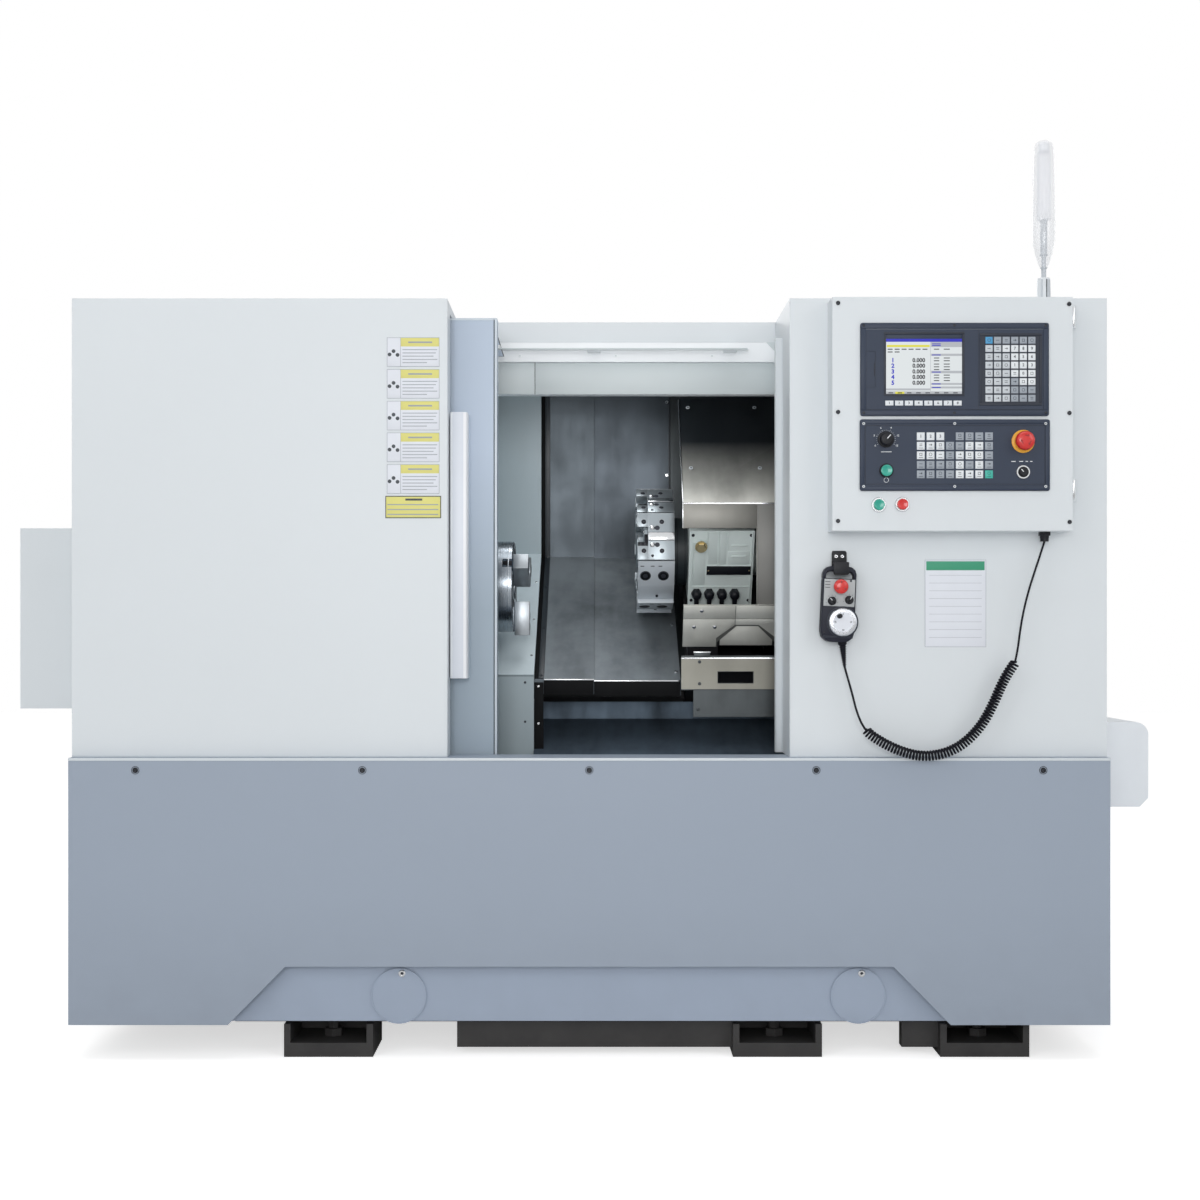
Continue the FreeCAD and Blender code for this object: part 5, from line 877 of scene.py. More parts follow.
# ---- Control box -----------------------------------------------------------------------------------------
SCREEN = (619.0, 777.0, 1402.0, 1517.0)          # left, right, bottom, top
SCREEN_FACE = -42.3
KEY_FACE = -45.1
PRESS_GAP = 4.6                                   # a little more than the stroke of a push button
ESTOP_AT = (904, UNIT_FACE, 1303)
KEY_SWITCH_AT = (904, UNIT_FACE, 1239)
FEED_KNOB_AT = (618, UNIT_FACE, 1307)
CYCLE_AT = (619, UNIT_FACE, 1242)
POWER_ON_AT, POWER_OFF_AT = (604, CONTROL_FACE, 1171), (653, CONTROL_FACE, 1172)
DIAL_AT = (618.5, 0, 1307)                        # middle of the scale round the feed knob
STATUS_BOXES = ((0.055, 0.15), (0.27, 0.31), (0.58, 0.625), (0.80, 0.835), (0.865, 0.90))
STATUS_LINES = (0.18, 0.34, 0.39, 0.45, 0.50, 0.55, 0.65, 0.70, 0.75)
STATUS_TITLES = (0.085, 0.115, 0.285, 0.595, 0.81, 0.875)
AXIS_ROWS = (1472.0, 1460.5, 1448.5, 1437.0, 1425.0)
KEY_COLUMNS = tuple(833.0 + 17.84 * n for n in range(6))
KEY_ROWS = tuple(1513.7 - 17.26 * n for n in range(8))
MODE_COLUMNS = tuple(690.8 + 20.3 * n for n in range(8))
MODE_ROWS = tuple(1313.5 - 19.8 * n for n in range(5))
KEYPAD_SHADES = ("bggggg", "llwwww", "lllwww", "lllwww", "lllwww", "lllgww", "lllggg", "lllggg")
MODE_SHADES = ("www-gggg", "wwwggwwg", "wwwgwwwg", "ggggwgwg", "ggggwwwt")
NUMBER_KEYS = {(3, 1): "7", (4, 1): "8", (5, 1): "9", (3, 2): "4", (4, 2): "5", (5, 2): "6",
               (3, 3): "1", (4, 3): "2", (5, 3): "3", (4, 4): "0"}


def screen_field(piece, left, right, top, bottom, material, lift=0.0):
    """A lit field of the screen, placed in shares of the screen's width and height."""
    width, height = SCREEN[1] - SCREEN[0], SCREEN[3] - SCREEN[2]
    piece.block((SCREEN[0] + left * width, SCREEN[0] + right * width), (SCREEN_FACE - 0.15 - lift, -41.6),
                (SCREEN[3] - bottom * height, SCREEN[3] - top * height), material=material)


def screen():
    """The lit screen: pale page, blue title bar, yellow line, five rows of figures and status boxes."""
    pale, blue, yellow, ink, grey = range(5)
    piece = Piece("unit_screen", SCREEN_PALE, SCREEN_BLUE, SCREEN_YELLOW, SCREEN_INK, SCREEN_GREY)
    screen_field(piece, 0, 1, 0, 1, pale)
    screen_field(piece, 0, 1, 0, 0.055, blue, 0.1)
    screen_field(piece, 0.01, 0.575, 0.11, 0.15, yellow, 0.1)
    for top, count in ((0.18, 6), (0.23, 2)):
        for n in range(count):
            screen_field(piece, 0.02 + n * 0.092, 0.085 + n * 0.092, top, top + 0.018, ink, 0.1)
    for n, z in enumerate(AXIS_ROWS):
        piece.figures(str(n + 1), (633, SCREEN_FACE - 0.3, z), 9.0, blue, weight=0.06)
        piece.figures("0.000", (687, SCREEN_FACE - 0.3, z), 8.8, ink, weight=0.05)
    for top, bottom in STATUS_BOXES:
        screen_field(piece, 0.59, 1, top, bottom, grey, 0.1)
    for top in STATUS_LINES:
        for left, right in ((0.63, 0.70), (0.76, 0.84)):
            screen_field(piece, left, right, top, top + 0.016, ink, 0.1)
    for top in STATUS_TITLES:
        screen_field(piece, 0.605, 0.72, top, top + 0.016, blue, 0.2)
    screen_field(piece, 0, 0.585, 0.90, 0.935, grey, 0.1)
    screen_field(piece, 0, 1, 0.953, 1, grey, 0.1)
    screen_field(piece, 0.12, 0.24, 0.958, 1, yellow, 0.2)
    for n in range(8):
        screen_field(piece, 0.03 + n * 0.122, 0.09 + n * 0.122, 0.972, 0.988, ink, 0.3)
    screen_field(piece, 0.583, 0.588, 0.055, 0.953, grey, 0.1)
    piece.close("panel", "glass")


def key(piece, x, z, width, height, material, face=UNIT_FACE):
    """One membrane key with soft edges."""
    piece.strip(face, (x - width / 2, x + width / 2), 1.1, (z - height / 2, z + height / 2), 0.5, material)


def keyboard():
    """The keys beside the screen, the row of eight under it, and the operator's keys below."""
    shades = {"w": 0, "l": 1, "g": 2, "b": 3, "t": 4}
    piece = Piece("unit_keys", KEY_WHITE, KEY_LIGHT, KEY_GREY, KEY_BLUE, KEY_GREEN, KEY_INK)
    ink = 5
    for row, line in enumerate(KEYPAD_SHADES):
        for column, shade in enumerate(line):
            x, z = KEY_COLUMNS[column], KEY_ROWS[row]
            key(piece, x, z, 14.9, 14.2, shades[shade])
            number = NUMBER_KEYS.get((column, row))
            if number:
                piece.figures(number, (x, KEY_FACE - 0.05, z), 6.4, ink)
            else:
                key_mark(piece, x, z, row + column, ink)
    for row, line in enumerate(MODE_SHADES):
        for column, shade in enumerate(line):
            if shade in shades:
                x, z = MODE_COLUMNS[column], MODE_ROWS[row]
                key(piece, x, z, 16.3, 16.3, shades[shade])
                if row == 0 and column < 3:
                    piece.figures(str(column + 1), (x, KEY_FACE - 0.05, z), 6.5, ink)
                else:
                    key_mark(piece, x, z + 2, row * 2 + column, ink)
                    piece.strip(KEY_FACE, (x - 4.2, x + 4.2), 0.15, (z - 5.2, z - 4.3), 0, ink, 0.1)
    for n in range(8):
        x = 625.3 + 20.3 * n
        key(piece, x, 1382.7, 17.0, 10.2, 0, -44.4)
        piece.figures(str(n + 1), (x, -45.6, 1382.7), 5.4, ink)
    piece.close("panel", "black_plastic")


def key_mark(piece, x, z, kind, ink):
    """A small plain sign on a key: a ring, a bar, a pair of bars, an arrow or a square."""
    thick = (KEY_FACE - 0.12, KEY_FACE + 0.1)

    def stroke(left, right, low, high, spot=None):
        piece.block((x + left, x + right), thick, (z + low, z + high), material=ink, place=spot)

    kind %= 5
    if kind == 0:
        for turn in range(8):
            stroke(-1.3, 1.3, 2.5, 3.2, around((x, KEY_FACE, z), "Y", turn * 45))
    elif kind == 1:
        stroke(-3.4, 3.4, -0.5, 0.5)
    elif kind == 2:
        for shift in (-1.7, 1.7):
            stroke(-3, 3, shift - 0.5, shift + 0.5)
    elif kind == 3:
        stroke(-3.2, 1.0, -0.5, 0.5)
        piece.plate([(x + 1, z - 2.4), (x + 3.6, z), (x + 1, z + 2.4)], *thick, material=ink)
    else:
        for shift in (-2.4, 2.4):
            stroke(-2.9, 2.9, shift - 0.4, shift + 0.4)
            stroke(shift - 0.4, shift + 0.4, -2.8, 2.8)


def strips_round(left, right, bottom, top, width):
    """The four strips of a frame round an opening, each as its span across and its span up."""
    inner = (bottom + width, top - width)
    return (((left, right), (top - width, top)), ((left, right), (bottom, bottom + width)),
            ((left, left + width), inner), ((right - width, right), inner))


def frame_round(piece, left, right, bottom, top, width, front, back, material=0, bevel=0.6):
    """A flat frame of four strips that faces front or back."""
    for x, z in strips_round(left, right, bottom, top, width):
        piece.block(x, (front, back), z, bevel, material)


def unit_faces():
    """Moulded faces of the two units: raised frames, seams, a painted highlight under the top rim, keypad
    tray, side flap and screws.
    """
    piece = Piece("unit_faces", PANEL_GREY, PANEL_DARK, BLACK_OXIDE, KEY_INK, KEY_WHITE, PANEL_EDGE_HIGHLIGHT)
    plain, dark, metal, socket, white, edge = range(6)

    def rim(left, right, bottom, top, width, rise, material, bevel, sink=0.4):
        frame_round(piece, left, right, bottom, top, width, UNIT_FACE - rise, UNIT_FACE + sink, material,
                    bevel)

    rim(566, 957, 1357, 1549, 11, 1.6, plain, 1.0, 0.5)
    # Light line under the top rim: painted highlight of its bevel.
    piece.strip(UNIT_FACE, (569, 954), 1.0, (1536.2, 1537.6), 0.3, edge)
    piece.strip(UNIT_FACE, (569, 954), 0.9, (1368.6, 1369.4), 0.2, dark)
    piece.strip(UNIT_FACE, (810.6, 811.6), 0.3, (1368, 1537), 0, dark)
    rim(813.6, 943.2, 1377.7, 1528.3, 5.0, 1.3, dark, 0.7)
    piece.strip(UNIT_FACE, (818, 939), 0.1, (1382, 1524), 0, dark, 0.3)
    rim(568.5, 596.5, 1415.7, 1491, 0.9, 0.35, dark, 0.2)
    piece.strip(UNIT_FACE, (593.5, 595.2), 0.9, (1440, 1466), 0.4, dark, 0.3)
    rim(614, 782, 1397.5, 1531, 4.6, 0.8, dark, 0.6)
    piece.strip(SCREEN_FACE, (617, 779), 0.6, (1517, 1528), 0.3, plain, 0.8)
    for x in (571.7, 760.7, 951.0):
        for z in (1544.6, 1362.4):
            piece.screw((x, UNIT_FACE - 1.4, z), 2.8, metal=metal, socket=socket, rise=1.0)
    rim(565, 959, 1201, 1348, 8.5, 1.2, plain, 0.8)
    rim(575, 950, 1213.5, 1336.5, 0.9, 0.5, dark, 0.2)
    for x in (571.7, 761.4, 951.0):
        for z in (1340.0, 1209.0):
            piece.screw((x, UNIT_FACE - 1.0, z), 2.9, metal=white, socket=socket, rise=0.9)
    knob_scale(piece, white)
    for x, width in ((884, 9), (900, 8), (912, 5), (921, 5)):
        piece.strip(UNIT_FACE, (x - width / 2, x + width / 2), 0.2, (1260.4, 1262.0), 0, white, 0.2)
    piece.strip(UNIT_FACE, (608, 630), 0.2, (1280.6, 1281.8), 0, white, 0.2)
    piece.turning([(0, 5.2), (0.25, 5.2), (0.25, 4.4), (0, 4.4)], (619, UNIT_FACE, 1222.5), "-y", 20,
                  white)
    piece.close("panel", "grey_plastic")


def knob_scale(piece, white):
    """Ticks and figures of the feed knob's dial."""
    x, _, z = DIAL_AT
    for n in range(21):
        long = 2.6 if n % 4 == 0 else 1.4
        tick = around(DIAL_AT, "Y", -120 + n * 12)
        piece.block((x - 0.25, x + 0.25), (UNIT_FACE - 0.2, UNIT_FACE + 0.2), (z + 18.6, z + 18.6 + long), 0,
                    white, tick)
    for n in range(6):
        turn = math.radians(-120 + n * 48)
        piece.figures(str(n * 3), (x + 26 * math.sin(turn), UNIT_FACE - 0.1, z + 26 * math.cos(turn)), 4.2,
                      white)


def collar(name, at, profile, *finishes):
    """A round collar fixed to the control box, with one profile for each finish."""
    piece = Piece(name, *finishes)
    for n, part in enumerate(profile):
        piece.turning(part, at, "-y", 40, n)
    return piece.close("panel", "bright")


def emergency_stop():
    """Yellow collar and red mushroom head with its three turning arrows."""
    collar("estop_collar", ESTOP_AT,
           [[(0, 24), (1.8, 24), (2.4, 23), (2.4, 15.6), (0, 15.6)]], SAFETY_YELLOW)
    piece = Piece("estop_head", RED_PLASTIC, RED_DARK, BLACK_PLASTIC)
    stem(piece, ESTOP_AT, 9, 2)
    piece.turning([(7.2, 12.5), (9, 12.5), (9.6, 14), (11, 17.6), (12.5, 19.4), (17, 20), (22.5, 19.2),
                   (25.6, 17.2), (27.2, 14.2), (27.8, 9), (28, 0)], ESTOP_AT, "-y", 56)
    for n in range(3):
        place = around(ESTOP_AT, "Y", n * 120)
        piece.plate([(900, 1313.5), (906.5, 1313.5), (906.5, 1315.6), (911, 1312.4), (906.5, 1309.2),
                     (906.5, 1311.3), (901.6, 1311.3)], -71.95, -70.5, material=1, place=place)
    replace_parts(piece.close("estop_button", "red_plastic"), "estop_button")


def feed_override():
    """Ribbed knob with a white pointer line."""
    feed = Piece("feed_knob_cap", BLACK_PLASTIC, MARK_WHITE)
    feed.turning([(0.3, 17), (2.2, 17), (3.0, 15.8), (3.4, 13.6), (15.6, 12.4), (16.6, 11.6), (17, 10.4),
                  (17, 0)], FEED_KNOB_AT, "-y", 48)
    for n in range(24):
        place = around(FEED_KNOB_AT, "Y", n * 15)
        feed.block((617.2, 618.8), (UNIT_FACE - 15.2, UNIT_FACE - 3.6), (1319.0, 1320.2), 0.4, 0, place)
    feed.block((617.0, 619.0), (UNIT_FACE - 17.3, UNIT_FACE - 16.8), (1307.5, 1318), material=1,
               place=around(FEED_KNOB_AT, "Y", 42))
    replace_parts(feed.close("feed_knob", "black_plastic"), "feed_knob")


def key_switch():
    """Bright collar and the turning plug with its pointer line."""
    collar("key_switch_collar", KEY_SWITCH_AT,
           [[(0, 14.6), (2.0, 14.6), (3.4, 13.6), (3.4, 11.2), (0, 11.2)],
            [(0, 11.0), (2.4, 11.0), (2.4, 0)]], BRIGHT_STEEL, BLACK_PLASTIC)
    piece = Piece("key_plug", BLACK_PLASTIC, MARK_WHITE)
    piece.turning([(2.5, 8.6), (6.2, 8.6), (7.0, 7.8), (7.0, 0)], KEY_SWITCH_AT, "-y", 32)
    piece.block((903.1, 904.9), (UNIT_FACE - 7.3, UNIT_FACE - 6.8), (1239.5, 1246.2), material=1,
                place=around(KEY_SWITCH_AT, "Y", -42))
    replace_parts(piece.close("mode_key", "black_plastic"), "mode_key")


def push_buttons():
    """Cycle start and the two power buttons, each cap on its own moving body."""
    collar("cycle_collar", CYCLE_AT, [[(0, 14.8), (1.6, 14.8), (2.6, 13.8), (2.6, 12.3), (0, 12.3)]],
           BLACK_PLASTIC)
    cap("cycle_cap", "cycle_button", CYCLE_AT, 12.0, 9.0, GREEN_PLASTIC, "green_plastic")
    for name, at, finish, slot in (("power_on", POWER_ON_AT, GREEN_PLASTIC, "green_plastic"),
                                   ("power_off", POWER_OFF_AT, RED_PLASTIC, "red_plastic")):
        collar(name + "_collar", at, [[(0, 15.6), (1.8, 15.6), (3.4, 14.4), (3.4, 12.0), (0, 12.0)]],
               BRIGHT_STEEL)
        cap(name + "_cap", name + "_button", at, 11.4, 9.5, finish, slot)


def stem(piece, at, length, material=0):
    """The square stem that guides a push button in the hole behind it."""
    x, y, z = at
    piece.block((x - 5.8, x + 5.8), (y - length, y + 9), (z - 5.8, z + 5.8), 0, material)


def cap(name, node, at, radius, reach, finish, slot):
    """A push button's cap with a dished face, far enough off the panel to be pressed."""
    piece = Piece(name, finish, BLACK_PLASTIC)
    stem(piece, at, 6, 1)
    piece.turning([(PRESS_GAP, radius), (reach - 1.4, radius), (reach - 0.4, radius - 0.5),
                   (reach, radius - 1.6), (reach - 0.2, radius - 2.6), (reach - 1.0, radius * 0.4),
                   (reach - 1.1, 0)], at, "-y", 40)
    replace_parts(piece.close(node, slot), node)


def box_details():
    """Screws, hinges and the folded rim of the control box."""
    piece = Piece("box_screws", BLACK_OXIDE, KEY_INK)
    for x, z in ((519, 1592), (519, 1364.7), (519, 1137.4), (1001, 1590), (1001.5, 1362.5),
                 (1002, 1135.3)):
        piece.screw((x, CONTROL_FACE, z), 4.4, rise=2.4)
    piece.close("panel", "black_plastic")
    seam = Piece("box_seams", TRIM_DARK, BRIGHT_STEEL)
    seam.block((507.4, 509.4), (-20.8, -19.4), (1119, 1603), 0.3, 0)
    for z in (1180, 1542):
        for low in (-19, -33):
            seam.block((1011.5, 1014.7), (low, low + 9), (z + 4, z + 44), 0.6, 1)
        for step in (10, 24, 38):
            seam.screw((1014.0, -28.5, z + step), 2.2, "x", 1, 0, 1.0)
    seam.close("machine", "bright")


screen()
keyboard()
unit_faces()
emergency_stop()
feed_override()
key_switch()
push_buttons()
box_details()
# ---- Chuck and turret ------------------------------------------------------------------------------------
JAW_ANGLES = (30, 150, 270)
STATION_ANGLES = tuple(12 + 45 * n for n in range(8))
TURNING_STATIONS = (0, 1, 2, 4)
TURRET_LEFT, TURRET_RIGHT = 111.0, 198.0
HOLDER_SEAT, HOLDER_TOP = 118.0, 140.0            # distances from the turret's axis
HOLDER_FLARE = 8.5


def turned_up(angle, centre):
    """A turn round a shaft's axis that lifts what points at the operator by an angle."""
    return around((0, *centre), "X", -angle)


def chuck_jaw(n):
    """A soft top jaw with its serrated foot, T-nut and two counterbored screws."""
    y, z = SPINDLE_AT
    place = turned_up(JAW_ANGLES[n], SPINDLE_AT)
    piece = Piece("soft_jaw_%d" % (n + 1), JAW_STEEL, CHIP_STEEL, BLACK_OXIDE, KEY_INK)
    steel, dark, oxide, socket = range(4)
    piece.block((-173, -139.2), (y - 112, y - 34), (z - 19, z + 19), 0.8, steel, place)
    piece.block((-197.5, -173.6), (y - 103.5, y - 36), (z - 10.9, z + 10.9), 0.6, dark, place)
    for k in range(19):
        piece.block((-174.4, -172.8), (y - 110 + k * 4, y - 108 + k * 4), (z - 18.4, z + 18.4), 0.4, dark,
                    place)
    piece.plate([(-197, z - 4.5), (-188, z - 7), (-176, z - 7), (-176, z + 7), (-188, z + 7),
                 (-197, z + 4.5)], y - 104.3, y - 103, material=oxide, bevel=0.3, place=place)
    for along in (92, 68):
        piece.turning([(0, 9.6), (0.8, 9.0), (0.8, 0)], (-139.3, y - along, z), "x", 32, dark, place)
        piece.screw((-139.2, y - along, z), 7.6, "x", oxide, socket, 0.9, place)
    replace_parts(piece.close("jaw_%d" % (n + 1), "steel"), "jaw_%d" % (n + 1))


def chuck_details():
    """Mounting screws, dust cover and slot edges on the chuck's face, and oil holes in its rim."""
    y, z = SPINDLE_AT
    piece = Piece("chuck_details", CHUCK_STEEL, BLACK_OXIDE, KEY_INK, BRASS)
    piece.turning([(-0.4, 28.4), (1.2, 28.4), (2, 27.6), (2, 26.3), (-0.4, 26.3)], (-174, y, z), "x", 56)
    for n in range(3):
        place = turned_up(90 + n * 120, SPINDLE_AT)
        piece.turning([(0, 11), (0.5, 10.4), (0.5, 0)], (-174.1, y - 78, z), "x", 32, 1, place)
        piece.screw((-173.9, y - 78, z), 8.4, "x", 1, 2, 1.4, place)
        piece.screw((-173.9, y - 44, z), 3.4, "x", 1, 2, 1.0, place)
        piece.turning([(0, 4.4), (1.2, 4.0), (1.6, 2.2), (1.6, 0)], (-236, y - 104.8, z), "-y", 20, 3, place)
    for x in (-250, -186):
        piece.turning([(0, 105.25), (1.2, 105.4), (2.4, 105.25), (2.4, 104.6), (0, 104.6)],
                      (x, y, z), "x", 96)
    piece.close("spindle", "bright")


def wedge_outline(low, high):
    """Outline of a holder between two heights on its station, wider at its outer face."""
    y, z = TURRET_AT
    flare_low, flare_high = (HOLDER_FLARE if abs(edge) > 40 else 0 for edge in (low, high))
    return [(y - HOLDER_SEAT, z + low), (y - HOLDER_SEAT, z + high),
            (y - HOLDER_TOP, z + high + flare_high), (y - HOLDER_TOP, z + low - flare_low)]


def turning_holder(piece, angle):
    """Holder for a turning tool: two clamping blocks, a wedge between them, screws and nozzles."""
    y, z = TURRET_AT
    place = turned_up(angle, TURRET_AT)
    steel, oxide, socket, bright = range(4)
    piece.plate(wedge_outline(-48, 48), 136, TURRET_RIGHT, "yz", 0.9, steel, place)
    for low, high in ((23, 48), (-48, -23)):
        piece.plate(wedge_outline(low, high), TURRET_LEFT, 136.6, "yz", 0.9, steel, place)
    piece.block((137, TURRET_RIGHT - 0.5), (y - 142.2, y - 130), (z - 8.5, z + 8.5), 0.7, bright, place)
    for edge in (-10.5, 9.3):
        piece.block((136.4, TURRET_RIGHT - 0.4), (y - 140.5, y - 138), (z + edge, z + edge + 1.2),
                    material=socket, place=place)
    for side in (-1, 1):
        for x in (126, 168):
            piece.turning([(0, 6.2), (0.9, 5.6), (0.9, 0)], (x, y - 139.6, z + side * 35), "-y", 24,
                          socket, place)
            piece.screw((x, y - 139.9, z + side * 35), 4.2, "-y", oxide, socket, 0.9, place)
        piece.turning([(0, 6.0), (2.2, 5.2), (3.4, 3.6), (3.9, 1.6), (3.0, 1.4), (3.0, 0)],
                      (146, y - 139.8, z + side * 20.5), "-y", 24, bright, place)
        piece.turning([(0, 6.0), (0.8, 5.6), (0.8, 0)], (157.5, y - 139.8, z + side * 20.5), "-y", 24,
                      socket, place)
    piece.screw((146, y - 139.9, z - 47), 3.4, "-y", oxide, socket, 0.9, place)
    piece.block((112.5, 135), (y - 137, y - 130), (z - 22.5, z - 13), 0.8, oxide, place)
    for x in (118.5, 129.5):
        piece.screw((x, y - 137, z - 17.8), 3.2, "-y", oxide, socket, 1.6, place)


def boring_holder(piece, angle):
    """Holder for a boring bar: a bevelled block with a sleeve, held by two large screws."""
    y, z = TURRET_AT
    place = turned_up(angle, TURRET_AT)
    steel, oxide, socket, bright, light = range(5)
    outline = [(y - HOLDER_SEAT, z - 48), (y - HOLDER_SEAT, z + 48), (y - HOLDER_TOP, z + 56),
               (y - HOLDER_TOP, z - 12), (y - 129, z - 54)]
    # The block is in the lighter copy of the tool steel: painted light.
    piece.plate(outline, TURRET_LEFT + 2, TURRET_RIGHT, "yz", 0.9, light, place)
    for x in (130, 172):
        piece.turning([(0, 13.4), (0.7, 12.6), (0.7, 0)], (x, y - 139.6, z + 16), "-y", 40, socket, place)
        piece.screw((x, y - 139.4, z + 16), 10.6, "-y", oxide, socket, 1.6, place)
    for x in (118, 142, 160):
        piece.block((x, x + 9), (y - 140.4, y - 139), (z + 41, z + 43.4), 0.5, socket, place)
    piece.turning([(0, 21), (1.0, 22.5), (15, 22.5), (15, 0)], (TURRET_LEFT + 0.4, y - 112, z - 14), "x",
                  40, steel, place)
    piece.turning([(0, 19), (0.6, 18.4), (0.6, 0)], (TURRET_LEFT + 0.8, y - 112, z - 14), "-x", 40,
                  bright, place)
    piece.turning([(0, 12.8), (0.4, 12.6), (0.4, 0)], (TURRET_LEFT + 0.2, y - 112, z - 14), "-x", 32,
                  socket, place)
    for step in (-1, 1):
        piece.screw((158, y - 133.4, z - 36 + step * 7), 3.4, "-y", oxide, socket, 1.2, place)


def tool_holders():
    """All eight holders. Turning and boring stations stand as the photograph shows them."""
    piece = Piece("turret_holders", TOOL_STEEL, BLACK_OXIDE, KEY_INK, BRIGHT_STEEL, LIT_HOLDER_STEEL)
    for n, angle in enumerate(STATION_ANGLES):
        if n in TURNING_STATIONS:
            turning_holder(piece, angle)
        else:
            boring_holder(piece, angle)
    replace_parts(piece.close("turret", "steel"), "tool_holders")


def disc_details():
    """Ring of screws, coolant plugs, station figures and the cover in the middle of the disc."""
    y, z = TURRET_AT
    piece = Piece("disc_details", TOOL_STEEL, BLACK_OXIDE, KEY_INK, BRIGHT_STEEL)
    piece.turning([(0, 40), (2, 40), (4.6, 37), (4.6, 0)], (115.6, y, z), "-x", 56)
    piece.turning([(0, 88), (1.4, 86.6), (1.4, 52), (0, 52)], (128.2, y, z), "-x", 72)
    facing = Matrix.Translation((126.3, y, z)) @ Matrix.Rotation(-math.pi / 2, 4, "Z")
    for n, angle in enumerate(STATION_ANGLES):
        place = turned_up(angle, TURRET_AT)
        piece.screw((127, y - 68, z), 6.2, "-x", 1, 2, 2.6, place)
        piece.screw((116, y - 30, z), 3.4, "-x", 1, 2, 5.2, place)
        piece.turning([(0, 4.2), (1.2, 3.6), (1.2, 0)], (127.9, y - 98, z + 20), "-x", 20, 3, place)
        piece.block((128.1, 140), (y - 118.4, y - 108), (z - 11, z + 11), 0.5, 1, place)
        lift = math.radians(angle + 16)
        spot = Matrix.Translation((0, -96 * math.cos(lift), 96 * math.sin(lift)))
        piece.figures(str(n + 1), (0, 0, 0), 11, 2, spot @ facing)
    piece.close("turret", "steel")


for number in range(3):
    chuck_jaw(number)
chuck_details()
tool_holders()
disc_details()
# ---- Machining chamber -----------------------------------------------------------------------------------
SLOPE = slope_place(0, 0, 0)                      # block coordinates become (x, up, off)
COVER_KNEE_UP = 469.0
COVER_KNEE_Z = 1102.0
HOOD_LEAN = math.atan2(272.0, 230.0)
HOOD_LEFT, HOOD_RIGHT, HOOD_FACE = 214.0, 640.0, 330.0
GUARD_FACE = 300.0                                # front of the headstock guard's folded box
SADDLE_FACE = 300.0                               # front of the saddle guard
HEADER_FACE = 308.0                               # front of the inner header under the roof
GUARD_STRIP = (-118, -105)                        # the strip beside the guard, across
# Across: the near-black half of that strip along the guard's edge, painted shadow.
GUARD_EDGE_SHADOW = (-127.6, -118)
FOOT_FACE = -79.0                                 # face of the hood's foot plate, up the slope
CASTING_FACE = 60.2                               # face of the turret housing, up the slope
PORTS = (252, 282, 312, 342)


def guard_trim_and_shadow():
    """Dark strip that closes the gap between the headstock guard and the fixed cover, with screws. Its
    near-black half along the guard's edge, and the near-black strip beside the guard's lower box, are painted
    shadow on the trim.
    """
    piece = Piece("guard_trim_and_shadow", TRIM_DARK, BRIGHT_STEEL, KEY_INK, BLACK_TRIM_AND_SHADOW)
    # Dark trim on the slope and up the back; the near-black halves along the guard's edge and the near-black
    # strip beside its lower box are painted shadow.
    piece.block(GUARD_STRIP, (-139, COVER_KNEE_UP), (-164.9, -162.6), 0.6, 0, SLOPE)
    piece.block(GUARD_EDGE_SHADOW, (-139, COVER_KNEE_UP), (-164.9, -163.8), 0.3, 3, SLOPE)
    piece.block(GUARD_STRIP, (834.4, 837.2), (COVER_KNEE_Z, 1538), 0.6, 0)
    piece.block(GUARD_EDGE_SHADOW, (835.6, 837.2), (COVER_KNEE_Z, 1538), 0.3, 3)
    piece.block((-127.6, -106), (303, 304.6), (566, 790), 0.5, 3)
    for x, z in ((-117.5, 781), (-117.5, 695.7), (-117.5, 600)):
        piece.screw((x, 303, z), 2.6, metal=1, socket=2, rise=1.6)
    for up in (-128, 90, 300):
        piece.screw((-111.5, up, -162.7), 3.2, "z", 0, 2, 1.6, SLOPE)
    piece.screw((-110.5, 462, -162.7), 4.0, "z", 1, 2, 2.0, SLOPE)
    for z in (1190, 1330, 1430):
        piece.screw((-111.5, 834.6, z), 3.2, metal=0, socket=2, rise=1.6)
    piece.close("machine", "inner_grey")


def guard_seams():
    """Folded front box of the headstock guard: its bright top edge, seam and screws."""
    piece = Piece("guard_seams", GUARD_GREEN, KEY_INK, BRIGHT_STEEL)
    piece.strip(GUARD_FACE, (-302, -128.4), 1.6, (805.5, 808.5), 0.7, sink=0)
    piece.strip(GUARD_FACE, (-302, -128.4), 0.5, (804.2, 805.2), 0, 1, 0.1)
    for x, z in ((-148, 790), (-148, 700), (-148, 612), (-214, 612), (-214, 790)):
        piece.screw((x, GUARD_FACE, z), 2.8, metal=1, socket=1, rise=1.2)
    for up in (-60, 110, 300):
        piece.screw((-136, up, -149.9), 3.2, "z", 2, 1, 1.5, SLOPE)
    y, z = SPINDLE_AT
    piece.turning([(0, 118), (1.6, 117), (1.6, 112.6), (0, 112.6)], (-262, y, z), "x", 72)
    piece.close("machine", "inner_grey")


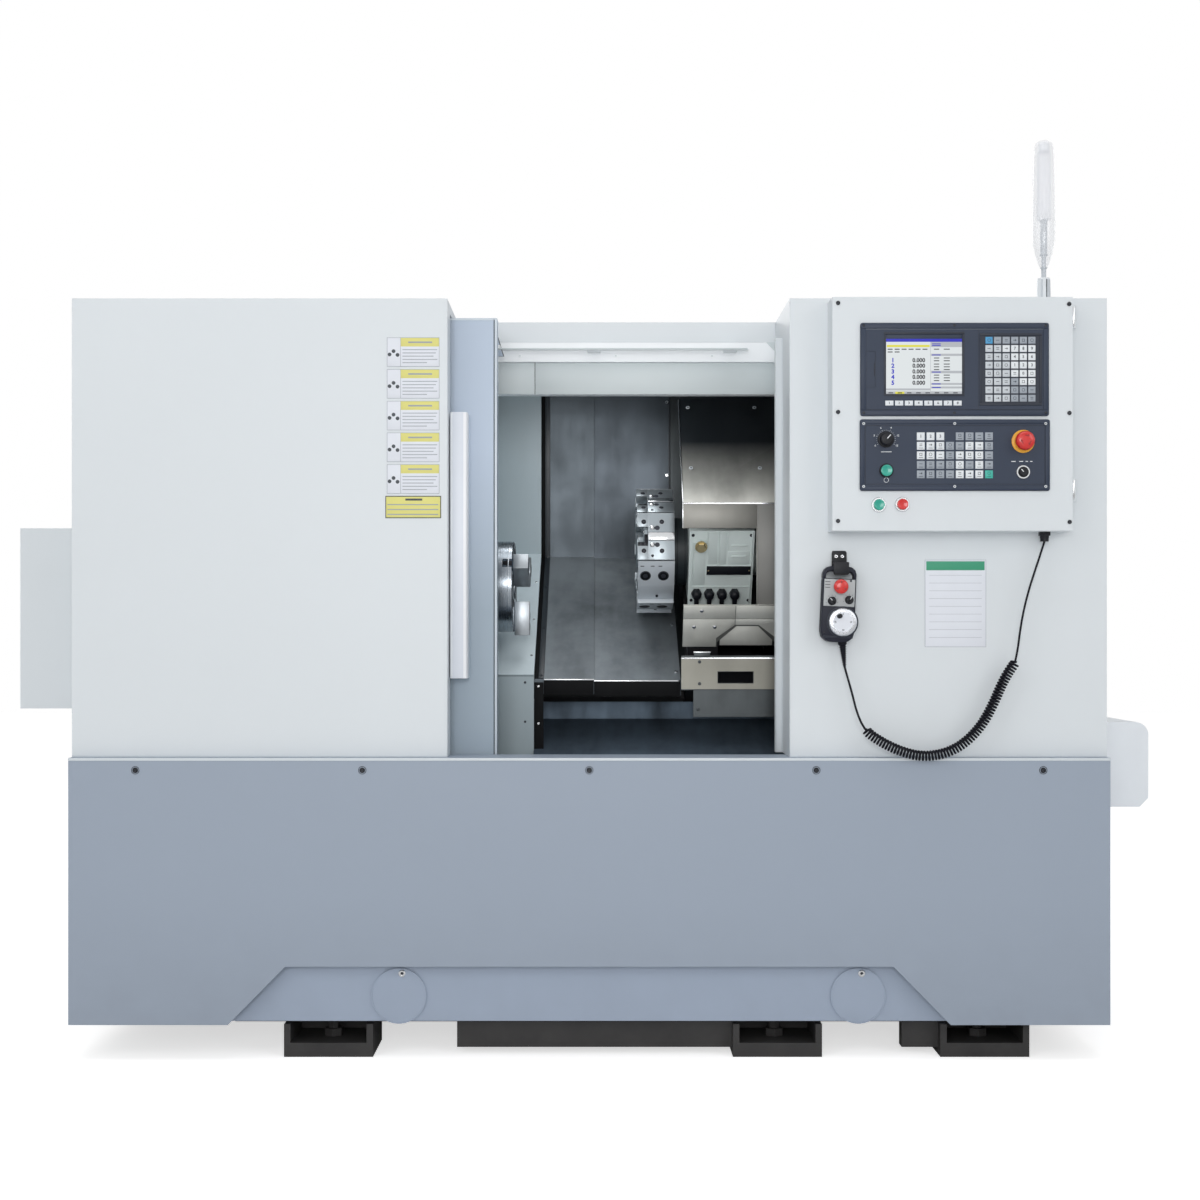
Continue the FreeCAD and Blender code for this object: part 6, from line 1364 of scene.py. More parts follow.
def way_wipers_and_painted_light():
    """Rubber wipers over the folded lower edges of both way covers. Their near-black is also painted shade
    under the lips, and the bright strip along each top is a painted highlight of the lip's edge.
    """
    fixed = Piece("fixed_cover_wiper_and_shade", BLACK_TRIM_AND_SHADOW, BRIGHT_STEEL)
    fixed.block((-105.5, 9), (308.7, 310.9), (759.5, 794), 0.4)
    # Bright strip: painted highlight of the lip's edge.
    fixed.block((-105.5, 10), (309.0, 311.4), (794.3, 797.6), 0.9, 1)
    fixed.close("machine", "belt_rubber")
    moving = Piece("moving_cover_wiper_and_shade", BLACK_TRIM_AND_SHADOW, BRIGHT_STEEL)
    moving.block((-110, 208), (313.9, 315.9), (757.5, 791), 0.4)
    # Bright strip: painted highlight of the lip's edge.
    moving.block((-110, 208.6), (313.9, 316.2), (791.3, 794.4), 0.8, 1)
    moving.close("saddle", "belt_rubber")


def cover_screws():
    """Screws of the moving cover, and the dark fold along its edge."""
    piece = Piece("moving_cover_screws", BRIGHT_STEEL, KEY_INK, TRIM_DARK)
    for z in (1506, 1315, 1130):
        piece.screw((200, 842.0, z), 4.2, metal=0, socket=1, rise=2.0)
    for up in (-100, 120, 380):
        piece.screw((200, up, -170.1), 4.2, "z", 0, 1, 2.0, SLOPE)
    piece.block((204.5, 209), (840.4, 842.2), (1108, 1539), 0.8, 2)
    piece.close("saddle", "bright")


def hood_details():
    """Folds and screws of the turret hood, with bright strips along its folds as painted highlights, its lip
    and side in lighter and darker tones as painted light and shade, and the plates of its arched foot in a
    lighter tone as painted light.
    """
    piece = Piece("hood_details", HOOD_STEEL, BRIGHT_STEEL, KEY_INK, HOOD_LIP_LIGHT, SIDE_PLATE_SHADE, FOOT_PLATE_LIGHT,
                  LAMP_ROD)
    sheet, bright, socket, lit_tone, side, foot, pale = range(7)
    # Bright strip along the fold: painted highlight.
    piece.strip(HOOD_FACE, (HOOD_LEFT, HOOD_RIGHT), 1.4, (1200.6, 1204.4), 0.8, bright, 0.2)
    # The lip in a lighter copy of the stainless: painted light.
    piece.strip(HOOD_FACE, (HOOD_LEFT, 386), 1.1, (1145.6, 1200), 0.4, lit_tone, 0)
    # Bright strips down and along the left edge: painted highlights.
    piece.strip(HOOD_FACE, (HOOD_LEFT, HOOD_LEFT + 2.2), 1.2, (1145, 1203), 0.5, bright, 1.5)
    lean = Matrix.Translation((0, HOOD_FACE, 1205)) @ Matrix.Rotation(HOOD_LEAN, 4, "X")
    piece.block((HOOD_LEFT, HOOD_LEFT + 2.4), (0, 350), (-0.6, 1.4), 0.5, bright, lean)
    for x in (238, 400, 600):
        for along in (112, 322):
            piece.screw((x, along, 0), 4.8, "z", pale, socket, 2.2, lean)
    # The side in a darker copy of the stainless: painted shade.
    piece.strip(HOOD_FACE, (386, HOOD_RIGHT), 1.1, (930, 1203), 0.4, side, 0.2)
    piece.strip(HOOD_FACE, (385, 387.4), 1.6, (928, 1146), 0.6, sheet, 1)
    # The foot plates in a lighter copy of the stainless: painted light.
    piece.plate([(-112, 300.5), (-89, 300.5), (-51, 340), (-51, 383), (-89, 421.5), (-112, 421.5)],
                -76.4, -74.6, "xy", 0.5, foot, arch_place())
    for x, off in ((256, -19), (239.6, -61.4), (287.2, -61.4), (470, -19), (600, -61.4)):
        piece.turning([(0, 4.6), (1.6, 4.4), (2.6, 2.6), (2.6, 0)], (x, FOOT_FACE, off), "-y", 24, bright,
                      SLOPE)
        piece.block((x - 2.8, x + 2.8), (FOOT_FACE - 2.9, FOOT_FACE - 2.3), (off - 0.5, off + 0.5),
                    material=socket, place=SLOPE)
    for low, high in ((214.5, 333), (334.4, 639.5)):
        piece.block((low, high), (FOOT_FACE - 0.9, FOOT_FACE), (-40, -6), 0.3, foot, SLOPE)
    for outline in ([(-114, 214.5), (-41, 214.5), (-41, 333), (-56, 333), (-91, 291.5), (-114, 291.5)],
                    [(-41, 334.4), (-41, 639.5), (-114, 639.5), (-114, 430), (-91, 430), (-56, 388),
                     (-56, 334.4)]):
        piece.plate(outline, FOOT_FACE - 0.8, FOOT_FACE, "xy", 0.2, foot, arch_place())
    piece.close("cross_slide", "stainless")


def arch_place():
    """Place for outlines given as (off, x) on the face of the hood's foot plate."""
    return SLOPE @ Matrix(((0, 1, 0, 0), (0, 0, 1, 0), (1, 0, 0, 0), (0, 0, 0, 1)))


def housing_details():
    """Cast ribs, plug, plate and the black port elbows on the front of the turret housing."""
    piece = Piece("housing_details", HOUSING_GREY, BRASS, BLACK_PLASTIC, KEY_INK, HOUSING_SHADE, NECK_STEEL)
    grey, brass, black, socket, shade, neck = range(6)
    y, z = TURRET_AT
    piece.turning([(0, 80.4), (31.4, 80.4), (31.4, 78.6), (0, 78.6)], (200.4, y, z), "x", 72, neck)
    for step in (6, 24):
        piece.turning([(0, 81.6), (1.6, 81.6), (1.6, 79), (0, 79)], (200.4 + step, y, z), "x", 72, black)
    rims = (((238, 241), (-30, 84)), ((238, 275), (84, 87)), ((272, 275), (84, 112)),
            ((238, 378), (-33, -30)), ((376, 379), (-74, 112)), ((299, 301), (20, 112)),
            ((320, 322), (66, 112)))
    for x, off in rims:
        piece.block(x, (CASTING_FACE - 2.6, CASTING_FACE + 0.2), off, 0.9, grey, SLOPE)
    for x, off in (((276.5, 297.5), (28, 110)), ((302.5, 318.5), (28, 110)), ((323.5, 374), (28, 62)),
                   ((242.5, 270.5), (-27, 60))):
        piece.block(x, (CASTING_FACE - 1.0, CASTING_FACE + 0.2), off, 0.5, shade, SLOPE)
    for off in (47, 75):
        piece.block((330, 366), (57.0, 60.2), (off, off + 4.5), 1.2, grey, SLOPE)
    piece.turning([(0, 14.4), (3, 14.4), (3, 12.8)], (259, 52.5, 78), "-y", 36, brass, SLOPE)
    piece.turning([(3, 11.2), (7.2, 11.2), (8.4, 9.8), (8.4, 0)], (259, 52.5, 78), "-y", 6, brass, SLOPE)
    piece.block((274, 377.5), (55.6, 57.2), (1.6, 24.4), 0.5, black, SLOPE)
    for x in (278, 373.5):
        piece.screw((x, 55.7, 13), 1.8, metal=brass, socket=socket, rise=0.8, place=SLOPE)
    for x in PORTS:
        at = (x, CASTING_FACE, -48)
        piece.turning([(0, 12.4), (9, 12.4), (9, 11)], at, "-y", 6, black, SLOPE)
        piece.turning([(9, 11.4), (16, 11.4), (19.5, 10.2), (22.5, 7.4), (23.6, 3.4), (23.6, 0)], at, "-y",
                      28, black, SLOPE)
        piece.turning([(0, 6.4), (8, 6.4), (9, 5.6), (31, 5.4), (31, 0)], (x, 46, -50), "-z", 24, black,
                      SLOPE)
    for x in (240, 375):
        for off in (-68, 104):
            piece.screw((x, CASTING_FACE, off), 3.6, metal=black, socket=socket, rise=2.4, place=SLOPE)
    piece.close("cross_slide", "inner_grey")


def saddle_guard_details():
    """Screws, fold and the low rail with its clip along the top of the saddle guard, over panels in a lighter
    copy of its steel as painted light.
    """
    piece = Piece("saddle_guard_details", TRAVEL_STEEL, BRIGHT_STEEL, KEY_INK, SADDLE_PANEL_LIGHT)
    steel, bright, socket, lit_tone = range(4)
    # Panels in a lighter copy of the guard's steel: painted light.
    for x, z in (((210, 294), (774.5, 844.5)), ((374, 899), (774.5, 844.5)), ((294, 374), (814, 844.5)),
                 ((294, 374), (774.5, 789))):
        piece.strip(SADDLE_FACE, x, 0.8, z, 0, lit_tone, 0.2)
    piece.strip(SADDLE_FACE, (210, 899), 1.2, (843.4, 847.0), 0.8, bright, 1.2)
    piece.strip(SADDLE_FACE, (238, 899), 0.7, (772.4, 773.6), 0, socket, 0.2)
    piece.strip(SADDLE_FACE, (210, 899), -1, (846, 851.4), 0.7, steel, 9)
    piece.strip(SADDLE_FACE, (239, 276), -0.6, (846, 858.6), 0.9, steel, 6)
    piece.strip(SADDLE_FACE, (238, 277), 0, (857.6, 860.6), 0.8, bright, 7)
    frame_round(piece, 292.6, 375.4, 787.6, 815.4, 1.4, SADDLE_FACE - 1.4, SADDLE_FACE + 0.2, steel, 0.4)
    for x, z in ((251.5, 837), (251.5, 787), (248, 729), (520, 837), (520, 787), (760, 729)):
        piece.screw((x, SADDLE_FACE - 0.7, z), 3.8, metal=steel, socket=socket, rise=1.6)
    piece.close("saddle", "stainless")


def header_details():
    """Seam, a grey corner triangle that stands for the right cover's inner side wall in painted shade, and
    roller strip under the roof's front.
    """
    piece = Piece("header_details", HEADER_GREY, TRIM_DARK, BEAM_WHITE, BLACK_OXIDE, DOOR_GREY)
    piece.strip(HEADER_FACE, (-126.4, -125.0), 0.8, (1451, 1524), 0, 1, 0.2)
    piece.strip(HEADER_FACE, (-322, -126.6), 1.0, (1452, 1523.4), 0.3)
    piece.strip(HEADER_FACE, (-124.8, 425), 0.8, (1452, 1523.4), 0.3)
    piece.plate([(-211, 1531), (-194.5, 1531), (-209, 1579), (-211, 1579)], 262.4, 267, "xz", 0.5, 4)
    piece.block((-0.9, 0.9), (-2.5, 0.8), (0, 50), 0.3, 1,
                Matrix.Translation((-195, 264.5, 1531)) @ Matrix.Rotation(math.radians(-17), 4, "Y"))
    piece.block((-960, 358), (259.6, 262.2), (1546.2, 1549.4), 0.4, 0)
    for x in (-160, 60, 280):
        piece.screw((x, 300, 1538), 3.6, metal=2, socket=0, rise=1.4)
    # Grey triangle for the right cover's inner side wall, in painted shade.
    piece.plate([(404, 1569), (426, 1569), (426, 1546)], 298.6, 300.2, "xz", 0.3, 0)
    piece.close("machine", "cover_white")


guard_trim_and_shadow()
guard_seams()
way_wipers_and_painted_light()
cover_screws()
hood_details()
housing_details()
saddle_guard_details()
header_details()
# ---- Outer enclosure -------------------------------------------------------------------------------------
DOOR_FACE = 110.0                                 # front of the sliding door
SIDE_BOX_FACE = -1268.0                           # outer face of the box on the spindle end


def label(piece, left, right, bottom, top, fill, line, width=0.8):
    """A bare plate with a thin printed edge."""
    piece.strip(COVER_FACE, (left, right), 0.5, (bottom, top), 0.25, fill, 0.2)
    frame_round(piece, left, right, bottom, top, width, COVER_FACE - 0.65, COVER_FACE, line, 0)


def ruled_lines(piece, left, lengths, top, pitch, thick, material):
    """Plain strokes where the machine carries small print."""
    for n, length in enumerate(lengths):
        z = top - n * pitch
        piece.strip(COVER_FACE, (left, left + length), 0.65, (z - thick, z), 0, material, 0)


def front_labels():
    """Plates on the covers, with fields of colour and plain strokes in place of print."""
    piece = Piece("left_labels", LABEL_WHITE, LABEL_LINE, LABEL_YELLOW, LABEL_INK)
    white, line, yellow, ink = range(4)
    for n in range(5):
        bottom = 1469.5 - n * 67.4
        label(piece, -430, -318.6, bottom, bottom + 62, white, line)
        piece.strip(COVER_FACE, (-401.4, -400.6), 0.65, (bottom, bottom + 62), 0, line, 0)
        piece.strip(COVER_FACE, (-400.6, -319.4), 0.6, (bottom + 43, bottom + 61.2), 0.1, yellow, 0)
        piece.strip(COVER_FACE, (-385, -334), 0.7, (bottom + 50.2, bottom + 53.6), 0.1, line, 0)
        for x, lift in ((-424.5, 26), (-416, 33), (-407.5, 25)):
            piece.turning([(-0.2, 4), (0.7, 4), (0.7, 0)], (x, COVER_FACE, bottom + lift), "-y", 28, ink)
        ruled_lines(piece, -397, (74, 71, 66, 74, 52), bottom + 37, 6.9, 1.7, line)
    label(piece, -433.4, -315, 1147.6, 1195, yellow, ink, 1.8)
    ruled_lines(piece, -391, (36,), 1189.4, 8, 4.4, ink)
    ruled_lines(piece, -429, (108, 108, 108), 1177.5, 10.4, 2.2, line)
    piece.close("machine", "cover_white")
    notice = Piece("right_label", LABEL_WHITE, LABEL_LINE, LABEL_GREEN)
    label(notice, 713, 843, 874, 1059, 0, 1, 0.7)
    notice.strip(COVER_FACE, (716, 840), 0.7, (1037, 1056), 0.1, 2, 0)
    for n in range(9):
        notice.strip(COVER_FACE, (722, 834), 0.6, (1026 - n * 16.5, 1026.6 - n * 16.5), 0, 1, 0)
    notice.close("machine", "cover_white")


def apron_details():
    """Screws in the apron's top edge, and the screws and rims of the lift covers."""
    piece = Piece("apron_screws", BLACK_OXIDE, KEY_INK)
    for x in (-958, -479, 0, 479, 958):
        piece.turning([(-3, 8.6), (0.5, 8.6), (0.5, 7.4), (-3, 7.4)], (x, 0, 614), "-y", 32)
        piece.screw((x, 2.4, 614), 5.8, rise=4.2)
    piece.close("machine", "black_plastic")
    discs = Piece("lift_cover_rims", PLINTH_GREY, BRIGHT_STEEL, KEY_INK)
    for x in (-405, 572):
        discs.turning([(0, 59), (0.8, 59), (1.2, 58.2), (1.2, 56.6), (0.8, 56.2), (0, 56.2)],
                      (x, 27, 132), "-y", 96)
        discs.screw((x + 7, 26.9, 180), 7.4, metal=1, socket=2, rise=3.4)
    discs.close("machine", "cover_white")


def door_details():
    """Handle profile, window frame and edge strip of the sliding door."""
    handle = Piece("door_grip", HANDLE_WHITE, HANDLE_GREY, KEY_INK)
    outline = [(-300, 110), (-300, 66), (-297, 61), (-292, 60.2), (-270, 60.2), (-265, 61), (-262, 66),
               (-262, 110), (-265, 110), (-265, 68), (-269, 64), (-293, 64), (-297, 68), (-297, 110)]
    handle.plate(outline, 806, 1378, "xy", 0.5)
    handle.block((-294, -270.5), (59.7, 61), (806.6, 1377.4), 0.4, 1)
    for low, high in ((806.4, 810), (1374, 1377.6)):
        handle.block((-297.5, -264.5), (64, 109.8), (low, high), 0.8, 0)
    for z in (826, 1092, 1358):
        handle.strip(DOOR_FACE, (-297, -265), 6, (z - 12, z + 12), 0.8, sink=0)
        handle.screw((-281, 104, z), 4.0, metal=2, socket=2, rise=1.6)
    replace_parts(handle.close("door", "door_grey"), "door_handle")
    edge = Piece("door_edges", DOOR_EDGE, TRIM_DARK, BRIGHT_STEEL, KEY_INK)
    edge.strip(DOOR_FACE, (-206, -201.2), 1.2, (607, 1588), 0.8, 0, 2)
    edge.strip(DOOR_FACE, (-208.4, -206.6), 0.8, (607, 1588), 0.3, 1)
    edge.strip(DOOR_FACE, (-965, -202), 0.8, (1584, 1588.4), 0.6, 0, 2)
    frame_round(edge, -839, -383, 952, 1428, 17, DOOR_FACE - 3.6, DOOR_FACE + 0.4, 1, 1.2)
    around_window = [(x, z) for x in (-831, -735, -611, -487, -391) for z in (960.5, 1419.5)]
    for x, z in around_window + [(x, z) for z in (1100, 1280) for x in (-830.6, -391.4)]:
        edge.screw((x, DOOR_FACE - 3.5, z), 3.4, metal=2, socket=3, rise=1.6)
    edge.close("door", "door_grey")


def cover_seams():
    """Folded edges, joints and jamb lines of the white covers."""
    piece = Piece("cover_seams", COVER_WHITE, COVER_SHADE, TRIM_DARK)
    for x in ((-1100, -302.4), (426.4, 1100)):
        piece.strip(COVER_FACE, x, 0.8, (640.2, 644), 0.4, 1, 0.2)
    for x in (-302.6, 426.2):
        piece.strip(COVER_FACE, (x - 0.6, x + 1.4), 1.1, (641, 1614), 0.6, 0, 1.4)
    piece.block((411.6, 414.0), (163.4, 166), (641, 1554), 0.7, 0)
    piece.block((424.0, 426.4), (160, 166), (641, 1554), 0.6, 1)
    piece.block((-1100, 1100), (-1.2, 0.4), (634, 639.8), 1.0, 1)
    piece.close("machine", "cover_white")


def side_box():
    """Rim, screws and louvres of the box on the spindle end."""
    piece = Piece("spindle_box_details", COVER_WHITE, BLACK_OXIDE, KEY_INK)
    for y, z in ((212, 608), (1122, 1125)), ((212, 608), (747, 750)), ((212, 215), (747, 1125)), (
            (605, 608), (747, 1125)):
        piece.block((SIDE_BOX_FACE - 2, SIDE_BOX_FACE - 0.4), y, z, 0.6)
    for y in (222, 598):
        for z in (757, 936, 1115):
            piece.screw((SIDE_BOX_FACE + 0.6, y, z), 4.2, "-x", 1, 2, 2.2)
    for n in range(9):
        z = 850 + n * 20
        piece.plate([(SIDE_BOX_FACE, z), (SIDE_BOX_FACE - 1.8, z - 3), (SIDE_BOX_FACE - 1.8, z - 9),
                     (SIDE_BOX_FACE, z - 5)], 300, 520, "xz")
    piece.close("machine", "cover_white")


front_labels()
apron_details()
door_details()
cover_seams()
side_box()
# ---- Hand pendant ----------------------------------------------------------------------------------------
PENDANT_TURN = around((527, 0, 1044), "Y", 2.5)
PENDANT_ESTOP_AT = (527, -15, 1001)
KNOBS = (("pendant_axis_knob", (510, -15, 971), -40), ("pendant_rate_knob", (546, -15, 973), 30))
WHEEL_AT = (532, -15.3, 926.5)
GLAND_AT = (961, 2, 1117)


def pendant_case():
    """Moulded case with a carrying loop over it and a recessed seam round its side."""
    case = Piece("pendant_case", PENDANT_GREY, BLACK_TRIM_AND_SHADOW)
    low = [(493, 1018), (492.6, 906), (496, 894), (505, 886.4), (516, 884.2), (540, 884.2), (551, 886.4),
           (560, 894), (563.4, 906), (563, 1018)]
    case.plate(low, -15, 17, "xz", 2.2, 0, PENDANT_TURN, 3)
    loop = [(493, 1017), (492.8, 1028), (496, 1037), (503, 1042.6), (511, 1044), (545, 1044),
            (553, 1042.6), (560, 1037), (563.2, 1028), (563, 1017), (557.6, 1017), (557, 1026), (553, 1031.4),
            (546, 1033), (510, 1033), (503, 1031.4), (499, 1026), (498.4, 1017)]
    case.plate(loop, -13, 15, "xz", 1.6, 0, PENDANT_TURN)
    for side in (492.2, 563.2):
        case.block((side, side + 0.6), (-0.8, 0.8), (912, 1014), 0, 1, PENDANT_TURN)
    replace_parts(case.close("machine", "grey_plastic"), "pendant_body")


def pendant_face():
    """Face plate with the ticks of its two knobs, the ring round the wheel and two screws."""
    piece = Piece("pendant_face", LABEL_GREY, BLACK_PLASTIC, KEY_INK, PANEL_DARK)
    plate, black, ink, dark = range(4)
    piece.block((495.4, 560.6), (-16.6, -14.8), (959.5, 1016.6), 1.4, plate, PENDANT_TURN, 3)
    for n in range(3):
        piece.block((497, 508), (-16.9, -16.5), (1010 - n * 6, 1011.2 - n * 6), 0, ink, PENDANT_TURN)
    piece.turning([(0, 2.4), (1.0, 2.0), (1.0, 0)], (551, -16.5, 1014), "-y", 20, ink, PENDANT_TURN)
    for _, at, _ in KNOBS:
        x, z = at[0], at[2]
        for n in range(7):
            piece.block((x - 0.3, x + 0.3), (-16.9, -16.5), (z + 11, z + 13.2), 0, ink,
                        around(at, "Y", -105 + n * 35))
    piece.block((497, 560), (-15.4, -14.6), (893, 897.5), 1.2, dark, PENDANT_TURN)
    piece.turning([(0, 33.5), (1.4, 33.2), (1.8, 32), (1.8, 30.4), (0, 30.4)], (532, -15, 926.5), "-y", 56,
                  dark)
    for x in (499.5, 556.5):
        piece.screw((x, -15, 904), 2.2, metal=black, socket=ink, rise=0.8, place=PENDANT_TURN)
    piece.close("machine", "black_plastic")


def pendant_mushroom():
    """Small red stop button with its three turning marks."""
    head = Piece("pendant_mushroom", RED_PLASTIC, RED_DARK, BLACK_PLASTIC)
    stem(head, PENDANT_ESTOP_AT, 8, 2)
    head.turning([(6.2, 9.5), (8, 9.5), (8.8, 11), (10, 13.6), (12, 15.2), (15.5, 15.5), (18.6, 14.6),
                  (20.8, 12), (21.8, 7.5), (22, 0)], PENDANT_ESTOP_AT, "-y", 48)
    for n in range(3):
        head.block((525.6, 528.4), (-37.1, -36), (1008, 1012.5), 0.3, 1,
                   around(PENDANT_ESTOP_AT, "Y", n * 120))
    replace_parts(head.close("pendant_estop", "red_plastic"), "pendant_estop")


def pendant_knobs():
    """Two pointer knobs, each with a raised bar and a white line."""
    for body, at, lean in KNOBS:
        knob = Piece(body + "_cap", BLACK_PLASTIC, MARK_WHITE)
        knob.turning([(0.4, 9), (3.6, 9), (4.4, 8.2), (4.8, 7.4), (12, 6.8), (13, 6), (13, 0)], at, "-y",
                     36)
        turned = around(at, "Y", lean)
        knob.block((at[0] - 2.2, at[0] + 2.2), (-28.0, -19.6), (at[2] - 8.2, at[2] + 8.2), 1.2, 0, turned)
        knob.block((at[0] - 0.6, at[0] + 0.6), (-28.3, -27.6), (at[2] + 1.5, at[2] + 8), 0, 1, turned)
        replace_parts(knob.close(body, "black_plastic"), body)


def pulse_wheel():
    """Silver hand wheel with a knurled rim, a scale and its crank knob."""
    x, y, z = at = WHEEL_AT
    wheel = Piece("pendant_dial", WHEEL_SILVER, LABEL_WHITE, KEY_INK, BLACK_PLASTIC)
    silver, face, ink, black = range(4)
    wheel.turning([(0, 28.2), (0.6, 29.3), (8.6, 29.3), (10.4, 27.8), (11.2, 25), (11.4, 21.4),
                   (10.6, 20.6), (10.6, 0)], at, "-y", 72, silver)
    wheel.turning([(10.7, 20.0), (11.0, 19.6), (11.0, 0)], at, "-y", 56, face)
    for n in range(60):
        spot = around(at, "Y", n * 6)
        wheel.block((x - 0.7, x + 0.7), (y - 8.2, y - 1.0), (z + 28.9, z + 29.5), 0.2, silver, spot)
        if n % 3 == 0:
            wheel.block((x - 0.25, x + 0.25), (y - 11.6, y - 11.0), (z + 22.4, z + 24.6), 0, ink, spot)
    for n in range(4):
        turn = math.radians(n * 90)
        wheel.figures(str(n * 25), (x + 16.6 * math.sin(turn), y - 11.1, z + 16.6 * math.cos(turn)), 3.6,
                      ink)
    wheel.turning([(10.6, 5.2), (12, 5.2), (13, 3.4), (20, 4.6), (24.6, 4.8), (25.6, 3.8), (25.7, 0)],
                  (x, y, z + 15), "-y", 28, black, around(at, "Y", -32))
    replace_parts(wheel.close("pendant_wheel", "steel"), "pendant_wheel")


def hook_and_boot():
    """Screws of the pendant's hook, and the ribbed boot that holds its cord."""
    piece = Piece("hook_details", BRIGHT_STEEL, KEY_INK, BLACK_PLASTIC)
    piece.plate([(514.5, 1045), (546.5, 1045), (546.5, 1074), (543.5, 1078), (517.5, 1078),
                 (514.5, 1074)], 20.6, 22, "xz", 0.6, 2)
    piece.block((512.6, 545.4), (-20.4, -18.8), (1027.4, 1052.6), 0.7, 2)
    for x in (523.5, 536.5):
        piece.screw((x, 18.6, 1066), 3.6, metal=0, socket=1, rise=2.2)
    piece.close("machine", "bright")
    boot = Piece("cord_boot", CORD_BLACK)
    lean = Matrix.Translation((533.98, 1, 884.2)) @ Matrix.Rotation(math.radians(-5.5), 4, "Y")
    profile = [(-2, 9.2), (4, 9.2), (6, 7.4)]
    for n in range(9):
        start = 8 + n * 4.6
        radius = 7.3 - n * 0.42
        profile += [(start, radius - 1.3), (start + 0.8, radius - 1.3), (start + 1.3, radius),
                    (start + 3.3, radius), (start + 3.8, radius - 1.3)]
    profile += [(51.5, 2.9), (52, 2.5)]
    boot.turning(profile, (0, 0, 0), "-z", 32, 0, lean)
    boot.close("machine", "cord_black")
    gland = Piece("gland_nut", BLACK_PLASTIC)
    gland.turning([(0, 11.5), (5.4, 11.5), (6, 10.6)], GLAND_AT, "-z", 6)
    gland.turning([(6, 9.4), (13, 9.4), (16.4, 8.2), (19.0, 5.4), (20, 3.0), (20, 0)], GLAND_AT, "-z", 32)
    gland.close("machine", "black_plastic")


pendant_case()
pendant_face()
pendant_mushroom()
pendant_knobs()
pulse_wheel()
hook_and_boot()
# ---- Signal lamp -----------------------------------------------------------------------------------------
LAMP_AT = (1013, 200, 1615)


def signal_lamp():
    """Clear lamp with a frosted tube on a grey rod, over a silver foot drawn in white plastic with dark and
    grey strips down its front, as painted reflections.
    """
    piece = Piece("lamp_glass", LAMP_SKIN)
    piece.turning([(102, 8.0), (112, 12.2), (134, 19.0), (160, 24.2), (180, 25.4), (232, 25.2),
                   (300, 24.2), (348, 23.0), (370, 21.6), (380, 18.0), (385, 11.0), (386, 0)],
                  LAMP_AT, "z", 64)
    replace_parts(piece.close("machine", "lamp_plastic"), "signal_lamp")
    core = Piece("lamp_core", LAMP_FROST, LAMP_ROD, KEY_LIGHT, HANDLE_WHITE)
    core.turning([(210, 15.2), (212, 16.0), (360, 14.6), (361, 0)], LAMP_AT, "z", 48, 0)
    core.turning([(361, 12.6), (378, 11.8), (382.4, 8.0), (383.2, 0)], LAMP_AT, "z", 40, 3)
    core.turning([(104, 4.6), (128, 5.4), (140, 7.6), (206, 8.0), (209, 0)], LAMP_AT, "z", 36, 1)
    x, y, foot_height = LAMP_AT
    for rise in (130, 206):
        at = (x, y, foot_height + rise)
        core.turning([(0, 8.8), (1.2, 9.2), (2.4, 8.8), (2.4, 5), (0, 5)], at, "z", 36, 2)
    core.close("machine", "lamp_plastic")
    foot = Piece("lamp_foot", LAMP_POLE, KEY_WHITE, KEY_LIGHT, KEY_INK)
    # White plastic for the silver foot: painted reflection.
    foot.turning([(0, 15.8), (76, 14.4), (79, 13.2), (79, 0)], LAMP_AT, "z", 56, 1)
    foot.turning([(78, 6.4), (80, 5.4), (99, 5.4), (103, 7.4), (103, 0)], LAMP_AT, "z", 36, 2)
    # Dark and grey strips down the front of the foot: painted reflections.
    for turn, half, material in ((12, 1.4, 3), (28, 4.2, 2), (-30, 2.2, 2)):
        foot.block((x - half, x + half), (y - 15.9, y - 12), (foot_height + 1, foot_height + 75), 0.6,
                   material, around(LAMP_AT, "Z", turn))
    foot.close("machine", "bright")


signal_lamp()
# ---- Back, ends and roof ---------------------------------------------------------------------------------
BACK_FACE, END_FACE, ROOF_FACE = 1450.0, 1100.0, 1615.0
SEAM_RISE = 0.1


def back_panels():
    """Joint lines and flush screws of the panels on the back."""
    piece = Piece("back_panels", TRIM_DARK, LABEL_GREY, KEY_INK)

    def seam_round(left, right, bottom, top):
        frame_round(piece, left, right, bottom, top, 3.0, BACK_FACE - 1, BACK_FACE + SEAM_RISE, 0, 0)

    for left, right in ((-1060, -372), (-344, 344), (372, 1060)):
        seam_round(left, right, 200, 1120)
        edges = (left + 24, right - 24)
        screws = [(left + 24 + n * (right - left - 48) / 3, z) for n in range(4) for z in (226, 1094)]
        for x, z in screws + [(x, z) for z in (515, 805) for x in edges]:
            piece.turning([(-1, 6), (SEAM_RISE, 6), (SEAM_RISE, 0)], (x, BACK_FACE, z), "y", 24, 1)
            piece.turning([(-1, 3), (SEAM_RISE + 0.02, 3), (SEAM_RISE + 0.02, 0)], (x, BACK_FACE, z), "y",
                          6, 2)
    seam_round(-1060, 1060, 1150, 1580)
    piece.close("machine", "cover_white")


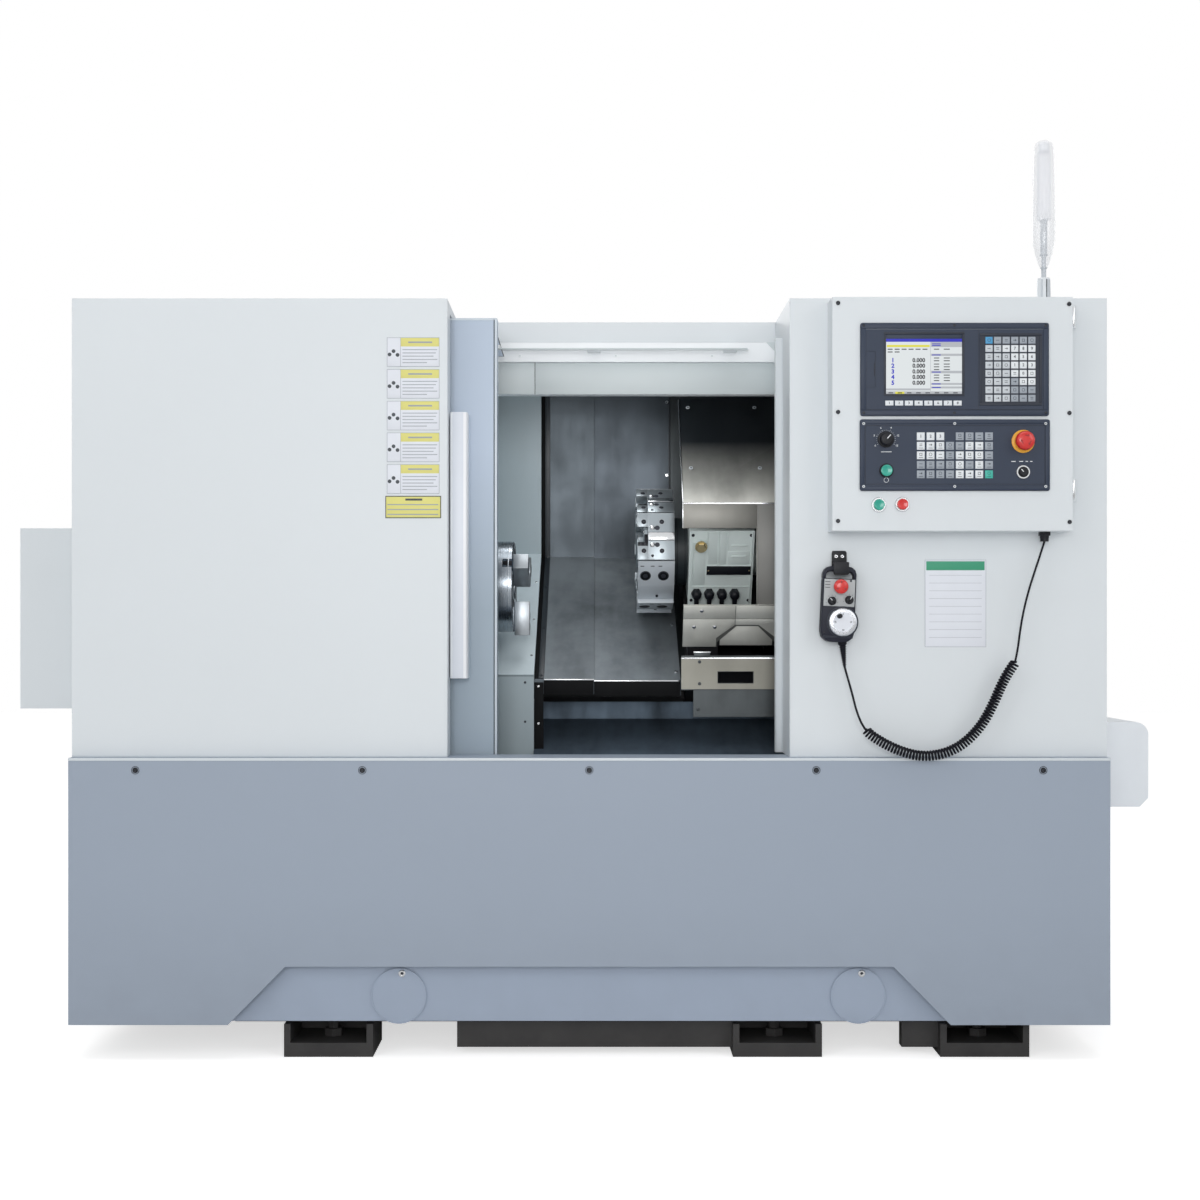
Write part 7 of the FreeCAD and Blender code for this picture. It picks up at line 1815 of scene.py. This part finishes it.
def service_door(side, front, back, bottom, top):
    """Raised service door on one end, with hinges, latches, pressed louvres and a seam round it."""
    name = "right" if side > 0 else "left"
    piece = Piece("%s_service_door" % name, COVER_WHITE, TRIM_DARK, BRIGHT_STEEL, KEY_INK)
    white, gap, bright, ink = range(4)

    def reach(near, far):
        return tuple(sorted((side * (END_FACE + near), side * (END_FACE + far))))

    piece.block(reach(-0.5, 0.3), (front - 3, back + 3), (bottom - 3, top + 3), material=gap)
    piece.block(reach(0, 2.4), (front, back), (bottom, top), 1.2, white)
    axis = "x" if side > 0 else "-x"
    for z in (bottom + 90, (bottom + top) / 2, top - 90):
        piece.turning([(-26, 5), (26, 5)], (side * (END_FACE + 5.2), front - 5, z), "z", 20, bright)
        piece.block(reach(0, 3.4), (front - 4, front + 26), (z - 24, z + 24), 0.8, bright)
    for z in (bottom + 160, top - 160):
        at = (side * (END_FACE + 2), back - 34, z)
        piece.turning([(0, 15), (2.4, 14.6), (3.2, 13.4), (3.2, 0)], at, axis, 36, bright)
        piece.block(reach(5, 5.7), (back - 36, back - 32), (z - 9, z + 9), 0, ink)
    for n in range(8):
        z = bottom + 60 + n * 18
        outline = [(side * (END_FACE + off), z - drop) for off, drop in ((2, 0), (7, 5), (7, 7), (2, 9))]
        piece.plate(outline, front + 130, back - 130, "xz", 0.6, white)
        piece.block(reach(2.2, 2.7), (front + 132, back - 132), (z - 13, z - 9), 0, gap)
    piece.close("machine", "cover_white")


def roof_details():
    """Joint lines, screws and lifting-eye sockets of the roof."""
    piece = Piece("roof_details", COVER_WHITE, TRIM_DARK, BRIGHT_STEEL, KEY_INK)
    white, gap, bright, ink = range(4)
    for x in (-420, 560):
        piece.block((x, x + 3), (340, 1440), (ROOF_FACE - 1, ROOF_FACE + 0.4), 0, gap)
    piece.block((-1090, 1090), (860, 863), (ROOF_FACE - 1, ROOF_FACE + 0.4), 0, gap)
    for x in (-960, 960):
        for y in (420, 1320):
            piece.turning([(0, 24), (2, 23), (2, 13), (0, 13)], (x, y, ROOF_FACE), "z", 40, white)
            piece.turning([(0, 12.8), (0.6, 12.8), (0.6, 0)], (x, y, ROOF_FACE), "z", 32, ink)
    for x in (-1060, -720, -438, -402, -60, 240, 542, 580, 800, 1060):
        for y in (845, 880, 1420):
            piece.screw((x, y, ROOF_FACE), 4.6, "z", bright, ink, 2.4)
    piece.close("machine", "cover_white")


def lubricator_details():
    """Filler cap, sight window and lid line of the lubricator's cover."""
    front, back, low, high = 270, 560, 508, 701
    piece = Piece("lubricator_details", LUBE_WHITE, BLACK_PLASTIC, LABEL_GREY, KEY_INK)
    piece.block((1266.8, 1268.6), (front + 40, front + 110), (low + 40, high - 50), 1.0, 2)
    piece.block((1266.8, 1269.2), (front + 50, front + 100), (low + 50, high - 60), 0.8, 3)
    piece.turning([(0, 17), (10, 17), (12, 15), (12, 0)], (1190, (front + back) / 2, high - 2), "z", 20, 1)
    for y in (front + 18, back - 18):
        for z in (low + 18, high - 18):
            piece.screw((1267.2, y, z), 3.4, "x", 1, 3, 1.8)
    piece.close("machine", "cover_white")


back_panels()
service_door(1, 700, 1330, 720, 1520)
service_door(-1, 760, 1330, 720, 1520)
roof_details()
lubricator_details()
